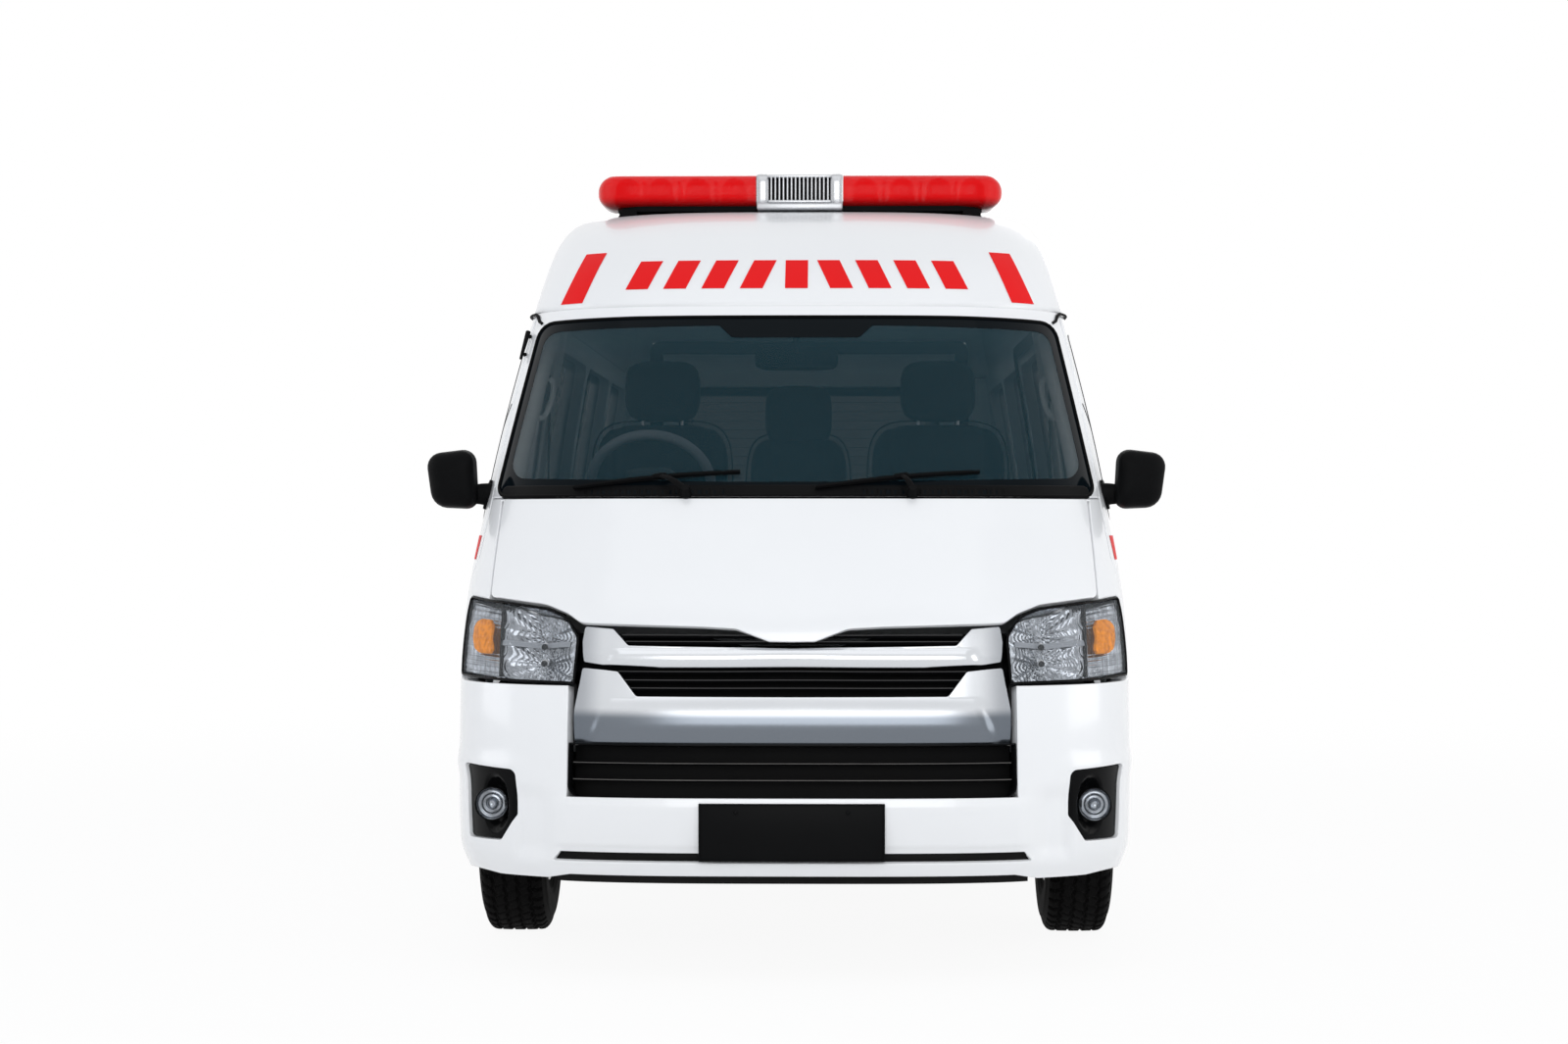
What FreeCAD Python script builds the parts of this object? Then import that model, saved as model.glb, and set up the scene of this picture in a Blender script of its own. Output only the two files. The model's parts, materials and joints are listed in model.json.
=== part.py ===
"""High-roof van ambulance, right-hand drive, as an assembly of separate panels, running gear and cabin pieces.

Row frame: +X is the vehicle's left, -Y is forward, +Z is up. The origin is on the ground, midway along the
length, on the plane of symmetry. Millimetres throughout. Along the vehicle, places are written as a distance
behind the nose ("s"), which becomes Y = s - length / 2.
"""
import FreeCAD, Part
import math
import os
import re

import Sketcher

doc = FreeCAD.newDocument("ambulance")
V = FreeCAD.Vector

# ---------------------------------------------------------------- driving dimensions

SIZES = [
    ("length", 5380, "overall length"),
    ("width", 1880, "width over the body sides"),
    ("wheelbase", 3110, "front axle to rear axle"),
    ("nose_to_axle", 1015, "front overhang"),
    ("track_width", 1655, "between wheel centre planes"),
    ("tyre_radius", 345, "195R15 tyre, outside radius"),
    ("tyre_width", 196, "tyre section width"),
    ("bead_radius", 196, "where the tyre sits on the rim"),
    ("spindle_radius", 25, "stub axles"),
    ("arch_radius", 415, "wheel arch openings"),
    ("kingpin_x", 745, "steering axis from the centre plane"),
    ("wall", 50, "thickness of a door or body wall"),
    ("gap", 8, "shut line between panels"),
    ("hood_thickness", 22, "along the vehicle"),
    ("roof_line", 1868, "top of the doors, where the high roof starts"),
    ("door_front", 550, "front edge of the front doors"),
    ("door_rear", 1636, "rear edge of the front doors"),
    ("door_bottom", 420, "lower edge of the doors"),
    ("sill_bottom", 300, "lower edge of the body sides"),
    ("slide_front", 1700, "front edge of the sliding door"),
    ("slide_rear", 2930, "rear edge of the sliding door"),
    ("belt", 1225, "lower edge of the side windows"),
    ("window_top", 1800, "upper edge of the side windows"),
    ("bumper_end", 592, "where the front bumper meets the arch"),
    ("bumper_top", 782, "upper edge of the front bumper"),
    ("lip", 248, "lowest edge of the front bumper"),
    ("grille_half", 612, "half width of the grille opening"),
    ("gate_half", 700, "half width of the tailgate opening"),
    ("gate_bottom", 626, "lower edge of the tailgate"),
    ("gate_top", 2030, "upper edge of the tailgate opening"),
    ("load_floor", 640, "top of the load floor"),
    ("cab_deck", 820, "top of the deck under the front seats"),
    ("footwell", 600, "top of the footwell floor"),
    ("panel", 20, "thickness of the floor sheets"),
    ("rail_in", 420, "inner face of a frame rail"),
    ("rail_out", 490, "outer face of a frame rail"),
    ("rail_low", 420, "underside of a frame rail"),
    ("rail_high", 550, "top of a frame rail"),
    ("bar_front", 1712, "front of the roof light bar"),
    ("bar_rear", 1988, "rear of the roof light bar"),
    ("bar_low", 2257, "underside of the light bar's lenses"),
    ("bar_high", 2372, "top of the light bar's lenses"),
    ("bar_half", 655, "half length of the light bar"),
    ("speaker_half", 142, "half width of the light bar's middle"),
]

sheet = doc.addObject("Spreadsheet::Sheet", "Sizes")
for row, (alias, value, note) in enumerate(SIZES, start=1):
    sheet.set(f"A{row}", alias)
    sheet.set(f"B{row}", str(value))
    sheet.set(f"C{row}", note)
    sheet.setAlias(f"B{row}", alias)
doc.recompute()


class Sizes:
    """The sheet's values as plain numbers, for the shapes that are worked out in code."""


size = Sizes()
for alias, _, _ in SIZES:
    setattr(size, alias, float(sheet.get(alias)))
ALIASES = re.compile(r"\b(" + "|".join(alias for alias, _, _ in SIZES) + r")\b")


def bind(obj, prop, text):
    """Binds a property to an expression in the sheet's aliases."""
    obj.setExpression(prop, ALIASES.sub(r"Sizes.\1", str(text)))


def value(text):
    """The number that a sum of products of aliases and numbers stands for."""
    total = 0.0
    for sign, term in re.findall(r"([+-]?)\s*([^+-]+)", text.replace(" ", "")):
        product = 1.0
        for operator, factor in re.findall(r"([*/]?)([^*/]+)", term):
            number = getattr(size, factor) if factor[0].isalpha() else float(factor)
            product = product / number if operator == "/" else product * number
        total += -product if sign == "-" else product
    return total


# ---------------------------------------------------------------- helpers for features

def box(name, x, s, z):
    """A block between two expressions along each of X, the distance behind the nose, and Z."""
    block = doc.addObject("Part::Box", name)
    for prop, (low, high) in (("Length", x), ("Width", s), ("Height", z)):
        bind(block, prop, f"({high}) - ({low})")
    bind(block, "Placement.Base.x", x[0])
    bind(block, "Placement.Base.y", f"({s[0]}) - length / 2")
    bind(block, "Placement.Base.z", z[0])
    return block


TURN = {
    "x": FreeCAD.Rotation(V(0, 1, 0), 90),
    "y": FreeCAD.Rotation(V(1, 0, 0), -90),
    "z": FreeCAD.Rotation(),
}


def cylinder(name, axis, radius, start, span):
    """A round bar along axis from start, which holds X, distance behind the nose and Z as expressions."""
    bar = doc.addObject("Part::Cylinder", name)
    bar.Placement = FreeCAD.Placement(V(0, 0, 0), TURN[axis])
    bind(bar, "Radius", radius)
    bind(bar, "Height", span)
    bind(bar, "Placement.Base.x", start[0])
    bind(bar, "Placement.Base.y", f"({start[1]}) - length / 2")
    bind(bar, "Placement.Base.z", start[2])
    return bar


def rounded(points):
    """The edges of a closed outline. A point may carry a corner radius as its third number."""
    corners = []
    count = len(points)
    for i, point in enumerate(points):
        here = V(point[0], point[1], 0)
        before = V(points[i - 1][0], points[i - 1][1], 0)
        after = V(points[(i + 1) % count][0], points[(i + 1) % count][1], 0)
        radius = point[2] if len(point) > 2 else 0
        if not radius:
            corners.append((here, None, here))
            continue
        back, on = (before - here).normalize(), (after - here).normalize()
        half = back.getAngle(on) / 2
        reach = radius / math.tan(half)
        centre = here + (back + on).normalize() * (radius / math.sin(half))
        middle = centre + (here - centre).normalize() * radius
        corners.append((here + back * reach, middle, here + on * reach))
    edges = []
    for i, (start, middle, end) in enumerate(corners):
        if middle is not None:
            edges.append(Part.Arc(start, middle, end))
        following = corners[(i + 1) % count][0]
        if (following - end).Length > 1e-6:
            edges.append(Part.LineSegment(end, following))
    return edges


def faceted(points, facets=3):
    """An outline whose rounded corners are each a few short straight runs."""
    result = []
    for i, (a, b, radius) in enumerate(points):
        here = V(a, b, 0)
        back = (V(points[i - 1][0], points[i - 1][1], 0) - here).normalize()
        on = (V(points[(i + 1) % len(points)][0], points[(i + 1) % len(points)][1], 0) - here).normalize()
        reach = radius / math.tan(back.getAngle(on) / 2)
        start, end = here + back * reach, here + on * reach
        for k in range(facets + 1):
            share = k / facets
            spot = start * (1 - share) ** 2 + here * (2 * share * (1 - share)) + end * share**2
            result.append((spot.x, spot.y))
    return result


# A view's sketch turns its local X and Y into: side view (distance along, height), front view (X, height), plan.
VIEWS = {
    "side": (FreeCAD.Rotation(V(1, 1, 1), 120), V(1, 0, 0)),
    "front": (FreeCAD.Rotation(V(1, 0, 0), 90), V(0, 1, 0)),
    "plan": (FreeCAD.Rotation(), V(0, 0, 1)),
}


def prism(name, view, points, low, high):
    """A sketched outline carried from low to high along the view's own direction."""
    turn, direction = VIEWS[view]
    half = size.length / 2
    sketch = doc.addObject("Sketcher::SketchObject", name + "_sketch")
    if view == "side":
        points = [(p[0] - half, *p[1:]) for p in points]
        start = V(value(low), 0, 0)
    elif view == "front":
        start = V(0, value(low) - half, 0)
    else:
        points = [(p[0], p[1] - half, *p[2:]) for p in points]
        start = V(0, 0, value(low))
    sketch.Placement = FreeCAD.Placement(start, turn)
    sketch.addGeometry(rounded(points), False)
    solid = doc.addObject("Part::Extrusion", name)
    solid.Base = sketch
    solid.DirMode = "Custom"
    solid.Dir = direction
    solid.Solid = True
    bind(solid, "LengthFwd", f"({high}) - ({low})")
    return solid


def fuse(name, *pieces):
    whole = doc.addObject("Part::MultiFuse", name)
    whole.Shapes = list(pieces)
    return whole


def gather(name, *pieces):
    """Pieces that don't touch, as the separate solids of one node."""
    whole = doc.addObject("Part::Compound", name)
    whole.Links = list(pieces)
    return whole


def common(name, first, second):
    both = doc.addObject("Part::Common", name)
    both.Base, both.Tool = first, second
    return both


def cut(name, base, *tools):
    """base without the tools."""
    rest = base
    for i, tool in enumerate(tools):
        last = i == len(tools) - 1
        left = doc.addObject("Part::Cut", name if last else f"{name}_{i}")
        left.Base, left.Tool = rest, tool
        rest = left
    return rest


def mirrored(name, source):
    """source on the other side of the plane of symmetry."""
    other = doc.addObject("Part::Mirroring", name)
    other.Source = source
    other.Normal = V(1, 0, 0)
    return other


def shifted(name, source, x=0, s=0, z=0):
    """A copy of a solid moved by plain distances."""
    if source.Shape.isNull():
        doc.recompute()
    moved = doc.addObject("Part::Feature", name)
    shape = source.Shape.copy()
    shape.translate(V(x, s, z))
    moved.Shape = shape
    return moved


NODES = {}


def node(name, obj):
    """Names the finished piece that becomes parts/NAME.step."""
    obj.Label = name
    NODES[name] = obj
    return obj


# ---------------------------------------------------------------- the body's outer and inner form

# Each row is one level outline of the body: height, nose (distance of its front behind the overall nose), half
# width, corner (length over which the front turns into the side), tail (distance of its rear behind the nose) and
# drop (how much lower the inner skin lies than the outer one there).
FORM_COLUMNS = ("height", "nose", "half", "corner", "tail", "drop")
FORM = [
    (248, 62, 884, 420, 5330, 0),
    (340, 28, 925, 440, 5362, 0),
    (480, 12, 940, 450, 5378, 0),
    (640, 18, 940, 450, 5380, 0),
    (800, 42, 940, 450, 5312, 0),
    (950, 80, 933, 475, 5300, 0),
    (1297, 360, 908, 540, 5265, 0),
    (1850, 860, 810, 520, 5180, 0),
    (2000, 1032, 778, 510, 5140, 8),
    (2100, 1215, 755, 480, 5085, 18),
    (2170, 1400, 733, 480, 5035, 32),
    (2210, 1560, 702, 480, 4990, 42),
    (2240, 1780, 640, 470, 4910, 50),
    (2264, 2150, 470, 430, 4680, 50),
    (2285, 2750, 170, 170, 4000, 50),
]
CORNER_POWER = 3.5
TAIL_CORNER = 130


def corner_point(share, half, start, depth):
    """A point of the rounded corner where it has reached a share of the half width."""
    turn = 1 - math.sqrt(1 - share**CORNER_POWER)
    return share * half, start + depth * turn


def level_outline(row, inward):
    """One level outline as front bow, corner, side, rear corner and rear, mirrored, drawn inward from the skin."""
    height, nose, half, corner, tail, drop = row
    height = height - (drop if inward else 0)
    nose = nose + 1.2 * inward
    half = half - inward
    tail = tail - inward
    bow, turn, side = (corner_point(k, half, nose, corner) for k in (0.7, 0.925, 1.0))
    tail_depth = min(TAIL_CORNER, half)
    rear_side, rear_turn, rear = (corner_point(k, half, tail, -tail_depth) for k in (1.0, 0.96, 0.85))
    shift = size.length / 2

    def at(point, mirror=1):
        return V(mirror * point[0], point[1] - shift, height)

    edges = [
        Part.Arc(at(bow, -1), at((0, nose)), at(bow)),
        Part.Arc(at(bow), at(turn), at(side)),
        Part.LineSegment(at(side), at(rear_side)),
        Part.Arc(at(rear_side), at(rear_turn), at(rear)),
        Part.Arc(at(rear), at((0, tail)), at(rear, -1)),
        Part.Arc(at(rear, -1), at(rear_turn, -1), at(rear_side, -1)),
        Part.LineSegment(at(rear_side, -1), at(side, -1)),
        Part.Arc(at(side, -1), at(turn, -1), at(bow, -1)),
    ]
    return Part.Wire([edge.toShape() for edge in edges])


def body_form(name, inward):
    """The whole body as a solid, lofted through its level outlines."""
    sections = []
    for i, row in enumerate(FORM):
        section = doc.addObject("Part::Feature", f"{name}_level_{i}")
        section.Shape = level_outline(row, inward)
        sections.append(section)
    form = doc.addObject("Part::Loft", name)
    form.Sections = sections
    form.Solid = True
    form.Ruled = True
    return form


outer = body_form("outer_form", 0)
inner = body_form("inner_form", size.wall)
doc.recompute()
front_layer = {
    depth: shifted(f"front_layer_{depth:g}", outer, s=depth)
    for depth in (4, 14, size.hood_thickness, 34, 46, 66, 70, 92)
}
side_layer = {
    (side, depth): shifted(f"{side}_layer_{depth}", outer, x=-sign * depth)
    for side, sign in (("left", 1), ("right", -1)) for depth in (5, 13)
}


def walled(name, region):
    """The part of the body's wall that lies inside a region."""
    return cut(name, common(name + "_block", outer, region), inner)


def front_sheet(name, points, near, far, reach="1300"):
    """A sheet that follows the nose, between two depths behind the outer form, inside a front-view outline."""
    outside = outer if near == 0 else front_layer[near]
    window = prism(name + "_window", "front", points, "-50", reach)
    return cut(name, common(name + "_front", outside, window), front_layer[far])


# ---------------------------------------------------------------- side and front view outlines

HALF = size.width / 2
BUMPER_OUTLINE = [  # side view; the rear edge is trimmed by the wheel arch
    (-50, size.lip), (size.bumper_end, size.lip), (600, 345), (790, 683), (640, size.bumper_top), (-50, size.bumper_top)
]
DOOR_FRONT_EDGE = [  # (distance behind the nose, height), up the front edge of a front door
    (size.door_front, size.bumper_top + size.gap),
    (size.door_front, 1120),
    (690, 1262),
    (1215, size.roof_line - 6),
]
DOOR_OUTLINE = DOOR_FRONT_EDGE + [
    (1588, size.roof_line - 6),
    (1624, size.roof_line - 42),
    (size.door_rear, 1200),
    (size.door_rear, size.door_bottom + 24),
    (size.door_rear - 24, size.door_bottom),
    (1400, size.door_bottom),
    (1015, 500),
    (795, 690),
    (644, size.bumper_top + size.gap),
]
DOOR_WINDOW = [
    (780, size.belt, 30),
    (1572, size.belt, 50),
    (1560, size.window_top, 60),
    (1222, size.window_top, 50),
]


def behind_door_front(forward):
    """Everything behind the front door's leading edge, moved forward by a shut line."""
    edge = [(s - forward, z) for s, z in DOOR_FRONT_EDGE]
    return [(edge[0][0], 200), *edge[:1], *edge[1:], (edge[-1][0], 2300), (5500, 2300), (5500, 200)]


WINDSHIELD = [(-838, 1345, 50), (838, 1345, 50), (775, 1842, 70), (-775, 1842, 70)]
HOOD_SIDE = 840
HOOD = [  # front view, right half from the middle of the lower edge outwards
    (0, 906),
    (112, 908),
    (236, 944),
    (604, 955),
    (650, 978),
    (730, 1004),
    (HOOD_SIDE, 1021),
    (HOOD_SIDE, 1290),
]
HEADLIGHT = [(610, 790, 8), (606, 920, 20), (648, 966, 40), (735, 993), (960, 1018), (960, 796)]


def both_halves(points):
    """A right-half outline that starts on the centre line, closed with its mirror image."""
    return points + [(-x, z) for x, z in reversed(points[1:])]


def grown(points, by, about):
    """An outline pushed outward from a point by a small shut line."""
    cx, cz = about
    result = []
    for x, z, *radius in points:
        result.append((x + math.copysign(by, x - cx), z + math.copysign(by, z - cz), *radius))
    return result


# ---------------------------------------------------------------- nose

def arch_cutter(name, axle):
    return cylinder(name, "x", "arch_radius", ("-width", axle, "tyre_radius"), "2 * width")


front_arches = arch_cutter("front_arches", "nose_to_axle")
rear_arches = arch_cutter("rear_arches", "nose_to_axle + wheelbase")


def build_bumper():
    region = prism("bumper_region", "side", BUMPER_OUTLINE, "-width", "width")
    opening = box("grille_opening", ("-grille_half", "grille_half"), ("-50", "400"), ("500", "bumper_top + 50"))
    slot = box("air_slot", ("-640", "640"), ("-50", "300"), ("314", "341"))
    eyes = []
    for side in (-1, 1):
        outline = [(752, 432, 12), (796, 354, 12), (896, 350, 8), (901, 560, 8), (752, 552, 18)]
        outline = [(side * x, z, r) for x, z, r in outline]
        eyes.append(prism(f"fog_recess_{side + 1}", "front", outline, "-50", "420"))
    node("front_bumper", cut("front_bumper", walled("bumper_ring", region), opening, slot, front_arches, *eyes))


def build_fog_lights():
    """A black bezel in each recess of the bumper, with the lamp's barrel through it."""
    lamps = []
    for side in (-1, 1):
        bezel_outline = [(758, 434, 10), (800, 360, 10), (890, 356, 6), (895, 554, 6), (758, 546, 16)]
        bezel_outline = [(side * x, z, r) for x, z, r in bezel_outline]
        window = prism(f"fog_window_{side + 1}", "front", bezel_outline, "-50", "420")
        bezel = cut(f"fog_bezel_{side + 1}", common(f"fog_plate_{side + 1}", front_layer[34], window), front_layer[66])
        barrel = cylinder(f"fog_barrel_{side + 1}", "y", "44", (f"{side * 825}", "165", "457"), "100")
        lamps.append(fuse(f"fog_light_{side + 1}", bezel, barrel))
    node("fog_lights", gather("fog_lights", *lamps))


def build_headlights():
    left = walled("headlight_left", prism("headlight_window", "front", HEADLIGHT, "-50", "430"))
    node("headlights", gather("headlights", left, mirrored("headlight_right", left)))


def build_grille():
    """Two bright bars with swept ends, over a black slatted panel."""
    upper_bar = both_halves([(0, 832), (470, 832), (598, 850), (598, 930), (470, 940), (428, 897), (0, 897)])
    lower_bar = both_halves([(0, 644), (602, 644), (602, 842), (480, 824), (410, 762), (0, 762)])
    upper = front_sheet("grille_upper_bar", upper_bar, 0, 46)
    lower = front_sheet("grille_lower_bar", lower_bar, 0, 46)
    node("grille_bars", gather("grille_bars", upper, lower))
    panel = [(-602, 506, 20), (602, 506, 20), (602, 936), (240, 934), (120, 896), (-120, 896), (-240, 934), (-602, 936)]
    node("grille_panel", front_sheet("grille_panel", panel, 46, 66))


def build_hood():
    node("hood", front_sheet("hood", both_halves(HOOD), 0, size.hood_thickness, "760"))


def build_fenders():
    """The strips between hood, headlight and front door."""
    region = box("fender_region", ("0", "width"), ("-50", "700"), ("bumper_top + gap", "1290"))
    ring = walled("fender_ring", region)
    door_side = prism("fender_door_side", "side", behind_door_front(size.gap), "0", "width")
    hood_side = box("fender_hood_side", ("0", f"{HOOD_SIDE + 6}"), ("-50", "900"), ("700", "1400"))
    lamp = prism("fender_lamp_side", "front", grown(HEADLIGHT, 5, (800, 900)), "-50", "436")
    left = cut("fender_left", ring, door_side, hood_side, lamp)
    node("fenders", gather("fenders", left, mirrored("fender_right", left)))


def build_windscreen_frame():
    """Windscreen pillars and header, with the cowl set back under the glass."""
    region = box("frame_region", ("-width", "width"), ("-50", "1330"), ("1297", "roof_line - 2"))
    ring = walled("frame_ring", region)
    door_side = prism("frame_door_side", "side", behind_door_front(size.gap), "-width", "width")
    opening = [(-838, 1345, 50), (838, 1345, 50), (775, 1842, 70), (-775, 1842, 70)]
    glass_opening = prism("frame_opening", "front", opening, "-50", "1250")
    low_front = box("cowl_recess", ("-820", "820"), ("-50", "700"), ("1290", "1400"))
    pillars = cut("frame_pillars", ring, door_side, glass_opening, low_front)
    cowl_outline = [(-800, 1298), (800, 1298), (800, 1312), (760, 1341), (-760, 1341), (-800, 1312)]
    cowl = front_sheet("cowl", cowl_outline, 34, 66, "760")
    node("windscreen_frame", pillars)
    node("cowl", cowl)


def build_windshield():
    node("windshield", front_sheet("windshield", WINDSHIELD, 4, 14))


# ---------------------------------------------------------------- roof and sides

def gate_opening():
    return box("gate_opening", ("-gate_half", "gate_half"), ("4700", "length + 100"), ("gate_bottom - 10", "gate_top"))


def build_roof():
    region = box("roof_region", ("-width", "width"), ("-50", "length + 50"), ("roof_line", "2400"))
    node("roof", cut("roof", walled("roof_shell", region), gate_opening()))


# Side windows behind the front doors: side, front edge, rear edge. The left one at the front is in the sliding door.
SIDE_WINDOWS = [
    ("left", 3010, 3900),
    ("left", 3990, 4930),
    ("right", 1790, 2840),
    ("right", 2930, 3900),
    ("right", 3990, 4930),
]
SLIDE_WINDOW = (1790, 2840)


def window_outline(front, rear, grow=0):
    low, high, radius = size.belt - grow, size.window_top + grow, 60
    return [(front - grow, low, radius), (rear + grow, low, radius),
            (rear + grow, high, radius), (front - grow, high, radius)]


def side_span(side):
    """The X limits of a cutter that reaches through one side only."""
    return ("300", "width") if side == "left" else ("-width", "-300")


def side_sheet(name, side, points):
    """A glass that follows one side of the body, a little under the outer form."""
    window = prism(name + "_window", "side", points, *side_span(side))
    return cut(name, common(name + "_pane", side_layer[side, 5], window), side_layer[side, 13])


LAMP_REAR = [(716, 760), (960, 760), (960, 1190), (716, 1190)]


def build_side(side):
    sign = 1 if side == "left" else -1
    low, high = side_span(side)
    outline = [(1440, size.sill_bottom), (1440, size.door_bottom - size.gap),
               (size.door_rear + size.gap, size.door_bottom - size.gap),
               (size.door_rear + size.gap, size.roof_line - 2), (5600, size.roof_line - 2), (5600, size.sill_bottom)]
    region = prism(f"side_region_{side}", "side", outline, low, high)
    bumper_zone = box(f"side_bumper_zone_{side}", ("-width", "width"), ("5042", "5600"), ("200", "gate_bottom - 4"))
    lamp = [(sign * x, z) for x, z in grown(LAMP_REAR, 3, (840, 975))]
    lamp_cutter = prism(f"side_lamp_{side}", "front", lamp, "5086", "5600")
    cutters = [gate_opening(), bumper_zone, lamp_cutter, rear_arches, front_arches]
    for window_side, front, rear in SIDE_WINDOWS:
        if window_side == side:
            cutters.append(prism(f"side_window_{side}_{front}", "side", window_outline(front, rear), low, high))
    if side == "left":
        opening = [(size.slide_front - size.gap, 402), (size.slide_rear + size.gap, 402),
                   (size.slide_rear + size.gap, size.roof_line + 10), (size.slide_front - size.gap, size.roof_line + 10)]
        cutters.append(prism("slide_opening", "side", opening, low, high))
    shell = walled(f"side_shell_{side}", region)
    node(f"side_panel_{side}", cut(f"side_panel_{side}", shell, *cutters))


def build_side_glass():
    panes = [
        side_sheet(f"side_pane_{i}", side, window_outline(front, rear, -2))
        for i, (side, front, rear) in enumerate(SIDE_WINDOWS)
    ]
    node("side_glass", gather("side_glass", *panes))


def build_sliding_door():
    outline = [(size.slide_front, size.door_bottom - 10, 30), (size.slide_rear, size.door_bottom - 10, 30),
               (size.slide_rear, size.roof_line - 8, 60), (size.slide_front, size.roof_line - 8, 60)]
    region = prism("slide_region", "side", outline, "300", "width")
    pane = prism("slide_window", "side", window_outline(*SLIDE_WINDOW), "300", "width")
    node("sliding_door", cut("sliding_door", walled("slide_shell", region), pane))
    node("sliding_door_glass", side_sheet("sliding_door_glass", "left", window_outline(*SLIDE_WINDOW, -2)))


def build_front_doors():
    region = prism("door_region", "side", DOOR_OUTLINE, "300", "width")
    pane = prism("door_window", "side", DOOR_WINDOW, "300", "width")
    arch = cylinder("door_arch", "x", "arch_radius + 4", ("0", "nose_to_axle", "tyre_radius"), "width")
    left = node("front_door_left", cut("front_door_left", walled("door_shell", region), pane, arch))
    node("front_door_right", mirrored("front_door_right", left))
    smaller = faceted([(s + (4 if s < 1400 else -4), z + (2 if z < 1500 else -2), r + 14) for s, z, r in DOOR_WINDOW])
    glass = node("door_glass_left", side_sheet("door_glass_left", "left", smaller))
    node("door_glass_right", mirrored("door_glass_right", glass))


def build_mirrors():
    """Door mirrors: a deep rounded housing on an arm that grips the door's front corner."""
    housing = prism("mirror_housing", "front", [(932, 1258, 30), (1062, 1268, 45), (1082, 1425, 40), (940, 1437, 35)],
                    "706", "800")
    arm = prism("mirror_arm", "front", [(860, 1272), (960, 1290), (960, 1340), (860, 1340)], "760", "800")
    left = node("mirror_left", cut("mirror_left", fuse("mirror_blank", housing, arm), outer))
    node("mirror_right", mirrored("mirror_right", left))


# ---------------------------------------------------------------- tail

def build_tail():
    gate_region = box("gate_region", ("8 - gate_half", "gate_half - 8"), ("4800", "length + 100"),
                      ("gate_bottom", "gate_top - 10"))
    gate_window = prism("gate_window", "front", [(-600, 1230, 60), (600, 1230, 60), (580, 1835, 70), (-580, 1835, 70)],
                        "4800", "5600")
    node("tailgate", cut("tailgate", walled("gate_shell", gate_region), gate_window))
    pane = prism("gate_pane", "front", [(-598, 1232, 60), (598, 1232, 60), (578, 1833, 70), (-578, 1833, 70)],
                 "4800", "5600")
    near, far = shifted("gate_near", outer, s=-5), shifted("gate_far", outer, s=-13)
    node("tailgate_glass", cut("tailgate_glass", common("gate_glass_pane", near, pane), far))
    node("rear_plate", prism("rear_plate", "side", [(5310, 840), (5320, 840), (5310, 958), (5300, 958)], "-235", "235"))
    bumper_region = box("rear_bumper_region", ("-width", "width"), ("5050", "5600"), ("sill_bottom", "gate_bottom - 11"))
    node("rear_bumper", walled("rear_bumper", bumper_region))
    left = walled("tail_lamp_left", prism("tail_lamp_window", "front", LAMP_REAR, "5090", "5600"))
    node("tail_lights", gather("tail_lights", left, mirrored("tail_lamp_right", left)))


# ---------------------------------------------------------------- roof light bar, plate, wipers

def build_light_bar():
    tray = box("bar_tray", ("40 - bar_half", "bar_half - 40"), ("bar_front + 12", "bar_rear - 12"),
               ("bar_low - 16", "bar_low"))
    feet = []
    for side in (-1, 1):
        outline = [(side * 525, 2120), (side * 610, 2120), (side * 578, 2247), (side * 538, 2247)]
        feet.append(prism(f"bar_foot_{side + 1}", "front", outline, "bar_front + 30", "bar_rear - 30"))
    node("light_bar_base", cut("light_bar_base", fuse("bar_blank", tray, *feet), outer))
    outline = [(size.speaker_half, size.bar_low), (size.bar_half, size.bar_low, 50),
               (size.bar_half, size.bar_high, 55), (size.speaker_half, size.bar_high)]
    lens = prism("lens_blank", "front", outline, "bar_front", "bar_rear")
    ends = prism("lens_ends", "plan", [(0, size.bar_front), (size.bar_half, size.bar_front, 130),
                                       (size.bar_half, size.bar_rear, 130), (0, size.bar_rear)],
                 "bar_low - 5", "bar_high + 5")
    left = common("light_bar_lens_left", lens, ends)
    node("light_bar_lenses", gather("light_bar_lenses", left, mirrored("light_bar_lens_right", left)))
    node("light_bar_speaker", box("light_bar_speaker", ("1 - speaker_half", "speaker_half - 1"),
                                  ("bar_front - 6", "bar_rear + 6"), ("bar_low", "bar_high + 4")))


def build_front_plate():
    node("front_plate", box("front_plate", ("-248", "248"), ("0", "11"), ("322", "476")))


# Wipers in the front view: outer end and inner end of the blade, then the spindle, as (X, height).
WIPERS = [((-560, 1352), (-150, 1392), (-330, 1330)), ((60, 1352), (470, 1392), (300, 1330))]


def build_wipers():
    """Each wiper is a flat sheet just clear of the glass: the blade and its arm down to the cowl."""
    sheets = []
    near, far = shifted("wiper_near", outer, s=-16), shifted("wiper_far", outer, s=-3)
    for i, (low, high, foot) in enumerate(WIPERS):
        middle = ((low[0] + high[0]) / 2, (low[1] + high[1]) / 2)
        blade = [(low[0], low[1] - 7), (high[0], high[1] - 7), (high[0], high[1] + 7), (low[0], low[1] + 7)]
        arm = [(foot[0] - 12, foot[1] + 14), (foot[0] + 12, foot[1] + 14), (middle[0] + 9, middle[1]),
               (middle[0] - 9, middle[1])]
        shape = fuse(f"wiper_outline_{i}", prism(f"wiper_blade_{i}", "front", blade, "-50", "760"),
                     prism(f"wiper_arm_{i}", "front", arm, "-50", "760"))
        sheets.append(cut(f"wiper_{i}", common(f"wiper_sheet_{i}", near, shape), far))
    node("wipers", gather("wipers", *sheets))


# ---------------------------------------------------------------- floor, frame and running gear

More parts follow.
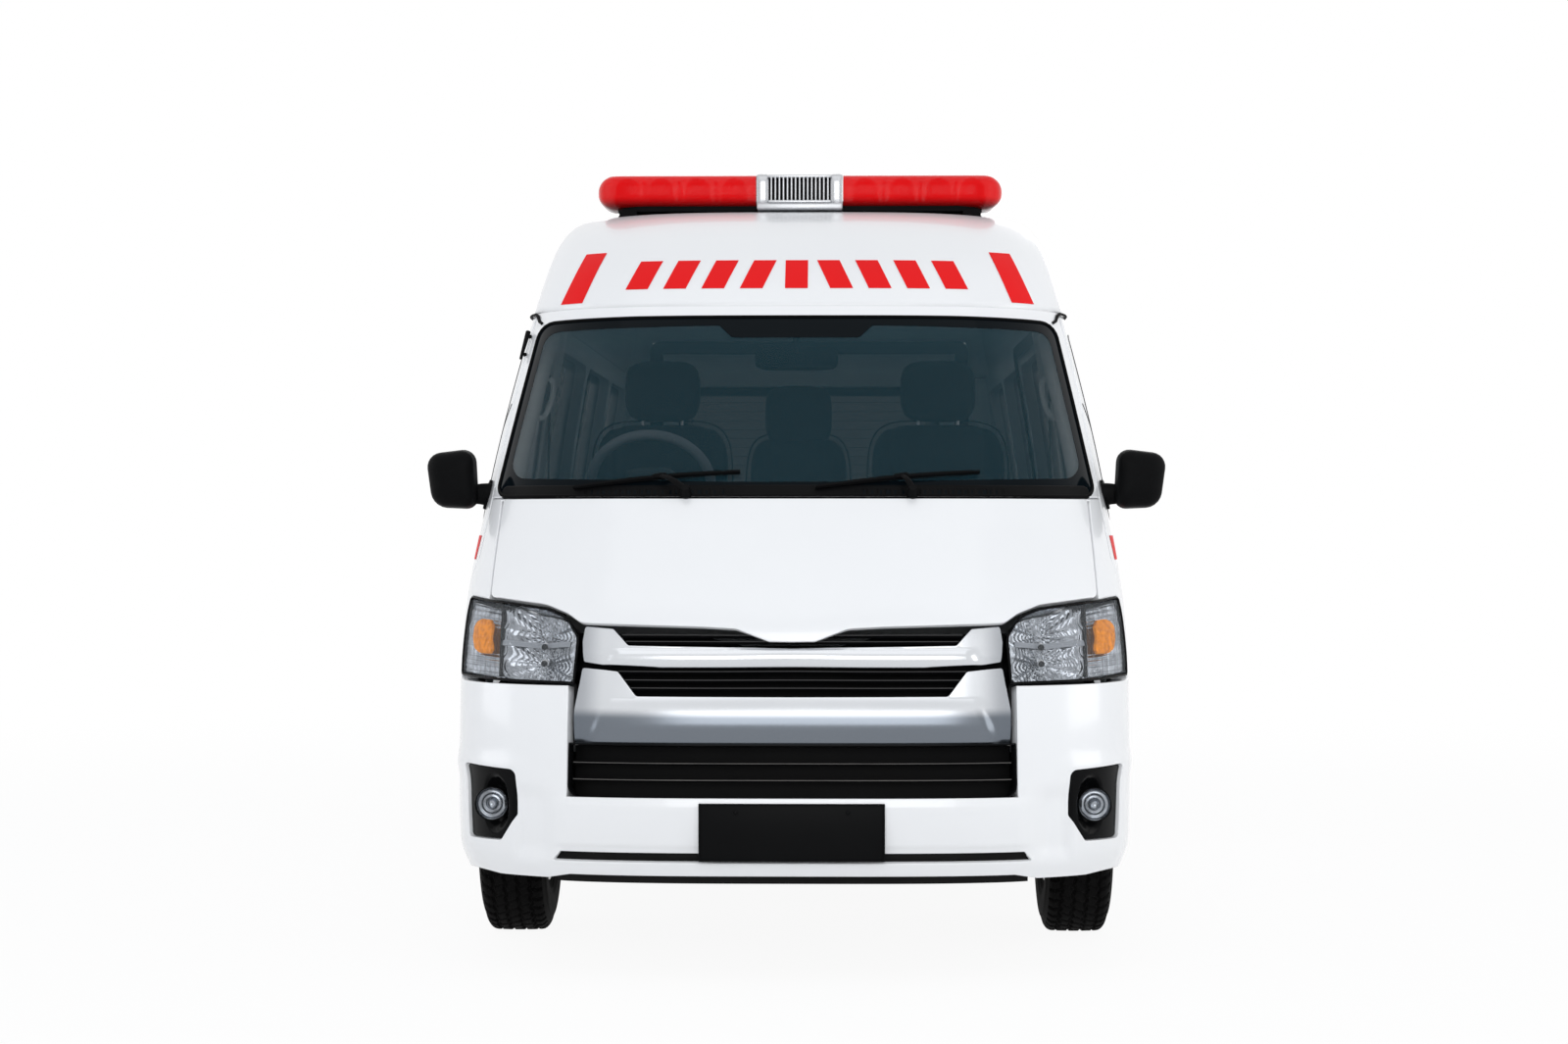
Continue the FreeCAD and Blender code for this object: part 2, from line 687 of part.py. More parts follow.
def build_floor():
    """A stepped cab floor with its bulkhead and the deck under the front seats, then the load floor and wheel boxes."""
    sheets = [
        box("bulkhead", ("-640", "640"), ("430", "430 + panel"), ("footwell - panel", "1180")),
        box("foot_sheet", ("-830", "830"), ("430", "660"), ("footwell - panel", "footwell")),
        box("toe_riser", ("-830", "830"), ("640", "660"), ("footwell - panel", "cab_deck")),
        box("deck_sheet", ("-840", "840"), ("640", "1620"), ("cab_deck - panel", "cab_deck")),
        box("seat_riser", ("-840", "840"), ("1600", "1620"), ("load_floor - panel", "cab_deck")),
    ]
    node("cab_floor", fuse("cab_floor", *sheets))
    axle = "nose_to_axle + wheelbase"
    wells, hollows = [], []
    for side in ("left", "right"):
        low, high = ("650", "880") if side == "left" else ("-880", "-650")
        wells.append(box(f"wheel_box_{side}", (low, high), (f"{axle} - 430", f"{axle} + 430"),
                         ("load_floor - panel", "810")))
        low, high = ("668", "1000") if side == "left" else ("-1000", "-668")
        hollows.append(box(f"wheel_hollow_{side}", (low, high), (f"{axle} - 412", f"{axle} + 412"), ("500", "792")))
    sheet_body = box("load_sheet", ("-880", "880"), ("1620", "5180"), ("load_floor - panel", "load_floor"))
    node("load_floor", cut("load_floor_panel", fuse("load_floor_blank", sheet_body, *wells), *hollows))


def build_frame():
    """Two rails, with cross members between them, outriggers outside them and a towing eye at each end."""
    rails = [box(f"rail_{side}", span, ("260", "5150"), ("rail_low", "rail_high"))
             for side, span in (("left", ("rail_in", "rail_out")), ("right", ("-rail_out", "-rail_in")))]
    node("frame_rails", gather("frame_rails", *rails))
    members = [box(f"cross_member_{i}", ("-rail_in", "rail_in"), (f"{place}", f"{place} + 50"),
                   ("rail_high - 80", "rail_high"))
               for i, place in enumerate((270, 700, 1760, 2700, 3500, 4640, 5100))]
    members += [box(f"outrigger_{i}_{side + 1}", ("rail_out", "800") if side > 0 else ("-800", "-rail_out"),
                    (f"{place}", f"{place} + 50"), ("rail_high - 50", "rail_high"))
                for i, place in enumerate((1560, 3020)) for side in (-1, 1)]
    node("cross_members", gather("cross_members", *members))
    eyes = []
    for label, front, hole_at in (("front", 262, 262 + 32), ("rear", 5084, 5084 + 34)):
        plate = box(f"tow_plate_{label}", ("rail_out", "rail_out + 72"), (f"{front}", f"{front} + 66"),
                    ("rail_low + 10", "rail_low + 30"))
        hole = cylinder(f"tow_hole_{label}", "z", "16", ("rail_out + 38", f"{hole_at}", "rail_low - 20"), "80")
        eyes.append(cut(f"tow_eye_{label}", plate, hole))
    node("tow_eyes", gather("tow_eyes", *eyes))


def build_driveline():
    node("engine", box("engine", ("-290", "290"), ("1100", "1580"), ("330", "770")))
    axle = "nose_to_axle + wheelbase"
    tube = cylinder("axle_tube", "x", "42", ("-715", axle, "tyre_radius"), "1430")
    spindle = cylinder("axle_spindle", "x", "spindle_radius", ("-850", axle, "tyre_radius"), "1700")
    final = cylinder("final_drive", "x", "132", ("-60", axle, "tyre_radius"), "120")
    carrier = cylinder("final_carrier", "x", "96", ("-130", axle, "tyre_radius"), "260")
    shaft = cylinder("drive_shaft", "y", "32", ("0", "1590", "tyre_radius + 20"), "2450")
    node("rear_axle", fuse("rear_axle", tube, spindle, final, carrier, shaft))
    beam = box("front_beam", ("-410", "410"), ("nose_to_axle - 45", "nose_to_axle + 45"), ("250", "320"))
    arms = [box(f"front_arm_{side + 1}", ("380", "708") if side > 0 else ("-708", "-380"),
                ("nose_to_axle - 32", "nose_to_axle + 32"), ("262", "290")) for side in (-1, 1)]
    struts = [box(f"front_strut_{side + 1}", ("rail_in", "rail_out") if side > 0 else ("-rail_out", "-rail_in"),
                  ("nose_to_axle - 40", "nose_to_axle + 40"), ("262", "rail_low")) for side in (-1, 1)]
    node("front_crossmember", fuse("front_crossmember", beam, *arms, *struts))


def build_springs():
    """A leaf pack under each end of the rear axle, drawn as an arc between its two eyes."""
    springs = []
    centre = size.nose_to_axle + size.wheelbase
    for side in (-1, 1):
        low, high = ("430", "480") if side > 0 else ("-480", "-430")
        top = Part.Arc(V(centre - 700, 418, 0), V(centre, 302, 0), V(centre + 700, 418, 0))
        foot = Part.Arc(V(centre + 700, 396, 0), V(centre, 262, 0), V(centre - 700, 396, 0))
        sketch = doc.addObject("Sketcher::SketchObject", f"spring_sketch_{side + 1}")
        shift = V(-size.length / 2, 0, 0)
        curves = [top, Part.LineSegment(V(centre + 700, 418, 0), V(centre + 700, 396, 0)), foot,
                  Part.LineSegment(V(centre - 700, 396, 0), V(centre - 700, 418, 0))]
        for curve in curves:
            curve.translate(shift)
        sketch.Placement = FreeCAD.Placement(V(value(low), 0, 0), VIEWS["side"][0])
        sketch.addGeometry(curves, False)
        pack = doc.addObject("Part::Extrusion", f"spring_{side + 1}")
        pack.Base, pack.DirMode, pack.Dir, pack.Solid = sketch, "Custom", V(1, 0, 0), True
        bind(pack, "LengthFwd", f"({high}) - ({low})")
        springs.append(pack)
    node("leaf_springs", gather("leaf_springs", *springs))


def build_underbody():
    pipe = cylinder("exhaust_pipe", "y", "26", ("-270", "1620", "240"), "2800")
    muffler = cylinder("muffler", "y", "80", ("-270", "2850", "262"), "560")
    node("exhaust", fuse("exhaust", pipe, muffler))
    node("fuel_tank", prism("fuel_tank", "front", [(-800, 300, 50), (-505, 300, 50), (-505, 545, 30), (-800, 545, 30)],
                            "1900", "2900"))


# ---------------------------------------------------------------- wheels

def revolved_body(name, outline, place, holes=None):
    """A body turned about its own X axis from an outline of (along the axle, radius)."""
    body = doc.addObject("PartDesign::Body", name)
    sketch = body.newObject("Sketcher::SketchObject", name + "_profile")
    planes = {feature.Role: feature for feature in body.Origin.OriginFeatures}
    sketch.AttachmentSupport = [(planes["XY_Plane"], "")]
    sketch.MapMode = "FlatFace"
    sketch.addGeometry(rounded(outline), False)
    turned = body.newObject("PartDesign::Revolution", name + "_turned")
    turned.Profile = sketch
    turned.ReferenceAxis = (sketch, ["H_Axis"])
    turned.Angle = 360
    body.Tip = turned
    if holes:
        radius, circle, count = holes
        hole_sketch = body.newObject("Sketcher::SketchObject", name + "_hole")
        hole_sketch.AttachmentSupport = [(planes["YZ_Plane"], "")]
        hole_sketch.MapMode = "FlatFace"
        hole_sketch.addGeometry([Part.Circle(V(circle, 0, 0), V(0, 0, 1), radius)], False)
        pocket = body.newObject("PartDesign::Pocket", name + "_pocket")
        pocket.Profile = hole_sketch
        pocket.Type = 1
        pocket.Midplane = True
        ring = body.newObject("PartDesign::PolarPattern", name + "_ring")
        ring.Originals = [pocket]
        ring.Axis = (planes["X_Axis"], [""])
        ring.Angle = 360
        ring.Occurrences = count
        body.Tip = ring
    turn = FreeCAD.Rotation(V(0, 0, 1), 0 if place[0] > 0 else 180)
    body.Placement = FreeCAD.Placement(V(place[0], place[1] - size.length / 2, place[2]), turn)
    return body


def build_wheels():
    """Four wheels. The outlines run from the inner side to the outer side, with the dish turned outward."""
    half, bead, top = size.tyre_width / 2, size.bead_radius, size.tyre_radius
    tyre = [(-82, bead), (-half, 240, 30), (-half, 292, 40), (-80, top, 30), (80, top, 30), (half, 292, 40),
            (half, 240, 30), (82, bead)]
    rim = [(-84, bead - 0.5), (84, bead - 0.5), (84, bead - 12), (40, bead - 22), (32, 150), (44, 100), (44, 62),
           (20, 62), (20, size.spindle_radius + 0.1), (-14, size.spindle_radius + 0.1), (-14, 78), (22, 92),
           (14, 150), (20, bead - 30), (-40, bead - 22), (-84, bead - 12)]
    front = size.nose_to_axle
    for end, place in (("front", front), ("rear", front + size.wheelbase)):
        for side, sign in (("left", 1), ("right", -1)):
            spot = (sign * size.track_width / 2, place, size.tyre_radius)
            node(f"tyre_{end}_{side}", revolved_body(f"tyre_{end}_{side}", tyre, spot))
            node(f"rim_{end}_{side}", revolved_body(f"rim_{end}_{side}", rim, spot, (17, 125, 8)))
    spare = revolved_body("spare_wheel", [(-98, 30), (-98, 292, 40), (-80, 340, 30), (80, 340, 30), (98, 292, 40),
                                          (98, 30)], (1, 4860, 305))
    spare.Placement = FreeCAD.Placement(V(0, 4860 - size.length / 2, 305), FreeCAD.Rotation(V(0, 1, 0), 90))
    node("spare_wheel", spare)


def build_knuckles():
    """Each front knuckle: an upright on the steering axis, the stub axle and a steering arm."""
    for side, sign in (("left", 1), ("right", -1)):
        upright = cylinder(f"upright_{side}", "z", "26", (f"{sign} * kingpin_x", "nose_to_axle", "225"), "240")
        start = "kingpin_x" if sign > 0 else "-kingpin_x - 105"
        stub = cylinder(f"stub_{side}", "x", "spindle_radius", (start, "nose_to_axle", "tyre_radius"), "105")
        low, high = ("kingpin_x - 95", "kingpin_x - 60") if sign > 0 else ("60 - kingpin_x", "95 - kingpin_x")
        arm = box(f"steering_arm_{side}", (low, high), ("nose_to_axle - 20", "nose_to_axle + 130"), ("330", "356"))
        low, high = ("kingpin_x - 95", "kingpin_x") if sign > 0 else ("-kingpin_x", "95 - kingpin_x")
        root = box(f"arm_root_{side}", (low, high), ("nose_to_axle - 20", "nose_to_axle + 20"), ("325", "365"))
        node(f"knuckle_{side}", fuse(f"knuckle_{side}", upright, stub, arm, root))


# ---------------------------------------------------------------- cabin

WHEEL_TILT = 35
STEERING = (-430, 880, 1335)


def build_cabin():
    profile = [(480, 860), (480, 1215, 20), (640, 1262, 40), (850, 1190, 40), (800, 960, 30), (700, 860)]
    trim = prism("dash_blank", "side", profile, "-790", "790")
    dash = common("dash_trimmed", trim, inner)
    axis = V(0, math.cos(math.radians(WHEEL_TILT)), math.sin(math.radians(WHEEL_TILT)))
    turn = FreeCAD.Rotation(V(0, 0, 1), axis)
    centre = V(STEERING[0], STEERING[1] - size.length / 2, STEERING[2])
    column = doc.addObject("Part::Cylinder", "column")
    column.Radius, column.Height = 32, 260
    column.Placement = FreeCAD.Placement(centre - axis * 290, turn)
    node("dashboard", fuse("dashboard", dash, column))
    ring = doc.addObject("Part::Torus", "steering_ring")
    ring.Radius1, ring.Radius2 = 178, 15
    ring.Placement = FreeCAD.Placement(centre, turn)
    hub = doc.addObject("Part::Cylinder", "steering_hub")
    hub.Radius, hub.Height = 62, 34
    hub.Placement = FreeCAD.Placement(centre - axis * 22, turn)
    spokes = []
    for i, angle in enumerate((0, 140, 220)):
        spoke = doc.addObject("Part::Box", f"steering_spoke_{i}")
        spoke.Length, spoke.Width, spoke.Height = 175, 34, 12
        local = FreeCAD.Placement(V(0, 0, 0), FreeCAD.Rotation(V(0, 0, 1), angle - 90))
        offset = FreeCAD.Placement(V(0, -17, -10), FreeCAD.Rotation())
        spoke.Placement = FreeCAD.Placement(centre, turn).multiply(local).multiply(offset)
        spokes.append(spoke)
    node("steering_wheel", fuse("steering_wheel", ring, hub, *spokes))


# Front seats: name, centre X, width, height of the headrest's top.
SEATS = [("driver", -430, 450, 1742), ("centre", 0, 330, 1668), ("passenger", 440, 450, 1742)]


def build_seats():
    """Each seat is one closed side profile: base, cushion, raked back and headrest."""
    seats = []
    for name, centre, width, top in SEATS:
        profile = [(960, size.cab_deck + 1), (960, 930), (900, 950, 30), (905, 1055, 40), (1330, 1025),
                   (1385, 1500, 30), (1395, top, 30), (1500, top, 40), (1520, 1420, 40), (1470, 1000, 40),
                   (1430, 930), (1430, size.cab_deck + 1)]
        seats.append(prism(f"seat_{name}", "side", profile, f"{centre - width / 2}", f"{centre + width / 2}"))
    node("front_seats", gather("front_seats", *seats))


def build_load_space():
    """A wheeled stretcher on its track and a side bench with a box base."""
    legs = [box(f"stretcher_leg_{i}", (f"{x}", f"{x} + 30"), (f"{s}", f"{s} + 40"), ("load_floor + 1", "load_floor + 300"))
            for i, (x, s) in enumerate(((30, 2800), (520, 2800), (30, 4300), (520, 4300)))]
    deck = box("stretcher_deck", ("10", "570"), ("2600", "4520"), ("load_floor + 280", "load_floor + 330"))
    pad = box("stretcher_pad", ("30", "550"), ("2620", "4500"), ("load_floor + 330", "load_floor + 410"))
    node("stretcher", fuse("stretcher", deck, pad, *legs))
    node("side_bench", box("side_bench", ("-840", "-430"), ("2000", "3640"), ("load_floor + 1", "load_floor + 420")))


# ---------------------------------------------------------------- everything, in order

build_bumper()
build_fog_lights()
build_headlights()
build_grille()
build_hood()
build_fenders()
build_windscreen_frame()
build_windshield()
build_roof()
build_side("left")
build_side("right")
build_front_doors()
build_mirrors()
build_side_glass()
build_sliding_door()
build_tail()
build_light_bar()
build_front_plate()
build_wipers()
build_floor()
build_frame()
build_driveline()
build_springs()
build_underbody()
build_wheels()
build_knuckles()
build_cabin()
build_seats()
build_load_space()
doc.recompute()

failed = [obj.Name for obj in doc.Objects if {"Invalid", "Error"} & set(obj.State)]
if failed:
    raise RuntimeError(f"these features failed: {failed}")
os.makedirs("parts", exist_ok=True)
for name, obj in NODES.items():
    shape = obj.Shape
    if shape.isNull() or not shape.isValid() or not shape.Solids:
        raise RuntimeError(f"{name} has no valid solid")
    shape.exportStep(f"parts/{name}.step")
    print(f"{name:22s} solids {len(shape.Solids)}  faces {len(shape.Faces):4d}  litres {shape.Volume / 1e6:8.2f}")
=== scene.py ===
"""High-roof van ambulance, right-hand drive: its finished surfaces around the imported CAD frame.

Metres throughout, in the frame's own axes: +X is the vehicle's left, -Y is forward, +Z is up. A place along the
vehicle is written s, the distance behind the nose.
"""
import sys

import json
import math

import bmesh
import bpy
import numpy as np
from mathutils import Vector
from mathutils.geometry import delaunay_2d_cdt
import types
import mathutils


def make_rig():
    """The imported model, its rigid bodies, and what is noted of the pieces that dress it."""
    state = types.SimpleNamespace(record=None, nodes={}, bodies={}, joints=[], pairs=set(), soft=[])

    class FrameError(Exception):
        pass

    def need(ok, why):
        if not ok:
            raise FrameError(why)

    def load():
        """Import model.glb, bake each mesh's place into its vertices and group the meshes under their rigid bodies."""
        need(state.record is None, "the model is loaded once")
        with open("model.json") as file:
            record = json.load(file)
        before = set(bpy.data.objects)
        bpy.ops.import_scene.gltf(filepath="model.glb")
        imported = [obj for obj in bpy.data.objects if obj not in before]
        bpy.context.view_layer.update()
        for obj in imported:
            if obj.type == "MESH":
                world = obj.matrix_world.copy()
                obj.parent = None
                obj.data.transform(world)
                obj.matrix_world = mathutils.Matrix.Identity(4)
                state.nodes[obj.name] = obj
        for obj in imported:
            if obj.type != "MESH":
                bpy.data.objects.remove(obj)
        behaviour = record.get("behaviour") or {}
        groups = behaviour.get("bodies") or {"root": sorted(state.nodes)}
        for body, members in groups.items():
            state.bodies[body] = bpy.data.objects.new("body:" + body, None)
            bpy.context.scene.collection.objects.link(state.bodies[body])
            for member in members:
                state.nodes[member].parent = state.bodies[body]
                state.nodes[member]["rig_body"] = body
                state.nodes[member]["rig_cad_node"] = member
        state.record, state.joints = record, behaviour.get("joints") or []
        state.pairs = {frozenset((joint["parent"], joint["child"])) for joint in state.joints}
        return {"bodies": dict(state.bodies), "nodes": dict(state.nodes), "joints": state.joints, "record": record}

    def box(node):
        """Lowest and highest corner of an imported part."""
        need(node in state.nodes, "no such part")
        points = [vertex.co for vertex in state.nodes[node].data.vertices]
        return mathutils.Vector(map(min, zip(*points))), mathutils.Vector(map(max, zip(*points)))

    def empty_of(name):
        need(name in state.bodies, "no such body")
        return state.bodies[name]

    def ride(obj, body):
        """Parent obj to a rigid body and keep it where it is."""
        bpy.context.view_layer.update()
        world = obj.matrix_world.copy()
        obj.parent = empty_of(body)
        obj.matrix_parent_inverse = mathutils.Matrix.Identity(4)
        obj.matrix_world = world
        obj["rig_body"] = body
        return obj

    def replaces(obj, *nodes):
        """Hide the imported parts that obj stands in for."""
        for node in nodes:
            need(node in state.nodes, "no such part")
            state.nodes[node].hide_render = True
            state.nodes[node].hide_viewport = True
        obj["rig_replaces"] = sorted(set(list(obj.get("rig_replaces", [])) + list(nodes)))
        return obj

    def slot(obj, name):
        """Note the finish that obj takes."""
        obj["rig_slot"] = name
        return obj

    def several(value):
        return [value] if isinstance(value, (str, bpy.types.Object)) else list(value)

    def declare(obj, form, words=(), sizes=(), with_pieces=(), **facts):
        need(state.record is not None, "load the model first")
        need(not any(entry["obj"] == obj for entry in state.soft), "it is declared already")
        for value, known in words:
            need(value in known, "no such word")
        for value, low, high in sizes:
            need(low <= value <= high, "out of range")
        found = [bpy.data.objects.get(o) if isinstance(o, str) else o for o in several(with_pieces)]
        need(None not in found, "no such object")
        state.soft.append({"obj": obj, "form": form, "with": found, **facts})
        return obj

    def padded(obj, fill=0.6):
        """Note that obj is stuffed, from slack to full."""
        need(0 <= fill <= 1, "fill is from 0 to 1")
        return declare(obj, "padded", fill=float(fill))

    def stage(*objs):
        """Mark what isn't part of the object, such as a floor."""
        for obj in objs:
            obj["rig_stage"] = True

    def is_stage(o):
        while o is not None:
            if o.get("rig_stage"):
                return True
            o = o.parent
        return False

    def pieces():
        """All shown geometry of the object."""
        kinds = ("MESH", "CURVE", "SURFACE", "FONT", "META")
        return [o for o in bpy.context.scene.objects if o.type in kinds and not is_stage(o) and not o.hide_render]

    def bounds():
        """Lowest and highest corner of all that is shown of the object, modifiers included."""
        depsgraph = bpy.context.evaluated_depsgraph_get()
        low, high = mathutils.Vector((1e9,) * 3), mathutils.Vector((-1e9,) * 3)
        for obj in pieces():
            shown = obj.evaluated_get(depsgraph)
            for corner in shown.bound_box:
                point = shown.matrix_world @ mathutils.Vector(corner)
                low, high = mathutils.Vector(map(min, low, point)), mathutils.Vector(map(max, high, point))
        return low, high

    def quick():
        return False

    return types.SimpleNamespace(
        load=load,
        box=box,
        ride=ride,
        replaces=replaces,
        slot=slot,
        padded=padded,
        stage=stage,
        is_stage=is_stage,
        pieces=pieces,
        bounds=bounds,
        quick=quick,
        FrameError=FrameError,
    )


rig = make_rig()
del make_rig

bl_info = {
    "name": "Ambulance",
    "version": (1, 0, 0),
    "blender": (4, 5, 0),
    "location": "3D View > Sidebar > Ambulance",
    "description": "Builds a high-roof van ambulance, panel by panel, around its CAD frame",
    "category": "Add Mesh",
}

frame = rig.load()
NODES = frame["nodes"]
CAD_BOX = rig.bounds()
LENGTH = 5.38
AXLE_FRONT, AXLE_REAR = 1.015, 4.125
ARCH_RADIUS = 0.415
WHEEL_HEIGHT = 0.345
SIDES = (("left", 1), ("right", -1))
HALF_TRACK = 0.8275
PANEL_TOP, PANEL_FOOT = 1.8665, 0.300


# ---------------------------------------------------------------- the body's outer form

# Level outlines of the body: height, nose, half width, front corner length and tail, each in metres.
FORM = np.array([
    (0.248, 0.062, 0.908, 0.420, 5.330), (0.340, 0.028, 0.938, 0.440, 5.362), (0.480, 0.012, 0.941, 0.450, 5.378),
    (0.640, 0.018, 0.941, 0.450, 5.380), (0.800, 0.042, 0.941, 0.450, 5.312), (0.950, 0.080, 0.938, 0.475, 5.300),
    (1.297, 0.360, 0.914, 0.540, 5.265), (1.850, 0.860, 0.830, 0.500, 5.180), (2.000, 1.032, 0.801, 0.470, 5.140),
    (2.100, 1.215, 0.780, 0.430, 5.085), (2.170, 1.400, 0.757, 0.410, 5.035), (2.210, 1.560, 0.730, 0.400, 4.990),
    (2.240, 1.780, 0.678, 0.400, 4.910), (2.264, 2.150, 0.520, 0.400, 4.680), (2.285, 2.750, 0.170, 0.170, 4.000),
])
CORNER_POWER = 3.5
TAIL_CORNER = 0.130
ROOF_LINE = 1.868


def fair(knots, values, at):
    """Monotone cubic through the knots: each knot's slope is the harmonic mean of its two runs' slopes, or nought
    where they turn, and Hermite's four blending cubics join the knots."""
    run = np.diff(knots)
    slope = np.diff(values, axis=0) / run[:, None]
    product = slope[1:] * slope[:-1]
    mean = np.where(product > 0, 2 * product / np.where(product > 0, slope[1:] + slope[:-1], 1), 0)
    tangent = np.vstack([slope[:1], mean, slope[-1:]])
    i = np.clip(np.searchsorted(knots, at) - 1, 0, len(run) - 1)
    h = run[i][:, None]
    t = ((at - knots[i]) / run[i])[:, None]
    return ((2 * t**3 - 3 * t**2 + 1) * values[i] + (t**3 - 2 * t**2 + t) * h * tangent[i]
            + (3 * t**2 - 2 * t**3) * values[i + 1] + (t**3 - t**2) * h * tangent[i + 1])


LEVELS = np.linspace(0.236, 2.285, 1025)
TABLE = fair(FORM[:, 0], FORM[:, 1:], LEVELS)


def level(z):
    """Nose, half width, corner length and tail of the body at each height."""
    return [np.interp(z, LEVELS, TABLE[:, k]) for k in range(4)]


def step(x, low, high):
    """Smooth step: 0 below low, 1 above high, and 3t^2 - 2t^3 between them."""
    t = np.clip((x - low) / (high - low), 0, 1)
    return t * t * (3 - 2 * t)


def hump(x, middle, reach):
    """Bell curve e to the minus (distance / reach) squared."""
    return np.exp(-(((x - middle) / reach) ** 2))


def corner_turn(travel, half, depth):
    """Share of the half width reached after a travel, measured as across plus back, round a corner whose plan is
    (x / half)^p + (1 - back / depth)^2 = 1. Solved by halving the angle's bracket."""
    low, high = np.zeros_like(travel), np.full_like(travel, math.pi / 2)
    for _ in range(36):
        middle = (low + high) / 2
        far = half * np.sin(middle) ** (2 / CORNER_POWER) + depth * (1 - np.cos(middle)) > travel
        low, high = np.where(far, low, middle), np.where(far, middle, high)
    return (low + high) / 2


def plan(c, z, rear=False):
    """X, s and the outward plan normal at a travel c round the level outline at height z. The travel is measured
    as across plus back from the middle of the nose, or of the tail when rear is true, and is negative on the right."""
    nose, half, depth, tail = level(z)
    side, travel = np.where(c < 0, -1.0, 1.0), np.abs(c)
    total = 2 * half + tail - nose
    travel = total - travel if rear else travel
    at_front, at_rear = travel < half + depth, travel > total - half - TAIL_CORNER
    turn = np.where(at_front, corner_turn(np.minimum(travel, half + depth), half, depth),
                    corner_turn(np.clip(total - travel, 0, half + TAIL_CORNER), half, TAIL_CORNER))
    sine, cosine = np.sin(turn), np.cos(turn)
    x = np.where(at_front | at_rear, half * sine ** (2 / CORNER_POWER), half)
    s = np.where(at_front, nose + depth * (1 - cosine),
                 np.where(at_rear, tail - TAIL_CORNER * (1 - cosine), nose + travel - half))
    nx = CORNER_POWER * (x / half) ** (CORNER_POWER - 1) / half
    ns = np.where(at_front, -2 * cosine / depth, np.where(at_rear, 2 * cosine / TAIL_CORNER, 0))
    size = np.hypot(nx, ns)
    return side * x, s, side * nx / size, ns / size


def relief(x, s, z):
    """How far the pressed shapes stand out of the plain form: the sum of the hood's plateau and nose, the bumper's
    centre, lip and lamp scoops, the arch flares, and the waist and lower creases of the sides."""
    across = np.abs(x)
    ahead = s < 0.9
    high = step(z, 0.86, 0.95)
    plateau = (0.005 * high * (1 - step(across, 0.50 - 0.20 * (z - 1.0), 0.60 - 0.20 * (z - 1.0)))
               * (1 - step(z, 1.22, 1.30)))
    nose = 0.012 * hump(x, 0, 0.15) * hump(z, 0.92, 0.085)
    low = 1 - step(z, 0.66, 0.76)
    centre = 0.008 * low * step(z, 0.345, 0.36) * (1 - step(z, 0.462, 0.50)) * (1 - step(across, 0.60, 0.66))
    lip = 0.012 * (1 - step(z, 0.318, 0.334)) * (1 - step(across, 0.56, 0.72))
    scoop = (-0.016 * step(across, 0.63, 0.70) * (1 - step(across, 0.735, 0.765)) * step(z, 0.30, 0.36)
             * (1 - step(z, 0.47, 0.53)))
    brow = 0.006 * step(across, 0.70, 0.76) * hump(z, 0.560, 0.030)
    front = np.where(ahead, plateau + nose + centre + lip + scoop + brow, 0)
    flare = 0
    for axle in (AXLE_FRONT, AXLE_REAR):
        away = np.hypot(s - axle, z - WHEEL_HEIGHT)
        flare = flare + 0.012 * (1 - step(away, ARCH_RADIUS + 0.015, ARCH_RADIUS + 0.075)) * step(across, 0.86, 0.90)
    on_side = step(s, 0.60, 0.75) * (1 - step(s, 5.12, 5.20))
    waist = 0.005 * (1 - step(z, 1.108, 1.118)) * step(z, 0.95, 1.05)
    lower = 0.004 * (1 - step(z, 0.560, 0.572))
    return front + np.minimum(flare, 0.012) + on_side * (waist + lower)


def surface(c, z, rear=False):
    """Points of the outer skin: the plan point at (c, z), pushed out along the plan normal by the relief."""
    x, s, nx, ns = plan(c, z, rear)
    out = relief(x, s, z)
    return np.stack([x + nx * out, s + ns * out - LENGTH / 2, z], -1)


def unit(v):
    return v / np.maximum(np.linalg.norm(v, axis=-1, keepdims=True), 1e-12)


def normals(c, z, rear=False):
    """Outward unit normals of the skin: the cross product of central differences over 3 mm in c and in z."""
    h = 0.003
    along = surface(c + h, z, rear) - surface(c - h, z, rear)
    up = surface(c, z + h, rear) - surface(c, z - h, rear)
    return unit(np.cross(along, up)) * (-1 if rear else 1)


def skin(c, z, depth=0.0, rear=False):
    """Points and normals a depth inside the skin, which is the skin minus its normal times the depth."""
    n = normals(c, z, rear)
    return surface(c, z, rear) - n * np.reshape(depth, (-1, 1)), n


def covered(c, z, sink=0.0, rear=False):
    """Points and normals of a sheet under the skin. The depth is a number, or a function of (c, z), and then the
    normal is the cross product of the sheet's own differences over 1.5 mm."""
    if not callable(sink):
        return skin(c, z, sink, rear)

    def place(a, b):
        point, n = skin(a, b, 0.0, rear)
        return point - n * np.reshape(sink(a, b), (-1, 1))

    h = 0.0015
    n = unit(np.cross(place(c + h, z) - place(c - h, z), place(c, z + h) - place(c, z - h))) * (-1 if rear else 1)
    return place(c, z), n


def from_front(x, z):
    """Travel c of the point of the nose seen at (x, z) from the front."""
    _, half, depth, _ = level(z)
    share = np.clip(np.abs(x) / half, 0, 1)
    return np.sign(x) * (np.abs(x) + depth * (1 - np.sqrt(1 - share**CORNER_POWER)))


def from_rear(x, z):
    """Travel from the middle of the tail to the point seen at (x, z) from behind."""
    half = level(z)[1]
    share = np.clip(np.abs(x) / half, 0, 1)
    return np.sign(x) * (np.abs(x) + TAIL_CORNER * (1 - np.sqrt(1 - share**CORNER_POWER)))


def from_side(s, z, sign=1):
    """Travel c of the point of one side seen at (s, z), also where the side turns into the nose or the tail."""
    nose, half, depth, tail = level(z)
    front = np.clip(1 - (s - nose) / depth, 0, 1)
    rear = np.clip(1 - (tail - s) / TAIL_CORNER, 0, 1)
    x_front = half * (1 - front**2) ** (1 / CORNER_POWER)
    x_rear = half * (1 - rear**2) ** (1 / CORNER_POWER)
    return sign * (x_front + (s - nose) + (half - x_rear))


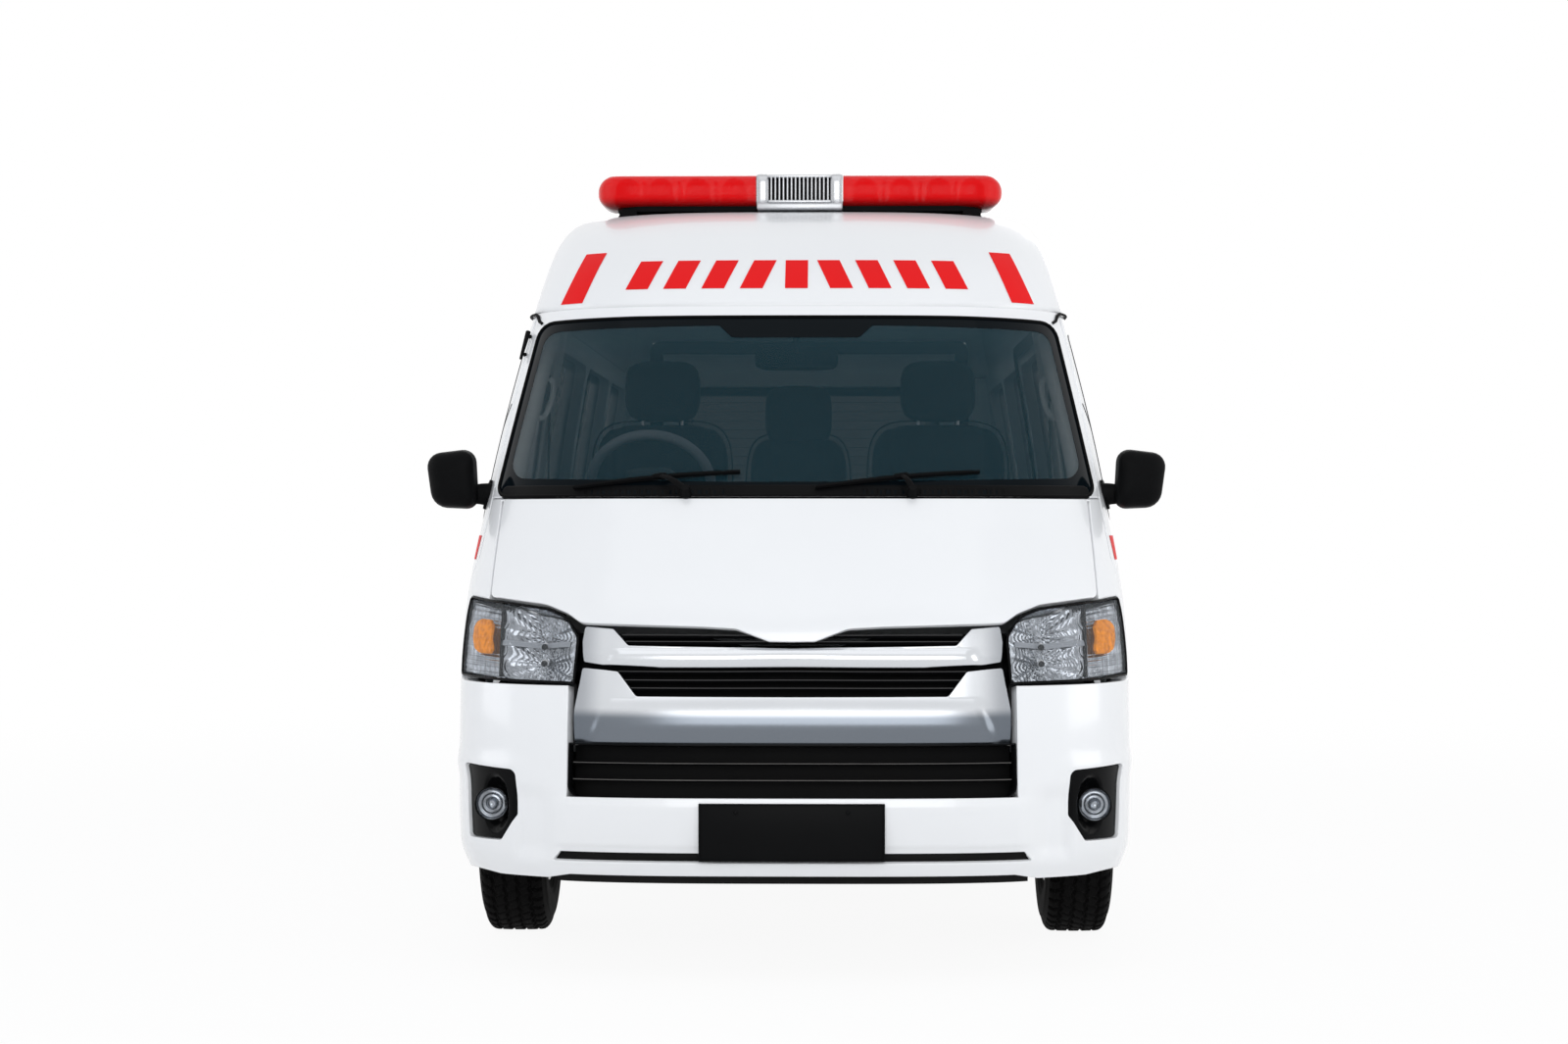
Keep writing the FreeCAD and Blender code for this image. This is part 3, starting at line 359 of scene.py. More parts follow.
def flip(c, z):
    """Travel from the tail for a travel from the nose, on the same side."""
    nose, half, _, tail = level(z)
    return np.sign(c) * (2 * half + tail - nose - np.abs(c))


# ---------------------------------------------------------------- outlines

def rounded(points, spacing=0.02, closed=True):
    """A polyline of straight runs and tangent arcs. A point is (a, b) or (a, b, radius); an arc's points turn evenly
    from one run to the next, and every run is divided into lengths of about the spacing."""
    parts = []
    count = len(points)
    for i, point in enumerate(points):
        here = np.array(point[:2], float)
        radius = point[2] if len(point) > 2 else 0
        if not radius or (not closed and i in (0, count - 1)):
            parts.append(here[None])
            continue
        back, on = unit(np.array(points[i - 1][:2]) - here), unit(np.array(points[(i + 1) % count][:2]) - here)
        half = math.acos(float(np.clip(back @ on, -1, 1))) / 2
        centre = here + unit(back + on) * radius / math.sin(half)
        start, end = here + back * radius / math.tan(half) - centre, here + on * radius / math.tan(half) - centre
        sweep = math.pi - 2 * half
        share = np.linspace(0, 1, max(3, int(sweep / 0.26) + 1))[:, None]
        parts.append(centre + (np.sin((1 - share) * sweep) * start + np.sin(share * sweep) * end) / math.sin(sweep))
    line = np.vstack(parts)
    ends = np.roll(line, -1, 0) if closed else line[1:]
    starts = line if closed else line[:-1]
    runs = [a + (b - a) * np.arange(max(1, math.ceil(np.linalg.norm(b - a) / spacing)))[:, None]
            / max(1, math.ceil(np.linalg.norm(b - a) / spacing)) for a, b in zip(starts, ends)]
    return np.vstack(runs if closed else runs + [line[-1:]])


def front_view(points, closed=True, spacing=0.02):
    """An outline drawn from the front in (x, z), as (c, z)."""
    line = rounded(points, spacing, closed)
    return np.stack([from_front(line[:, 0], line[:, 1]), line[:, 1]], 1)


def rear_view(points, spacing=0.02):
    """An outline drawn in (x, z) on the tail, as (travel from the tail, z)."""
    line = rounded(points, spacing)
    return np.stack([from_rear(line[:, 0], line[:, 1]), line[:, 1]], 1)


def side_run(points):
    """An open line drawn from the left in (s, z), as (c, z)."""
    return on_side(rounded(points, closed=False), 1)


def side_view(points, spacing=0.02):
    """An outline drawn from the left in (s, z), as (c, z)."""
    line = rounded(points, spacing)
    return np.stack([from_side(line[:, 0], line[:, 1]), line[:, 1]], 1)


def arc(axle, radius, start, end, count=40):
    """Points (s, z) of a wheel arch between two angles in degrees, from forward over the top to rearward."""
    turn = np.radians(np.linspace(start, end, count))
    return np.stack([axle - radius * np.cos(turn), WHEEL_HEIGHT + radius * np.sin(turn)], 1)


def wound(loop, way):
    """The loop without repeated points, turned so that its signed area has the given sign."""
    loop = loop[np.linalg.norm(loop - np.roll(loop, 1, 0), axis=1) > 1e-4]
    area = np.sum(loop[:, 0] * np.roll(loop[:, 1], -1) - loop[:, 1] * np.roll(loop[:, 0], -1))
    return loop if area * way > 0 else loop[::-1]


def inset(loop, by):
    """The loop moved to the left of its own direction, each corner along the mean of its two edges' normals."""
    edge = unit(np.roll(loop, -1, 0) - loop)
    left = np.stack([-edge[:, 1], edge[:, 0]], 1)
    before = np.roll(left, 1, 0)
    mean = left + before
    length = np.maximum(np.sum(mean * mean, 1, keepdims=True), 1.0)
    return loop + by * 2 * mean / length


def inside(points, loops):
    """Even-odd test of each point against all the loops' edges."""
    odd = np.zeros(len(points), bool)
    for loop in loops:
        a, b = loop, np.roll(loop, -1, 0)
        for k in range(0, len(points), 4000):
            p = points[k:k + 4000]
            spans = (a[None, :, 1] > p[:, None, 1]) != (b[None, :, 1] > p[:, None, 1])
            rise = np.where(a[:, 1] == b[:, 1], 1, b[:, 1] - a[:, 1])
            cross = a[None, :, 0] + (p[:, None, 1] - a[None, :, 1]) * ((b[:, 0] - a[:, 0]) / rise)[None]
            odd[k:k + 4000] ^= (np.sum(spans & (p[:, None, 0] < cross), 1) % 2).astype(bool)
    return odd


def filled(loops, spacing):
    """A triangle net over the area between loops: their points, a grid inside them and Delaunay's triangles."""
    ring = np.vstack(loops)
    low, high = ring.min(0), ring.max(0)
    shape = np.maximum(2, np.ceil((high - low) / spacing).astype(int))
    a, b = np.meshgrid(np.linspace(low[0], high[0], shape[0] + 1), np.linspace(low[1], high[1], shape[1] + 1))
    grid = np.stack([a.ravel(), b.ravel()], 1)
    grid = grid[inside(grid, loops)]
    for k in range(0, len(ring), 400):
        part = ring[k:k + 400]
        near = np.min(np.linalg.norm(grid[:, None] - part[None], axis=2), 1) if len(grid) else np.zeros(0)
        grid = grid[near > 0.6 * min(spacing, 0.02)]
    points = np.vstack([ring, grid])
    edges, start = [], 0
    for loop in loops:
        index = np.arange(len(loop)) + start
        edges += np.stack([index, np.roll(index, -1)], 1).tolist()
        start += len(loop)
    out = delaunay_2d_cdt([Vector(p) for p in points.tolist()], edges, [], 0, 1e-7)
    origin = np.array([o[0] if o else -1 for o in out[3]])
    net = origin[np.array([t for t in out[2] if len(t) == 3])]
    net = net[(net >= 0).all(1)]
    net = net[inside(points[net].mean(1), loops)]
    p, q, r = points[net[:, 0]], points[net[:, 1]], points[net[:, 2]]
    turned = (q[:, 0] - p[:, 0]) * (r[:, 1] - p[:, 1]) - (q[:, 1] - p[:, 1]) * (r[:, 0] - p[:, 0]) < 0
    net[turned] = net[turned][:, ::-1]
    return points, net


# ---------------------------------------------------------------- meshes

def grid_faces(rows, columns, wrap_rows=False, wrap_columns=False):
    """Quads of a grid of points, which may close on itself either way."""
    i, j = np.meshgrid(np.arange(rows if wrap_rows else rows - 1), np.arange(columns if wrap_columns else columns - 1),
                       indexing="ij")
    i2, j2 = (i + 1) % rows, (j + 1) % columns
    return np.stack([i * columns + j, i * columns + j2, i2 * columns + j2, i2 * columns + j], -1).reshape(-1, 4)


def make_object(name, verts, faces, paint, materials, normal=None, sharp=40):
    """A mesh object from arrays: points, lists of equal-sided faces and each list's material index."""
    mesh = bpy.data.meshes.new(name)
    mesh.vertices.add(len(verts))
    mesh.vertices.foreach_set("co", np.ascontiguousarray(verts, np.float32).ravel())
    loops = np.concatenate([f.ravel() for f in faces])
    sides = np.concatenate([np.full(len(f), f.shape[1]) for f in faces])
    mesh.loops.add(len(loops))
    mesh.loops.foreach_set("vertex_index", loops.astype(np.int32))
    mesh.polygons.add(len(sides))
    mesh.polygons.foreach_set("loop_start", np.concatenate([[0], np.cumsum(sides)[:-1]]).astype(np.int32))
    mesh.polygons.foreach_set("material_index",
                              np.concatenate([np.full(len(f), p) for f, p in zip(faces, paint)]).astype(np.int32))
    mesh.update(calc_edges=True)
    mesh.validate()
    for material in materials:
        mesh.materials.append(material)
    mesh.shade_smooth()
    if normal is None:
        work = bmesh.new()
        work.from_mesh(mesh)
        bmesh.ops.remove_doubles(work, verts=work.verts, dist=2e-5)
        bmesh.ops.dissolve_degenerate(work, edges=work.edges, dist=1e-6)
        work.to_mesh(mesh)
        work.free()
        mesh.set_sharp_from_angle(angle=math.radians(sharp))
    else:
        mesh.normals_split_custom_set_from_vertices(unit(normal).tolist())
    obj = bpy.data.objects.new(name, mesh)
    bpy.context.scene.collection.objects.link(obj)
    return obj


def settle(obj, body, slot, replaces=()):
    """Says which body a piece rides on, its finish slot and the CAD nodes that it stands for."""
    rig.ride(obj, body)
    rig.slot(obj, slot)
    if replaces:
        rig.replaces(obj, *replaces)
    return obj


# A pressed edge from the outer face to the wall: inset, depth, and how far the normal leans outward in degrees.
EDGE = ((0.0034, 0.0, 0), (0.0016, 0.0005, 28), (0.0004, 0.0016, 62), (0.0, 0.0034, 90))
THIN_EDGE = ((0.0012, 0.0, 0), (0.0003, 0.0003, 45), (0.0, 0.0012, 90))
FILM_EDGE = ((0.0002, 0.0, 0), (0.0, 0.0002, 90))
FILM = dict(thickness=0.0008, sink=-0.0014, spacing=0.03, edge=FILM_EDGE)


def panel(name, outer, holes, body, slot, materials, replaces=(), thickness=0.05, sink=0.0, spacing=0.022,
          edge=EDGE, rear=False):
    """A piece of the skin between two depths. Its face is the skin over a triangle net; each edge is carried round the
    edge profile, down the wall and back under, and the same net at the full depth closes it."""
    loops = [wound(outer, 1)] + [wound(hole, -1) for hole in holes]
    profile = list(edge) + [(a, thickness - d, 180 - lean) for a, d, lean in reversed(edge)]
    net, triangles = filled([inset(loop, edge[0][0]) for loop in loops], spacing)
    point, n = covered(net[:, 0], net[:, 1], sink, rear)
    verts, norms = [point, point - n * thickness], [n, -n]
    count = len(net)
    faces, paint = [triangles, triangles[:, ::-1] + count], [0, 1 if len(materials) > 1 else 0]
    total, first = 2 * count, 0
    for loop in loops:
        size = len(loop)
        rim = np.arange(size)
        outside, n0 = covered(loop[:, 0], loop[:, 1], sink, rear)
        out = outside - covered(*inset(loop, 0.002).T, sink, rear)[0]
        out = unit(out - n0 * np.sum(out * n0, 1, keepdims=True))
        index = [rim + first]
        for a, d, lean in profile[1:-1]:
            turn = math.radians(lean)
            verts.append(outside - out * a - n0 * d)
            norms.append(n0 * math.cos(turn) + out * math.sin(turn))
            index.append(rim + total)
            total += size
        index.append(rim + first + count)
        for k, (inner, beyond) in enumerate(zip(index, index[1:])):
            faces.append(np.stack([beyond, np.roll(beyond, -1), np.roll(inner, -1), inner], 1))
            paint.append(paint[1] if k >= len(edge) else 0)
        first += size
    if rear:
        faces = [f[:, ::-1] for f in faces]
    obj = make_object(name, np.vstack(verts), faces, paint, materials, np.vstack(norms))
    return settle(obj, body, slot, replaces)


class Build:
    """Gathers the patches of one piece. Each patch is a grid of points or a set of faces, with a material index."""

    def __init__(self):
        self.verts, self.faces, self.paint, self.count = [], [], [], 0

    def add(self, verts, faces, paint=0, flip=False):
        verts = np.asarray(verts, float).reshape(-1, 3)
        for f in faces if isinstance(faces, list) else [faces]:
            self.faces.append((f[:, ::-1] if flip else f) + self.count)
            self.paint.append(paint)
        self.verts.append(verts)
        self.count += len(verts)
        return self

    def grid(self, points, paint=0, wrap_rows=False, wrap_columns=False, flip=False):
        return self.add(points, grid_faces(*points.shape[:2], wrap_rows, wrap_columns), paint, flip)

    def copies(self, moves):
        """Repeats all that is gathered so far once more for each 4 by 4 matrix."""
        verts, faces, paint, count = list(self.verts), list(self.faces), list(self.paint), self.count
        base = np.vstack(verts)
        for move in moves:
            flipped = np.linalg.det(move[:3, :3]) < 0
            self.verts.append(base @ move[:3, :3].T + move[:3, 3])
            self.faces += [(f[:, ::-1] if flipped else f) + self.count for f in faces]
            self.paint += paint
            self.count += count
        return self

    def mirror(self):
        return self.copies([np.diag([-1.0, 1, 1, 1])])

    def object(self, name, materials, sharp=40):
        return make_object(name, np.vstack(self.verts), self.faces, self.paint, materials, sharp=sharp)

    def piece(self, name, body, slot, materials, replaces=(), sharp=40):
        return settle(self.object(name, materials, sharp), body, slot, replaces)


def moved(turn, axis):
    """A 4 by 4 matrix that turns by so many degrees about one axis."""
    move = np.eye(4)
    c, s = math.cos(math.radians(turn)), math.sin(math.radians(turn))
    a, b = {"x": (1, 2), "y": (2, 0), "z": (0, 1)}[axis]
    move[a, a], move[b, b], move[a, b], move[b, a] = c, c, -s, s
    return move


def applied(points, move):
    return points @ move[:3, :3].T + move[:3, 3]


def at(x, s, z):
    """A point from X, the distance behind the nose and the height."""
    return np.array([x, s - LENGTH / 2, z], float)


def brick(build, middle, size, radius=0.006, paint=0, move=None, taper=(1, 1)):
    """A block with rounded edges. Every point is a corner's centre plus the radius times a unit direction, over a grid
    of longitude and latitude whose quarters each go to their own corner. Taper narrows its top in X and Y."""
    half = np.array(size, float) / 2
    radius = min(radius, *(half * 0.999))
    steps = np.linspace(0, math.pi / 2, 4)
    lon = np.concatenate([steps + q * math.pi / 2 for q in range(4)])
    sx, sy = np.repeat([1, -1, -1, 1], 4), np.repeat([1, 1, -1, -1], 4)
    lat = np.concatenate([steps - math.pi / 2, steps])
    sz = np.repeat([-1, 1], 4)
    cos_lat = np.cos(lat)[:, None]
    x = (half[0] - radius) * sx[None] + radius * cos_lat * np.cos(lon)
    y = (half[1] - radius) * sy[None] + radius * cos_lat * np.sin(lon)
    z = ((half[2] - radius) * sz + radius * np.sin(lat))[:, None] + 0 * x
    up = (z / half[2] + 1) / 2
    points = np.stack([x * (1 + (taper[0] - 1) * up), y * (1 + (taper[1] - 1) * up), z], -1)
    if move is not None:
        points = applied(points, move)
    points = points + np.asarray(middle)
    build.grid(points, paint, wrap_columns=True)
    for row, order in ((0, (12, 8, 4, 0)), (7, (0, 4, 8, 12))):
        build.add(points[row][list(order)], np.array([[0, 1, 2, 3]]), paint)
    return build


def circle(count):
    """Cosines and sines of so many even steps round a circle."""
    turn = np.linspace(0, 2 * math.pi, count, endpoint=False)
    return np.cos(turn), np.sin(turn)


def lathe(build, profile, centre, axis="x", paint=0, count=64, flip=False):
    """A profile of (along, radius) turned about an axis through the centre: along the axis plus the radius times
    (cos, sin) of the turn."""
    profile = np.asarray(profile, float)
    c, s = circle(count)
    along, radius = profile[:, :1], profile[:, 1:2]
    a, b, d = along + 0 * c, radius * c, radius * s
    order = {"x": (a, b, d), "y": (d, a, b), "z": (b, d, a)}[axis]
    points = np.stack(order, -1) + np.asarray(centre)
    return build.grid(points, paint, wrap_columns=True, flip=not flip)


def ribbon(build, path, profile, up=(0, 0, 1), paint=0, closed=False, scale=None):
    """A profile of (side, height) carried along a path. At each point of the path the height runs along the up
    direction, squared to the path, and the side along the cross product of the two."""
    path, profile = np.asarray(path, float), np.asarray(profile, float)
    if closed:
        tangent = unit(np.roll(path, -1, 0) - np.roll(path, 1, 0))
    else:
        tangent = unit(np.gradient(path, axis=0))
    up = np.broadcast_to(np.asarray(up, float), path.shape)
    side = unit(np.cross(tangent, up))
    up = np.cross(side, tangent)
    scale = np.ones(len(path)) if scale is None else np.asarray(scale, float)
    points = (path[:, None]
              + scale[:, None, None] * (profile[None, :, :1] * side[:, None] + profile[None, :, 1:] * up[:, None]))
    build.grid(points, paint, wrap_rows=closed, wrap_columns=True)
    if not closed:
        n = len(profile)
        build.add(points[0], [np.arange(n)[::-1][None]], paint, flip=True)
        build.add(points[-1], [np.arange(n)[None]], paint, flip=True)
    return build


def disc(radius, count=12, squash=1.0):
    """A closed round or oval profile."""
    c, s = circle(count)
    return np.stack([radius * c, radius * squash * s], 1)


def oblong(left, right, low, high, radius=None):
    """The corners of a rectangle, each with the radius where one is given."""
    corners = [(left, low), (right, low), (right, high), (left, high)]
    return corners if radius is None else [(*corner, radius) for corner in corners]


def slab(wide, high):
    """A closed profile of a flat bar, from its half width and half height."""
    return oblong(-wide, wide, -high, high)


def curve(points, count=48):
    """A smooth line through points: a monotone cubic over the length of their straight runs."""
    points = np.asarray(points, float)
    knots = np.concatenate([[0], np.cumsum(np.linalg.norm(np.diff(points, axis=0), axis=1))])
    return fair(knots, points, np.linspace(0, knots[-1], count))


def pillow(build, centre, size, move=None, power=4.0, crown=0.25, paint=0, count=40):
    """A padded block: a superellipsoid whose sections have the given power, with its thickness swelling to the middle
    by the crown's share."""
    lat = np.linspace(-math.pi / 2, math.pi / 2, count // 2 + 1)[:, None]
    lon = np.linspace(-math.pi, math.pi, count, endpoint=False)[None]
    e = 2 / power
    spow = lambda v: np.sign(v) * np.abs(v) ** e
    x = spow(np.cos(lat)) * spow(np.cos(lon))
    y = spow(np.cos(lat)) * spow(np.sin(lon))
    z = spow(np.sin(lat)) + 0 * x
    z = z * (1 - crown + crown * (1 - x**2) * (1 - y**2) ** 0.5)
    points = np.stack([x, y, z], -1) * np.asarray(size) / 2
    if move is not None:
        points = applied(points, move)
    return build.grid(points + np.asarray(centre), paint, wrap_columns=True)


# ---------------------------------------------------------------- materials

MATERIALS = {}


def link(tree, out, into):
    tree.links.new(out, into)


def node(tree, kind, vector=None, **values):
    """A new shader node with the vector linked in and the named inputs set; underscores stand for spaces."""
    made = tree.nodes.new("ShaderNode" + kind)
    if vector is not None:
        link(tree, vector, made.inputs["Vector"])
    for name, value in values.items():
        made.inputs[name.replace("_", " ")].default_value = value
    return made


def maths(tree, operation, *terms):
    """The output of a maths node over one or two outputs."""
    made = tree.nodes.new("ShaderNodeMath")
    made.operation = operation
    for term, into in zip(terms, made.inputs):
        link(tree, term, into)
    return made.outputs[0]


def ramp(tree, value, start, end, low=0.0, high=1.0, smooth=False):
    """The output of a map range: low where the value is at start and high where it is at end."""
    made = node(tree, "MapRange", From_Min=start, From_Max=end, To_Min=low, To_Max=high)
    made.interpolation_type = "SMOOTHSTEP" if smooth else "LINEAR"
    link(tree, value, made.inputs["Value"])
    return made.outputs["Result"]


def blend(tree, share, first, second, kind="MIX"):
    """The output of a colour mix from the first to the second, each an output or three numbers."""
    made = tree.nodes.new("ShaderNodeMix")
    made.data_type, made.blend_type = "RGBA", kind
    link(tree, share, made.inputs[0])
    for colour, into in ((first, made.inputs[6]), (second, made.inputs[7])):
        if isinstance(colour, bpy.types.NodeSocket):
            link(tree, colour, into)
        else:
            into.default_value = (*colour, 1)
    return made.outputs[2]


def coordinate(tree, where, name):
    """One object coordinate: X, Y or Z."""
    apart = node(tree, "SeparateXYZ", where.outputs["Object"])
    return apart.outputs[name]


def raised(tree, shader, height, strength):
    """Links a bump of a millimetre times the strength into the shader's normal."""
    lift = node(tree, "Bump", Strength=strength, Distance=0.001)
    link(tree, height, lift.inputs["Height"])
    link(tree, lift.outputs["Normal"], shader.inputs["Normal"])


DUST = (0.50, 0.47, 0.43)
DUST_TOP, DUST_FOOT = 0.85, 0.2
# Painted shade: the colour that the bright bars darken to.
BAR_SHADE = (0.130, 0.150, 0.178)
# Painted shade: the colour that the light bar lens darkens to at its foot.
LENS_FOOT = (0.030, 0.001, 0.001)


def finish(name, colour, roughness, metallic=0.0, coat=0.0, alpha=1.0, tint=0.05, scale=6.0, uneven=0.06, bump=0.0,
           bump_scale=400.0, bump_kind="noise", dust=0.0, specular=0.5, glow=0.0, extra=None):
    """A Principled finish. Noise on object coordinates turns the colour darker or lighter by the tint and the
    roughness by the uneven share, a finer pattern gives the bump, and dust greys what lies near the ground."""
    if name in MATERIALS:
        return MATERIALS[name]
    material = bpy.data.materials.new(name)
    MATERIALS[name] = material
    material.use_nodes = True
    tree = material.node_tree
    shader = tree.nodes["Principled BSDF"]
    base = colour[:3]
    material.diffuse_color = (*base, alpha)
    put = shader.inputs
    for socket, value in (("Metallic", metallic), ("Coat Weight", coat), ("Coat Roughness", 0.04), ("Alpha", alpha),
                          ("Specular IOR Level", specular), ("Emission Strength", glow)):
        put[socket].default_value = value
    where = tree.nodes.new("ShaderNodeTexCoord")
    place = where.outputs["Object"]
    noise = node(tree, "TexNoise", place, Scale=scale, Detail=5.0).outputs["Fac"]
    link(tree, ramp(tree, noise, 0.3, 0.7, max(0.0, roughness * (1 - uneven)), min(1.0, roughness * (1 + uneven))),
         put["Roughness"])
    result = blend(tree, noise, [v * (1 - tint) for v in base], [min(1.0, v * (1 + tint)) for v in base])
    if dust:
        low = ramp(tree, coordinate(tree, where, "Z"), DUST_TOP, DUST_FOOT, high=dust, smooth=True)
        result = blend(tree, maths(tree, "MULTIPLY", low, noise), result, DUST)
    if extra:
        result = extra(tree, where, result, shader)
    link(tree, result, put["Base Color"])
    link(tree, result, put["Emission Color"])
    if bump:
        kinds = {"noise": "TexNoise", "cells": "TexVoronoi", "lines": "TexWave"}
        grain = node(tree, kinds[bump_kind], place, Scale=bump_scale)
        raised(tree, shader, grain.outputs["Distance" if bump_kind == "cells" else "Fac"], bump)
    return material


def weave(pitch=0.0022, depth=0.35):
    """Cloth: the colour darkens between threads that run across and up, as the product of two waves."""
    def apply(tree, where, colour, shader):
        waves = []
        for direction in ("X", "Z"):
            wave = node(tree, "TexWave", where.outputs["Object"], Scale=0.314 / pitch, Distortion=1.5)
            wave.bands_direction = direction
            waves.append(wave.outputs["Fac"])
        both_waves = maths(tree, "MULTIPLY", *waves)
        raised(tree, shader, both_waves, depth)
        return blend(tree, both_waves, colour, (0.72, 0.72, 0.74), "MULTIPLY")
    return apply


def shaded_bars(tree, where, colour, shader):
    """Painted shade on the bright bars: their colour darkens downwards from 0.730 m to 0.698 m, and sideways from 0.500
    m off the middle.
    """
    across = maths(tree, "ABSOLUTE", coordinate(tree, where, "X"))
    for along, start, end, share in ((coordinate(tree, where, "Z"), 0.730, 0.698, 0.93), (across, 0.500, 0.575, 0.50)):
        colour = blend(tree, ramp(tree, along, start, end, high=share, smooth=True), colour, BAR_SHADE)
    return colour


def shaded_top(tree, where, colour, shader):
    """Windscreen glass: more opaque towards its upper edge, from 1.66 m to 1.86 m."""
    opacity = ramp(tree, coordinate(tree, where, "Z"), 1.66, 1.86, 0.42, 0.72)
    link(tree, opacity, shader.inputs["Alpha"])
    return colour


def shaded_lens(tree, where, colour, shader):
    """Light bar lens: painted shade that darkens it towards its foot."""
    # A share of painted shade, nought at 2.288 m and 0.80 at 2.252 m.
    foot = ramp(tree, coordinate(tree, where, "Z"), 2.288, 2.252, high=0.80, smooth=True)
    return blend(tree, foot, colour, LENS_FOOT)


FINISHES = {
    "white_paint": ("paint",
                    dict(roughness=0.24, coat=0.5, tint=0.012, scale=3.0, bump=0.03, bump_scale=900, dust=0.10)),
    "white_roof": ("paint", dict(roughness=0.30, coat=0.3, tint=0.015, scale=2.0, bump=0.05, bump_scale=500)),
    # The bright bars' colour carries painted shade, darker low down and on their wings.
    "chrome_trim": ("chrome", dict(roughness=0.20, metallic=0.85, tint=0.03, scale=4.0, extra=shaded_bars)),
    # The reflectors' coat is dark and mottled by noise at 0.90 tint: painted reflections, bright and dark patches, in
    # the lamps, the mirror glass and the lamp walls.
    "reflector": ("mirror_coat", dict(roughness=0.12, metallic=1.0, tint=0.90, scale=34)), "black_plastic": ("black",
                      dict(roughness=0.50, tint=0.15, bump=0.25, bump_scale=1400, uneven=0.15, dust=0.02,
                           specular=0.045)),
    "black_gloss": ("black", dict(roughness=0.14, tint=0.1, specular=0.05)),
    "plate": ("black", dict(roughness=0.36, tint=0.1, specular=0.05)),
    "frit": ("glass_border", dict(roughness=0.08, tint=0.1, specular=0.03)),
    "rubber": ("rubber", dict(roughness=0.62, tint=0.15, bump=0.15, bump_scale=700, specular=0.04)),
    "lamp_clear": ("lens", dict(roughness=0.04, alpha=0.06, tint=0.02, specular=0.25)),
    # The amber glows at 0.32 of its colour though its lamps are off: a painted glow on the indicators, the tail lamps'
    # turn sections and the dial needles.
    "amber": ("amber", dict(roughness=0.22, tint=0.80, scale=70, specular=0.05, glow=0.32)),
    # The light bar lens carries painted shade, darker towards its foot.
    "lamp_red": ("lens_red", dict(roughness=0.07, alpha=0.88, tint=0.08, scale=12, specular=0.06, extra=shaded_lens)),
    "tail_red": ("lens_red",
                 dict(roughness=0.12, tint=0.15, scale=30, specular=0.08, bump=0.35, bump_scale=130,
                      bump_kind="lines")),
    "glow": ("lens_frost", dict(roughness=0.4, tint=0.0, glow=20.0)), "tail_clear": ("lens_frost",
                   dict(roughness=0.16, tint=0.05, scale=30, coat=0.5, bump=0.35, bump_scale=130, bump_kind="lines")),
    "stripe_red": ("stripe", dict(roughness=0.34, tint=0.03, scale=8, specular=0.015)),
    "glass_clear": ("glass", dict(roughness=0.02, alpha=0.42, tint=0.10, scale=1.5, specular=0.08, extra=shaded_top)),
    "glass_door": ("glass", dict(roughness=0.02, alpha=0.42, tint=0.10, scale=1.5, specular=0.25)),
    "glass_dark": ("privacy", dict(roughness=0.03, alpha=0.80, tint=0.10, scale=1.5, specular=0.35)),
    "silver": ("silver", dict(roughness=0.32, metallic=0.6, tint=0.05, bump=0.05, bump_scale=900, dust=0.35)),
    "speaker_grey": ("silver", dict(roughness=0.28, metallic=0.8, tint=0.05, scale=20)), "tyre_rubber": ("rubber",
                    dict(roughness=0.74, tint=0.22, scale=14, bump=0.3, bump_scale=600, dust=0.015, specular=0.03)),
    "chassis_black": ("chassis", dict(roughness=0.50, tint=0.25, scale=9, bump=0.15, bump_scale=300, dust=0.6)),
    "iron": ("iron", dict(roughness=0.62, metallic=0.5, tint=0.3, scale=14, bump=0.6, bump_scale=160, dust=0.4)),
    "steel_grey": ("silver",
                   dict(roughness=0.42, metallic=0.8, tint=0.25, scale=9, bump=0.1, bump_scale=200, dust=0.5)),
    "tank_plastic": ("black", dict(roughness=0.6, tint=0.2, bump=0.3, bump_scale=500, dust=0.6)),
    "floor_vinyl": ("vinyl_floor",
                    dict(roughness=0.55, tint=0.12, scale=60, bump=0.3, bump_scale=260, bump_kind="cells")),
    "dash_plastic": ("dash", dict(roughness=0.55, tint=0.08, bump=0.5, bump_scale=900, bump_kind="cells")),
    "lining": ("lining", dict(roughness=0.6, tint=0.05, bump=0.25, bump_scale=700, bump_kind="cells")),
    "seat_fabric": ("seat", dict(roughness=0.9, tint=0.12, scale=20, extra=weave())),
    "seat_side": ("seat_dark", dict(roughness=0.85, tint=0.12, scale=20, extra=weave(0.0016, 0.3))),
    "stretcher_pad": ("vinyl",
                      dict(roughness=0.38, tint=0.08, scale=9, bump=0.35, bump_scale=520, bump_kind="cells", coat=0.1)),
    "bench_vinyl": ("vinyl", dict(roughness=0.42, tint=0.08, scale=9, bump=0.35, bump_scale=520, bump_kind="cells")),
    "pillar_trim": ("pillar", dict(roughness=0.5, tint=0.05, bump=0.2, bump_scale=700, bump_kind="cells")),
    "gas_green": ("cylinder", dict(roughness=0.3, tint=0.05, coat=0.3)),
    "cabinet": ("cabinet", dict(roughness=0.45, tint=0.04, scale=5, bump=0.1, bump_scale=400)),
    "belt_web": ("black", dict(roughness=0.8, tint=0.2, bump=0.5, bump_scale=900, bump_kind="lines")),
    "aluminium": ("silver", dict(roughness=0.35, metallic=0.9, tint=0.06, scale=12)),
    "grip": ("mirror_coat", dict(roughness=0.7, tint=0.1, bump=0.6, bump_scale=300)),
}


def material(name):
    """The named finish, in the scene's own colour for it."""
    colour, settings = FINISHES[name]
    return finish(name, getattr(bpy.context.scene.ambulance_colours, colour), **settings)


def materials(*names):
    return [material(name) for name in names]


def colour_property(name, description, value):
    return bpy.props.FloatVectorProperty(name=name, description=description, default=value, size=3, min=0, max=1,
                                         subtype="COLOR")


def length_property(name, description, value):
    return bpy.props.FloatProperty(name=name, description=description, default=value, min=0, unit="LENGTH")


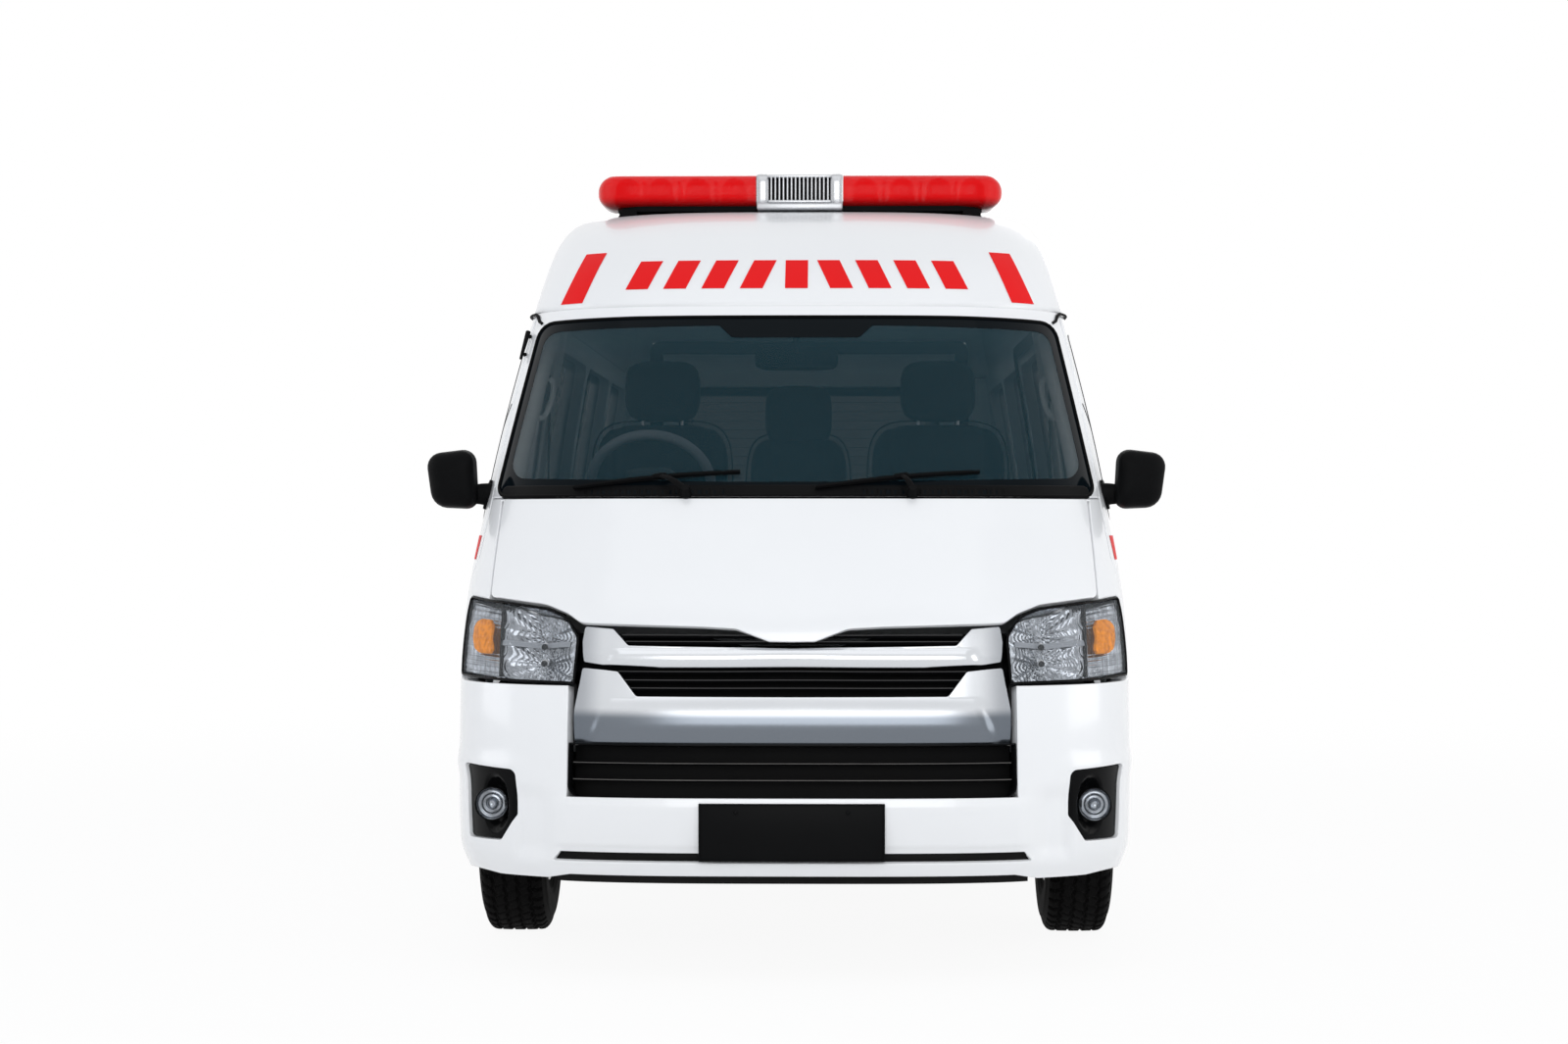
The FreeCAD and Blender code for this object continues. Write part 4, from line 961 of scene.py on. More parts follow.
class AmbulanceColours(bpy.types.PropertyGroup):
    """The ambulance's colours."""

    paint: colour_property("Body paint", "Gloss white of the body and the high roof", (0.885, 0.895, 0.91))
    stripe: colour_property("Red bars", "Reflective red of the roof bars and side bands", (0.86, 0.018, 0.020))
    chrome: colour_property("Bright trim", "Satin bright finish of the grille bars", (0.66, 0.68, 0.71))
    mirror_coat: colour_property("Reflectors", "Bright coating inside the lamps", (0.27, 0.29, 0.32))
    black: colour_property("Black trim", "Moulded black plastic", (0.0034, 0.0036, 0.0040))
    glass_border: colour_property("Glass border", "Black printed edge of the bonded glass", (0.0028, 0.0052, 0.0072))
    rubber: colour_property("Rubber", "Tyres and seals", (0.0030, 0.0030, 0.0033))
    lens: colour_property("Clear lens", "Clear lamp lenses", (0.50, 0.53, 0.56))
    lens_frost: colour_property("Reversing lens", "Ribbed clear part of the tail lamps", (0.72, 0.73, 0.74))
    amber: colour_property("Indicators", "Amber of the direction indicators", (0.98, 0.19, 0.002))
    lens_red: colour_property("Red lens", "Light bar and tail lamps", (0.86, 0.006, 0.008))
    glass: colour_property("Cab glass", "Tint of the windscreen and front doors", (0.011, 0.041, 0.056))
    privacy: colour_property("Rear glass", "Tint of the load space's windows", (0.008, 0.012, 0.014))
    silver: colour_property("Silver", "Wheels, siren cover and metal fittings", (0.52, 0.53, 0.55))
    chassis: colour_property("Chassis", "Satin black under the body", (0.020, 0.020, 0.021))
    iron: colour_property("Castings", "Bare cast metal", (0.10, 0.10, 0.10))
    vinyl_floor: colour_property("Floor", "Floor covering", (0.20, 0.21, 0.22))
    dash: colour_property("Dashboard", "Grained grey plastic", (0.030, 0.036, 0.040))
    lining: colour_property("Lining", "Inner trim of the walls and doors", (0.66, 0.71, 0.73))
    seat: colour_property("Seat cloth", "Woven seat centres", (0.011, 0.014, 0.017))
    seat_dark: colour_property("Seat sides", "Seat bolsters", (0.008, 0.010, 0.012))
    vinyl: colour_property("Wipe-clean cover", "Stretcher and bench covers", (0.030, 0.085, 0.20))
    pillar: colour_property("Pillar trim", "Pale inner trim of the windscreen pillars", (0.90, 0.93, 0.93))
    cylinder: colour_property("Gas cylinder", "Oxygen cylinder", (0.10, 0.30, 0.16))
    cabinet: colour_property("Cabinets", "Laminate of the bench and stores", (0.62, 0.64, 0.64))


class AmbulanceSizes(bpy.types.PropertyGroup):
    """The finer sizes of the surfaces; the large ones are the frame's own."""

    wall: length_property("Wall", "Thickness of doors and body walls", 0.050)
    hood_thickness: length_property("Hood thickness", "Outer panel to inner frame of the hood", 0.022)
    glass_thickness: length_property("Glass", "Thickness of the panes", 0.005)
    growth: length_property("Shut line cut", "How much each panel grows into the frame's 8 mm shut lines", 0.0017)
    net: length_property("Net", "Spacing of the triangle net over large panels", 0.026)
    fine_net: length_property("Fine net", "Spacing of the net over sculpted panels", 0.012)
    tread: length_property("Tread", "Depth of the tyres' grooves", 0.008)


def sizes():
    return bpy.context.scene.ambulance_sizes


def grown_panel(name, outer, holes, *rest, **more):
    """A body panel whose outline has been let out into the shut line."""
    by = sizes().growth
    return panel(name, inset(wound(outer, 1), -by), holes, *rest, **more)


def both(points):
    """The left half of an outline, from the centre line on, closed with its mirror image."""
    return list(points) + [(-p[0], *p[1:]) for p in reversed(points[1:])]


# ---------------------------------------------------------------- outlines of the body's panels

HOOD = both([(0, 0.906), (0.062, 0.907, 0.02), (0.150, 0.941, 0.05), (0.24, 0.946, 0.2), (0.572, 0.955, 0.03),
             (0.610, 0.980, 0.06), (0.672, 1.003, 0.1), (0.811, 1.018, 0.2), (0.840, 1.019, 0.012),
             (0.838, 1.290, 0.012)])
HEADLIGHT = [(0.589, 0.793, 0.008), (0.579, 0.915, 0.035), (0.612, 0.967, 0.06), (0.672, 0.991, 0.1),
             (0.811, 1.006, 0.2), (0.850, 1.008)]
HEADLIGHT_SIDE = [(0.442, 1.014), (0.452, 1.008), (0.402, 0.808), (0.392, 0.800)]
DOOR_FRONT = [(0.550, 0.790), (0.550, 1.120), (0.690, 1.262), (1.215, 1.862)]
DOOR_WINDOW = [(0.775, 1.225, 0.03), (1.572, 1.225, 0.05), (1.560, 1.800, 0.06), (1.222, 1.800, 0.05)]
WINDSHIELD = [(-0.868, 1.2990, 0.03), (0.868, 1.2990, 0.03), (0.782, 1.828, 0.055), (0.48, 1.832, 1.0),
              (-0.48, 1.832, 1.0), (-0.782, 1.828, 0.055)]
GLASS_CLEAR = [(-0.833, 1.352, 0.05), (-0.20, 1.340, 1.0), (0.20, 1.340, 1.0), (0.833, 1.352, 0.05),
               (0.759, 1.797, 0.05),
               (0.226, 1.806, 0.01), (0.186, 1.768, 0.012), (-0.186, 1.768, 0.012), (-0.226, 1.806, 0.01),
               (-0.759, 1.797, 0.05)]
FOG_OPENING = [(0.749, 0.432, 0.012), (0.795, 0.360, 0.012), (0.896, 0.357, 0.010), (0.903, 0.562, 0.010),
               (0.749, 0.555, 0.018)]
SLOT = [(-0.645, 0.315, 0.004), (0.645, 0.315, 0.004), (0.624, 0.340, 0.004), (-0.624, 0.340, 0.004)]
SIDE_WINDOWS = {"left": ((3.010, 3.900), (3.990, 4.930)), "right": ((1.790, 2.840), (2.930, 3.900), (3.990, 4.930))}
SLIDE_WINDOW = (1.790, 2.840)
GATE_WINDOW = [(-0.600, 1.230, 0.06), (0.600, 1.230, 0.06), (0.580, 1.835, 0.07), (-0.580, 1.835, 0.07)]


def window(front, rear, grow=0.0, low=1.225, high=1.800, radius=0.06):
    """A side window's outline in (s, z), let out by grow."""
    return [(front - grow, low - grow, radius + grow), (rear + grow, low - grow, radius + grow),
            (rear + grow, high + grow, radius + grow), (front - grow, high + grow, radius + grow)]


def on_side(line, sign):
    """Points (s, z) on one side of the body, as (c, z)."""
    line = np.asarray(line, float)
    return np.stack([from_side(line[:, 0], line[:, 1], sign), line[:, 1]], 1)


def mirrored(loop):
    """A (c, z) outline on the other side."""
    return loop * [-1, 1]


def facing(sign):
    """What brings an outline drawn on the left to the side of this sign."""
    return mirrored if sign < 0 else np.asarray


def bumper_outline():
    """The bumper from the left arch under the nose to the right arch, and back over the grille opening's corners."""
    arch = arc(AXLE_FRONT, ARCH_RADIUS, -11.5, 54, 30)
    edge = on_side(np.vstack([arch, rounded([(arch[-1, 0], arch[-1, 1]), (0.644, 0.782)], closed=False)]), 1)
    top = front_view([(0.9395, 0.784), (0.604, 0.784), (0.606, 0.488), (0, 0.488)], closed=False)
    corner = top[:, 0] < edge[-1, 0]
    low = side_run([(0.40, 0.264), (0.500, 0.264, 0.02), (0.592, 0.260)])
    lip = front_view([(0, 0.279), (0.595, 0.279, 0.02), (0.660, 0.266, 0.02), (0.80, 0.264)], closed=False)
    half = np.vstack([lip, low, edge, top[corner]])
    return np.vstack([half, mirrored(half[::-1])])


def headlight_runs(grow=0.0):
    """The lamp's outline in three runs: its front, its end on the side of the body, and its foot."""
    run = front_view([(p[0] - grow * (p[0] < 0.61), p[1] + grow * (1 if p[1] > 0.86 else -1), *p[2:])
                      for p in HEADLIGHT],
                     closed=False)
    end = side_run([(s + grow, z + grow * (1 if z > 0.9 else -1)) for s, z in HEADLIGHT_SIDE])
    foot = front_view([(0.850, 0.7975 - grow), (0.589 - grow, 0.793 - grow)], closed=False)
    return run, end, foot


def headlight_outline():
    return np.vstack(headlight_runs())


def fender_outline():
    """The strip between hood, lamp and door, from the lamp's top edge up to the windscreen pillar."""
    run, end, _ = headlight_runs(0.006)
    run = run[run[:, 0] > from_front(np.array([0.845]), np.array([1.0]))[0]]
    inner = front_view([(0.846, 1.287), (0.846, run[0, 1] if len(run) else end[0, 1])], closed=False)
    below = side_run([(0.400, 0.790), (0.542, 0.790), (0.542, 1.123), (0.682, 1.266), (0.7045, 1.2905)])
    top_edge = on_side([(0.60, 1.2905), (0.50, 1.2905)], 1)
    return np.vstack([inner, run, end[:-1], below, top_edge])


# ---------------------------------------------------------------- body panels

class AMBULANCE_OT_nose(bpy.types.Operator):
    """Front bumper, hood, fenders and windscreen pillars"""

    bl_idname = "ambulance.nose"
    bl_label = "Nose panels"

    def execute(self, context):
        size = sizes()
        white = materials("white_paint", "chassis_black")
        fine = size.fine_net
        holes = [front_view(SLOT), front_view(FOG_OPENING), mirrored(front_view(FOG_OPENING))]
        grown_panel("front_bumper", bumper_outline(), holes, "body", "white_paint", white, ["front_bumper"],
                    thickness=0.045, spacing=fine)
        grown_panel("hood", front_view(HOOD), [], "hood", "white_paint", white, ["hood"],
                    thickness=size.hood_thickness, spacing=0.016)
        for side, sign in SIDES:
            loop = fender_outline()
            grown_panel(f"fender_{side}", facing(sign)(loop), [], "body", "white_paint", white,
                        ["fenders"], thickness=size.wall, spacing=fine)
        door_edge = [(0.7115, 1.297), (1.207, 1.866)]
        edge = side_run(door_edge)
        sill = front_view([(0, 1.297), (0.905, 1.297)], closed=False)
        sill = sill[sill[:, 0] < edge[0, 0] - 0.01]
        head = on_side(np.stack([np.linspace(1.207, 1.050, 6), np.full(6, PANEL_TOP)], 1), 1)
        top = front_view([(0, PANEL_TOP), (0.800, PANEL_TOP)], closed=False)[::-1]
        half = np.vstack([sill, edge, head[1:], top[top[:, 0] < head[-1, 0] - 0.01]])
        ring = np.vstack([half, mirrored(half[::-1])])
        panel("windscreen_frame", inset(wound(ring, 1), -0.001), [front_view(WINDSHIELD)], "body", "white_paint",
              materials("white_paint", "lining"), ["windscreen_frame"], thickness=size.wall, spacing=0.016)
        return {"FINISHED"}


def door_outline():
    """The front door's edge: up its leading edge, along the roof line, down the rear, along the sill and arch."""
    arch = arc(AXLE_FRONT, ARCH_RADIUS + 0.003, 153, 55)
    line = rounded(DOOR_FRONT + [(1.600, 1.862, 0.045), (1.636, 1.800), (1.636, 0.420, 0.02), (arch[0, 0], 0.420)],
                   closed=False)
    foot = rounded([tuple(arch[-1]), (0.644, 0.790)], closed=False)
    arch = arch[arch[:, 1] > 0.420]
    return on_side(np.vstack([line, arch, foot]), 1)


SLIDE_OPENING = (1.692, 2.938)


def side_outline(side):
    """One side of the body behind the front door, from the roof line to the sill, and round to the tailgate. The left
    one goes round the sliding door's opening and is joined under it."""
    sill, top, step_foot, bumper_top = PANEL_FOOT, PANEL_TOP, 0.412, 0.6215
    lamp_low, lamp_high, gate_edge = 0.757, 1.193, 0.700

    def up(low, high):
        z = np.linspace(low, high, max(2, int(abs(high - low) / 0.02)))
        return np.stack([flip(from_rear(np.full_like(z, gate_edge), z), z), z], 1)

    def across(height, start, end):
        x = np.linspace(start, end, 14)
        z = np.full_like(x, height)
        return np.stack([flip(from_rear(x, z), z), z], 1)

    start = side_run([(1.644, top), (1.644, step_foot)])
    step_in = side_run([(1.644, step_foot), (1.425, step_foot)])
    foot = side_run([(1.429, 0.400), (1.429, sill), (3.700, sill)])
    arch = on_side(arc(AXLE_REAR, ARCH_RADIUS, -6.2, 186.2, 70), 1)
    tail_foot = side_run([(4.550, sill), (5.042, sill), (5.042, bumper_top), (5.245, bumper_top)])
    z = np.linspace(lamp_low, lamp_high, 22)
    lamp_edge = np.stack([from_side(np.full_like(z, 5.086), z), z], 1)
    rear = np.vstack([across(bumper_top, 0.925, gate_edge), up(0.63, lamp_low), across(lamp_low, 0.702, 0.91)[1:],
                      lamp_edge, across(lamp_high, 0.90, 0.702), up(lamp_high, top)])
    roof = side_run([(5.05, top), (1.70, top)])
    parts = [start, step_in, foot, arch, tail_foot, rear, roof]
    if side == "left":
        before, behind = SLIDE_OPENING
        opening = side_run([(behind, top), (behind, 0.402, 0.02), (before, 0.402, 0.02), (before, top)])
        parts[-1:] = [roof[roof[:, 0] > opening[0, 0] + 0.01], opening]
    return np.vstack(parts)


class AMBULANCE_OT_sides(bpy.types.Operator):
    """Body sides behind the front doors, and the sliding door"""

    bl_idname = "ambulance.sides"
    bl_label = "Body sides"

    def execute(self, context):
        size = sizes()
        white = materials("white_paint", "lining")
        for side, sign in SIDES:
            turn = facing(sign)
            panes = [turn(side_view(window(a, b))) for a, b in SIDE_WINDOWS[side]]
            grown_panel(f"side_panel_{side}", turn(side_outline(side)), panes, "body", "white_paint", white,
                        [f"side_panel_{side}"], thickness=size.wall, spacing=size.net)
        slide = side_view([(1.700, 0.410, 0.03), (2.930, 0.410, 0.03), (2.930, 1.860, 0.06), (1.700, 1.860, 0.06)])
        grown_panel("sliding_door", slide, [side_view(window(*SLIDE_WINDOW))], "body", "white_paint", white,
                    ["sliding_door"], thickness=size.wall, spacing=size.net)
        return {"FINISHED"}


class AMBULANCE_OT_front_doors(bpy.types.Operator):
    """Both front doors with their linings"""

    bl_idname = "ambulance.front_doors"
    bl_label = "Front doors"

    def execute(self, context):
        for side, sign in SIDES:
            turn = facing(sign)
            grown_panel(f"front_door_{side}", turn(door_outline()), [turn(side_view(DOOR_WINDOW))],
                        f"front_door_{side}", "white_paint", materials("white_paint", "lining"),
                        [f"front_door_{side}"], thickness=sizes().wall, spacing=0.020)
        return {"FINISHED"}


def gate_share(z):
    """X of the roof's column that runs up the tailgate opening's side, which keeps to it as far as the opening goes."""
    half = level(z)[1]
    return np.where(z < 2.05, 0.700, 0.700 * half / level(np.array([2.05]))[1])


class AMBULANCE_OT_roof(bpy.types.Operator):
    """The moulded high roof, from the roof line to the ridge"""

    bl_idname = "ambulance.roof"
    bl_label = "High roof"

    def execute(self, context):
        rise = np.concatenate([np.linspace(ROOF_LINE, 2.030, 10), np.linspace(2.030, 2.150, 8)[1:],
                               2.285 - 0.135 * np.linspace(1, 0, 40)[1:] ** 2])
        nose, half, depth, tail = level(rise)
        front = np.linspace(0, half + depth, 44, axis=1)
        side = np.linspace(half + depth, half + tail - nose - TAIL_CORNER, 60, axis=1)[:, 1:]
        total = 2 * half + tail - nose
        gate = from_rear(gate_share(rise), rise)
        corner = np.linspace(half + tail - nose - TAIL_CORNER, total - gate, 12, axis=1)[:, 1:]
        behind = np.linspace(total - gate, total, 16, axis=1)[:, 1:]
        travel = np.hstack([front, side, corner, behind])
        columns = travel.shape[1]
        z = np.broadcast_to(rise[:, None], travel.shape)
        shape = surface(travel.ravel(), z.ravel()).reshape(*travel.shape, 3)
        last = columns - len(behind[0]) - 1
        opening = (rise[:-1, None] < 2.029) & (np.arange(columns - 1)[None] >= last)
        build = Build()
        low = grid_faces(*travel.shape)[~opening.ravel()]
        build.add(shape, low)
        ridge = shape[-1].copy()
        steps = [ridge]
        for share, lift in ((0.6, 0.0012), (0.25, 0.002), (0.0, 0.0023)):
            row = ridge * [share, 1, 1] + [0, 0, lift]
            steps.append(row)
        build.grid(np.stack(steps))
        build.mirror()
        roof = build.object("roof", materials("white_roof", "lining"), sharp=50)
        solid = roof.modifiers.new("wall", "SOLIDIFY")
        solid.thickness = 0.030
        solid.offset = -1
        solid.material_offset = 1
        solid.material_offset_rim = 0
        settle(roof, "body", "white_roof", ["roof"])
        return {"FINISHED"}


class AMBULANCE_OT_tail(bpy.types.Operator):
    """Tailgate and rear bumper"""

    bl_idname = "ambulance.tail"
    bl_label = "Tail panels"

    def execute(self, context):
        size = sizes()
        gate = rear_view([(-0.692, 0.626, 0.02), (0.692, 0.626, 0.02), (0.692, 2.020, 0.03), (-0.692, 2.020, 0.03)])
        grown_panel("tailgate", gate, [rear_view(GATE_WINDOW)], "tailgate", "white_paint",
                    materials("white_paint", "lining"), ["tailgate"], thickness=size.wall, spacing=0.022, rear=True)
        z = np.linspace(PANEL_FOOT, 0.615, 16)
        end = flip(on_side(np.stack([np.full_like(z, 5.050), z], 1), 1)[:, 0], z)
        edge = np.stack([end, z], 1)
        line = lambda height, from_c, to_c: np.stack([np.linspace(from_c, to_c, 110), np.full(110, height)], 1)
        outline = np.vstack([edge[:-1], line(0.615, end[-1], -end[-1])[:-1], (edge * [-1, 1])[::-1][:-1],
                             line(PANEL_FOOT, -end[0], end[0])[:-1]])
        grown_panel("rear_bumper", outline, [], "body", "white_paint", materials("white_paint", "chassis_black"),
                    ["rear_bumper"], thickness=size.wall, spacing=0.018, rear=True)
        return {"FINISHED"}


# ---------------------------------------------------------------- the front's fittings

def front_spot(x, z, depth=0.0):
    """A point of the nose seen from the front at (x, z), a depth under the skin."""
    x, z = np.broadcast_arrays(np.asarray(x, float), np.asarray(z, float))
    shape = x.shape
    return skin(from_front(x.ravel(), z.ravel()), z.ravel(), depth)[0].reshape(*shape, 3)


def side_spot(s, z, depth=0.0, sign=1):
    """A point of one side seen at (s, z), a depth under the skin."""
    s, z = np.broadcast_arrays(np.asarray(s, float), np.asarray(z, float))
    shape = s.shape
    return skin(from_side(s.ravel(), z.ravel(), sign), z.ravel(), depth)[0].reshape(*shape, 3)


def front_normal(x, z):
    """Unit normals of the nose at points seen from the front at (x, z)."""
    return normals(from_front(x, z), z)


def rear_spot(x, z, depth=0.0):
    """A point of the tail seen from behind at (x, z), a depth under the skin."""
    x, z = np.broadcast_arrays(np.asarray(x, float), np.asarray(z, float))
    shape = x.shape
    return skin(from_rear(x.ravel(), z.ravel()), z.ravel(), depth, rear=True)[0].reshape(*shape, 3)


def seal(build, loop, width, height, depth, rear=False):
    """A rubber strip along a (c, z) outline: an oval carried round it with its height along the skin's normal."""
    points, n = skin(loop[:, 0], loop[:, 1], depth, rear)
    c, s = circle(10)
    return ribbon(build, points, np.stack([width / 2 * c, height / 2 * s], 1), up=n, closed=True)


UPPER_BAR = both([(0, 0.836), (0.357, 0.836), (0.516, 0.843, 0.02), (0.567, 0.850, 0.006), (0.572, 0.905, 0.03),
                  (0.564, 0.949, 0.008), (0.484, 0.942, 0.006), (0.443, 0.896, 0.010), (0, 0.889)])
LOWER_BAR = both([(0, 0.631), (0.594, 0.633, 0.008), (0.591, 0.72), (0.570, 0.836, 0.008), (0.471, 0.827, 0.008),
                  (0.420, 0.761, 0.012), (0, 0.760)])


def bar_form(low, high, corner):
    """Depth of a bright bar under the skin: 13 mm at its edges, with a bow of 14 mm between them. Outboard of a
    slanting crease the bow is half as high and the foot turns back by another 14 mm."""
    def depth(c, z):
        share = np.clip((z - low) / (high - low), 0, 1)
        across = np.abs(c)
        flank = step(across + 0.5 * (z - low), corner, corner + 0.055)
        return 0.013 - 0.014 * (1 - (2 * share - 1) ** 2) * (1 - 0.5 * flank) + 0.014 * flank * (1 - share)
    return depth


class AMBULANCE_OT_grille(bpy.types.Operator):
    """Bright bars, black slatted panel, air slot and undertray"""

    bl_idname = "ambulance.grille"
    bl_label = "Grille"

    def execute(self, context):
        panel("grille_upper_bar", front_view(UPPER_BAR, spacing=0.012), [], "body", "chrome_trim",
              materials("chrome_trim"),
              ["grille_bars"], thickness=0.024, sink=bar_form(0.836, 0.889, 0.50), spacing=0.009)
        panel("grille_lower_bar", front_view(LOWER_BAR, spacing=0.012), [], "body", "chrome_trim",
              materials("chrome_trim"),
              ["grille_bars"], thickness=0.024, sink=bar_form(0.632, 0.760, 0.56), spacing=0.010)
        back = front_view([(-0.606, 0.490, 0.02), (0.606, 0.490, 0.02), (0.600, 0.944), (0.250, 0.936), (0.130, 0.899),
                           (-0.130, 0.899), (-0.250, 0.936), (-0.600, 0.944)])
        panel("grille_panel", back, [], "body", "black_plastic", materials("black_plastic"), ["grille_panel"],
              thickness=0.004, sink=0.060, spacing=0.03)
        slats = Build()
        blade = np.array([(-0.018, -0.002), (0.014, -0.0035), (0.018, 0.0), (0.014, 0.0035), (-0.018, 0.002)])
        for z, reach in ((0.580, 0.592), (0.535, 0.592), (0.782, 0.435), (0.803, 0.452), (0.826, 0.47), (0.906, 0.45),
                         (0.924, 0.46)):
            x = np.linspace(-reach, reach, 60)
            ribbon(slats, front_spot(x, z, 0.034), blade)
            # A thin ribbon of the paler chassis black along each slat's front edge: a painted highlight line.
            ribbon(slats, front_spot(x, z + 0.001, 0.016), disc(0.0014, 6), paint=1)
        rim = front_view([(-0.604, 0.491, 0.030), (0.604, 0.491, 0.030), (0.600, 0.630), (-0.600, 0.630)])
        seal(slats, rim, 0.010, 0.030, 0.020)
        slats.piece("grille_slats", "body", "black_plastic", materials("black_gloss", "chassis_black"), sharp=30)
        tray = Build()
        x = np.linspace(-0.64, 0.64, 50)
        z = np.array([0.250, 0.254, 0.272, 0.290])
        tray.grid(front_spot(x[None], z[:, None], 0.016))
        tray.grid(front_spot(x[None], z[:, None], 0.034), flip=True)
        tray.piece("undertray_lip", "body", "black_plastic", materials("black_plastic"))
        slot = oblong(-0.66, 0.66, 0.305, 0.350)
        panel("air_slot_back", front_view(slot), [], "body", "black_plastic", materials("black_plastic"),
              thickness=0.004, sink=0.010, spacing=0.03)
        return {"FINISHED"}


LAMP_MIDDLE = (0.700, 0.896)


def lamp_bowls(c, z):
    """Depth of the headlamp's reflector: two bowls over one another that meet in a ledge, cut into radial facets and
    fine rings."""
    x0 = from_front(np.array([LAMP_MIDDLE[0]]), np.array([LAMP_MIDDLE[1]]))[0]
    across = (np.abs(c) - x0) / 1.25
    up = z - LAMP_MIDDLE[1]
    middle = np.where(up > 0, 0.040, -0.042)
    away = np.hypot(across, up - middle)
    bowl = 0.066 - 0.052 * np.clip(away / 0.115, 0, 1) ** 1.6
    turn = np.arctan2(up - middle, across)
    facet = 0.0034 * np.abs(np.sin(turn * 9)) * np.clip(away / 0.03, 0, 1)
    ring = 0.0026 * np.abs(np.sin(away * 190 + 2.0 * np.sin(turn * 9)))
    return bowl + facet + ring


class AMBULANCE_OT_headlights(bpy.types.Operator):
    """Headlamps with their reflectors, bulbs, dividers and amber indicators"""

    bl_idname = "ambulance.headlights"
    bl_label = "Headlights"

    def execute(self, context):
        for side, sign in SIDES:
            turn = facing(sign)
            loop = turn(headlight_outline())
            lens = inset(wound(loop, 1), 0.005)
            panel(f"headlight_lens_{side}", lens, [], "body", "lamp_clear", materials("lamp_clear"), ["headlights"],
                  thickness=0.003, sink=0.003, spacing=0.014, edge=THIN_EDGE)
            bowl = turn(front_view([(0.592, 0.796), (0.582, 0.915, 0.03), (0.614, 0.964, 0.06), (0.673, 0.988, 0.1),
                                    (0.814, 1.003), (0.814, 0.799)], spacing=0.008))
            panel(f"headlight_reflector_{side}", bowl, [], "body", "chrome_trim", materials("reflector"),
                  thickness=0.002, sink=lamp_bowls, spacing=0.0045, edge=THIN_EDGE)
            end = turn(np.vstack([front_view([(0.822, 0.802), (0.850, 0.803)], closed=False),
                                  side_run([(0.392, 0.806), (0.438, 1.004)]),
                                  front_view([(0.850, 1.001), (0.822, 0.998)], closed=False)]))
            inner = from_front(np.array([0.822]), np.array([0.900]))[0]
            outer = from_side(np.array([0.425]), np.array([0.900]))[0]
            steps = lambda c, z: (0.044 - 0.034 * step(np.abs(c), inner, outer)
                                  + 0.0030 * (np.abs((z * 190) % 2 - 1) - 0.5) + 0.0012 * np.sin(np.abs(c) * 420))
            panel(f"indicator_housing_{side}", end, [], "body", "chrome_trim", materials("reflector"),
                  thickness=0.002, sink=steps, spacing=0.006, edge=THIN_EDGE)
            amber = turn(front_view([(0.838, 0.868, 0.012), (0.898, 0.866, 0.02), (0.906, 0.962, 0.03),
                                     (0.842, 0.960, 0.02)], spacing=0.008))
            dome = lambda c, z: 0.020 - 0.012 * hump(z, 0.905, 0.06) + 0.0015 * (np.abs((z * 230) % 2 - 1) - 0.5)
            panel(f"indicator_{side}", amber, [], "body", "lamp_clear", materials("amber"), thickness=0.012, sink=dome,
                  spacing=0.006)
            trim = Build()
            seal(trim, wound(loop, 1), 0.007, 0.012, 0.004)
            z = np.linspace(0.802, 0.998, 14)
            ribbon(trim, front_spot(sign * 0.818, z, 0.026),
                   [(-0.004, -0.024), (0.004, -0.024), (0.003, 0.022), (-0.003, 0.022)], up=np.array([0, -1.0, 0]))
            wall, n = skin(*wound(loop, 1).T, 0.008)
            wall_in = wall - n * 0.066
            trim.grid(np.stack([wall, wall_in]), 1, wrap_columns=True, flip=True)
            trim.piece(f"headlight_frame_{side}", "body", "black_plastic", materials("black_gloss", "reflector"))
            bulb = Build()
            bar_x = sign * np.linspace(0.604, 0.806, 20)
            bar_depth = 0.020 + 0.030 * hump(np.abs(bar_x), LAMP_MIDDLE[0], 0.055)
            ribbon(bulb, front_spot(bar_x, LAMP_MIDDLE[1] + 0.004, bar_depth),
                   [(-0.010, -0.007), (0.010, -0.007), (0.004, 0.007), (-0.004, 0.007)], paint=1)
            for up in (0.006, -0.042):
                spot = front_spot(sign * LAMP_MIDDLE[0], LAMP_MIDDLE[1] + up, 0.060)
                lathe(bulb, [(-0.0385, 0.0), (-0.0385, 0.0085), (-0.043, 0.0085), (-0.046, 0.0)], spot, "y", 2, 20)
                profile = [(0.0, 0.010), (-0.012, 0.010), (-0.014, 0.0065), (-0.034, 0.0065), (-0.038, 0.005),
                           (-0.040, 0.0)]
                lathe(bulb, profile, spot, "y", count=20)
            bulb.piece(f"headlight_bulbs_{side}", "body", "chrome_trim", materials("silver", "grip", "black_gloss"))
        return {"FINISHED"}


def fog_dish(c, z):
    """Depth of the fog lamp's surround: 10 mm at its rim and 32 mm round the lamp."""
    x = np.abs(c) - 0.155
    return 0.010 + 0.022 * (1 - step(np.hypot(x - 0.835, z - 0.457), 0.045, 0.085))


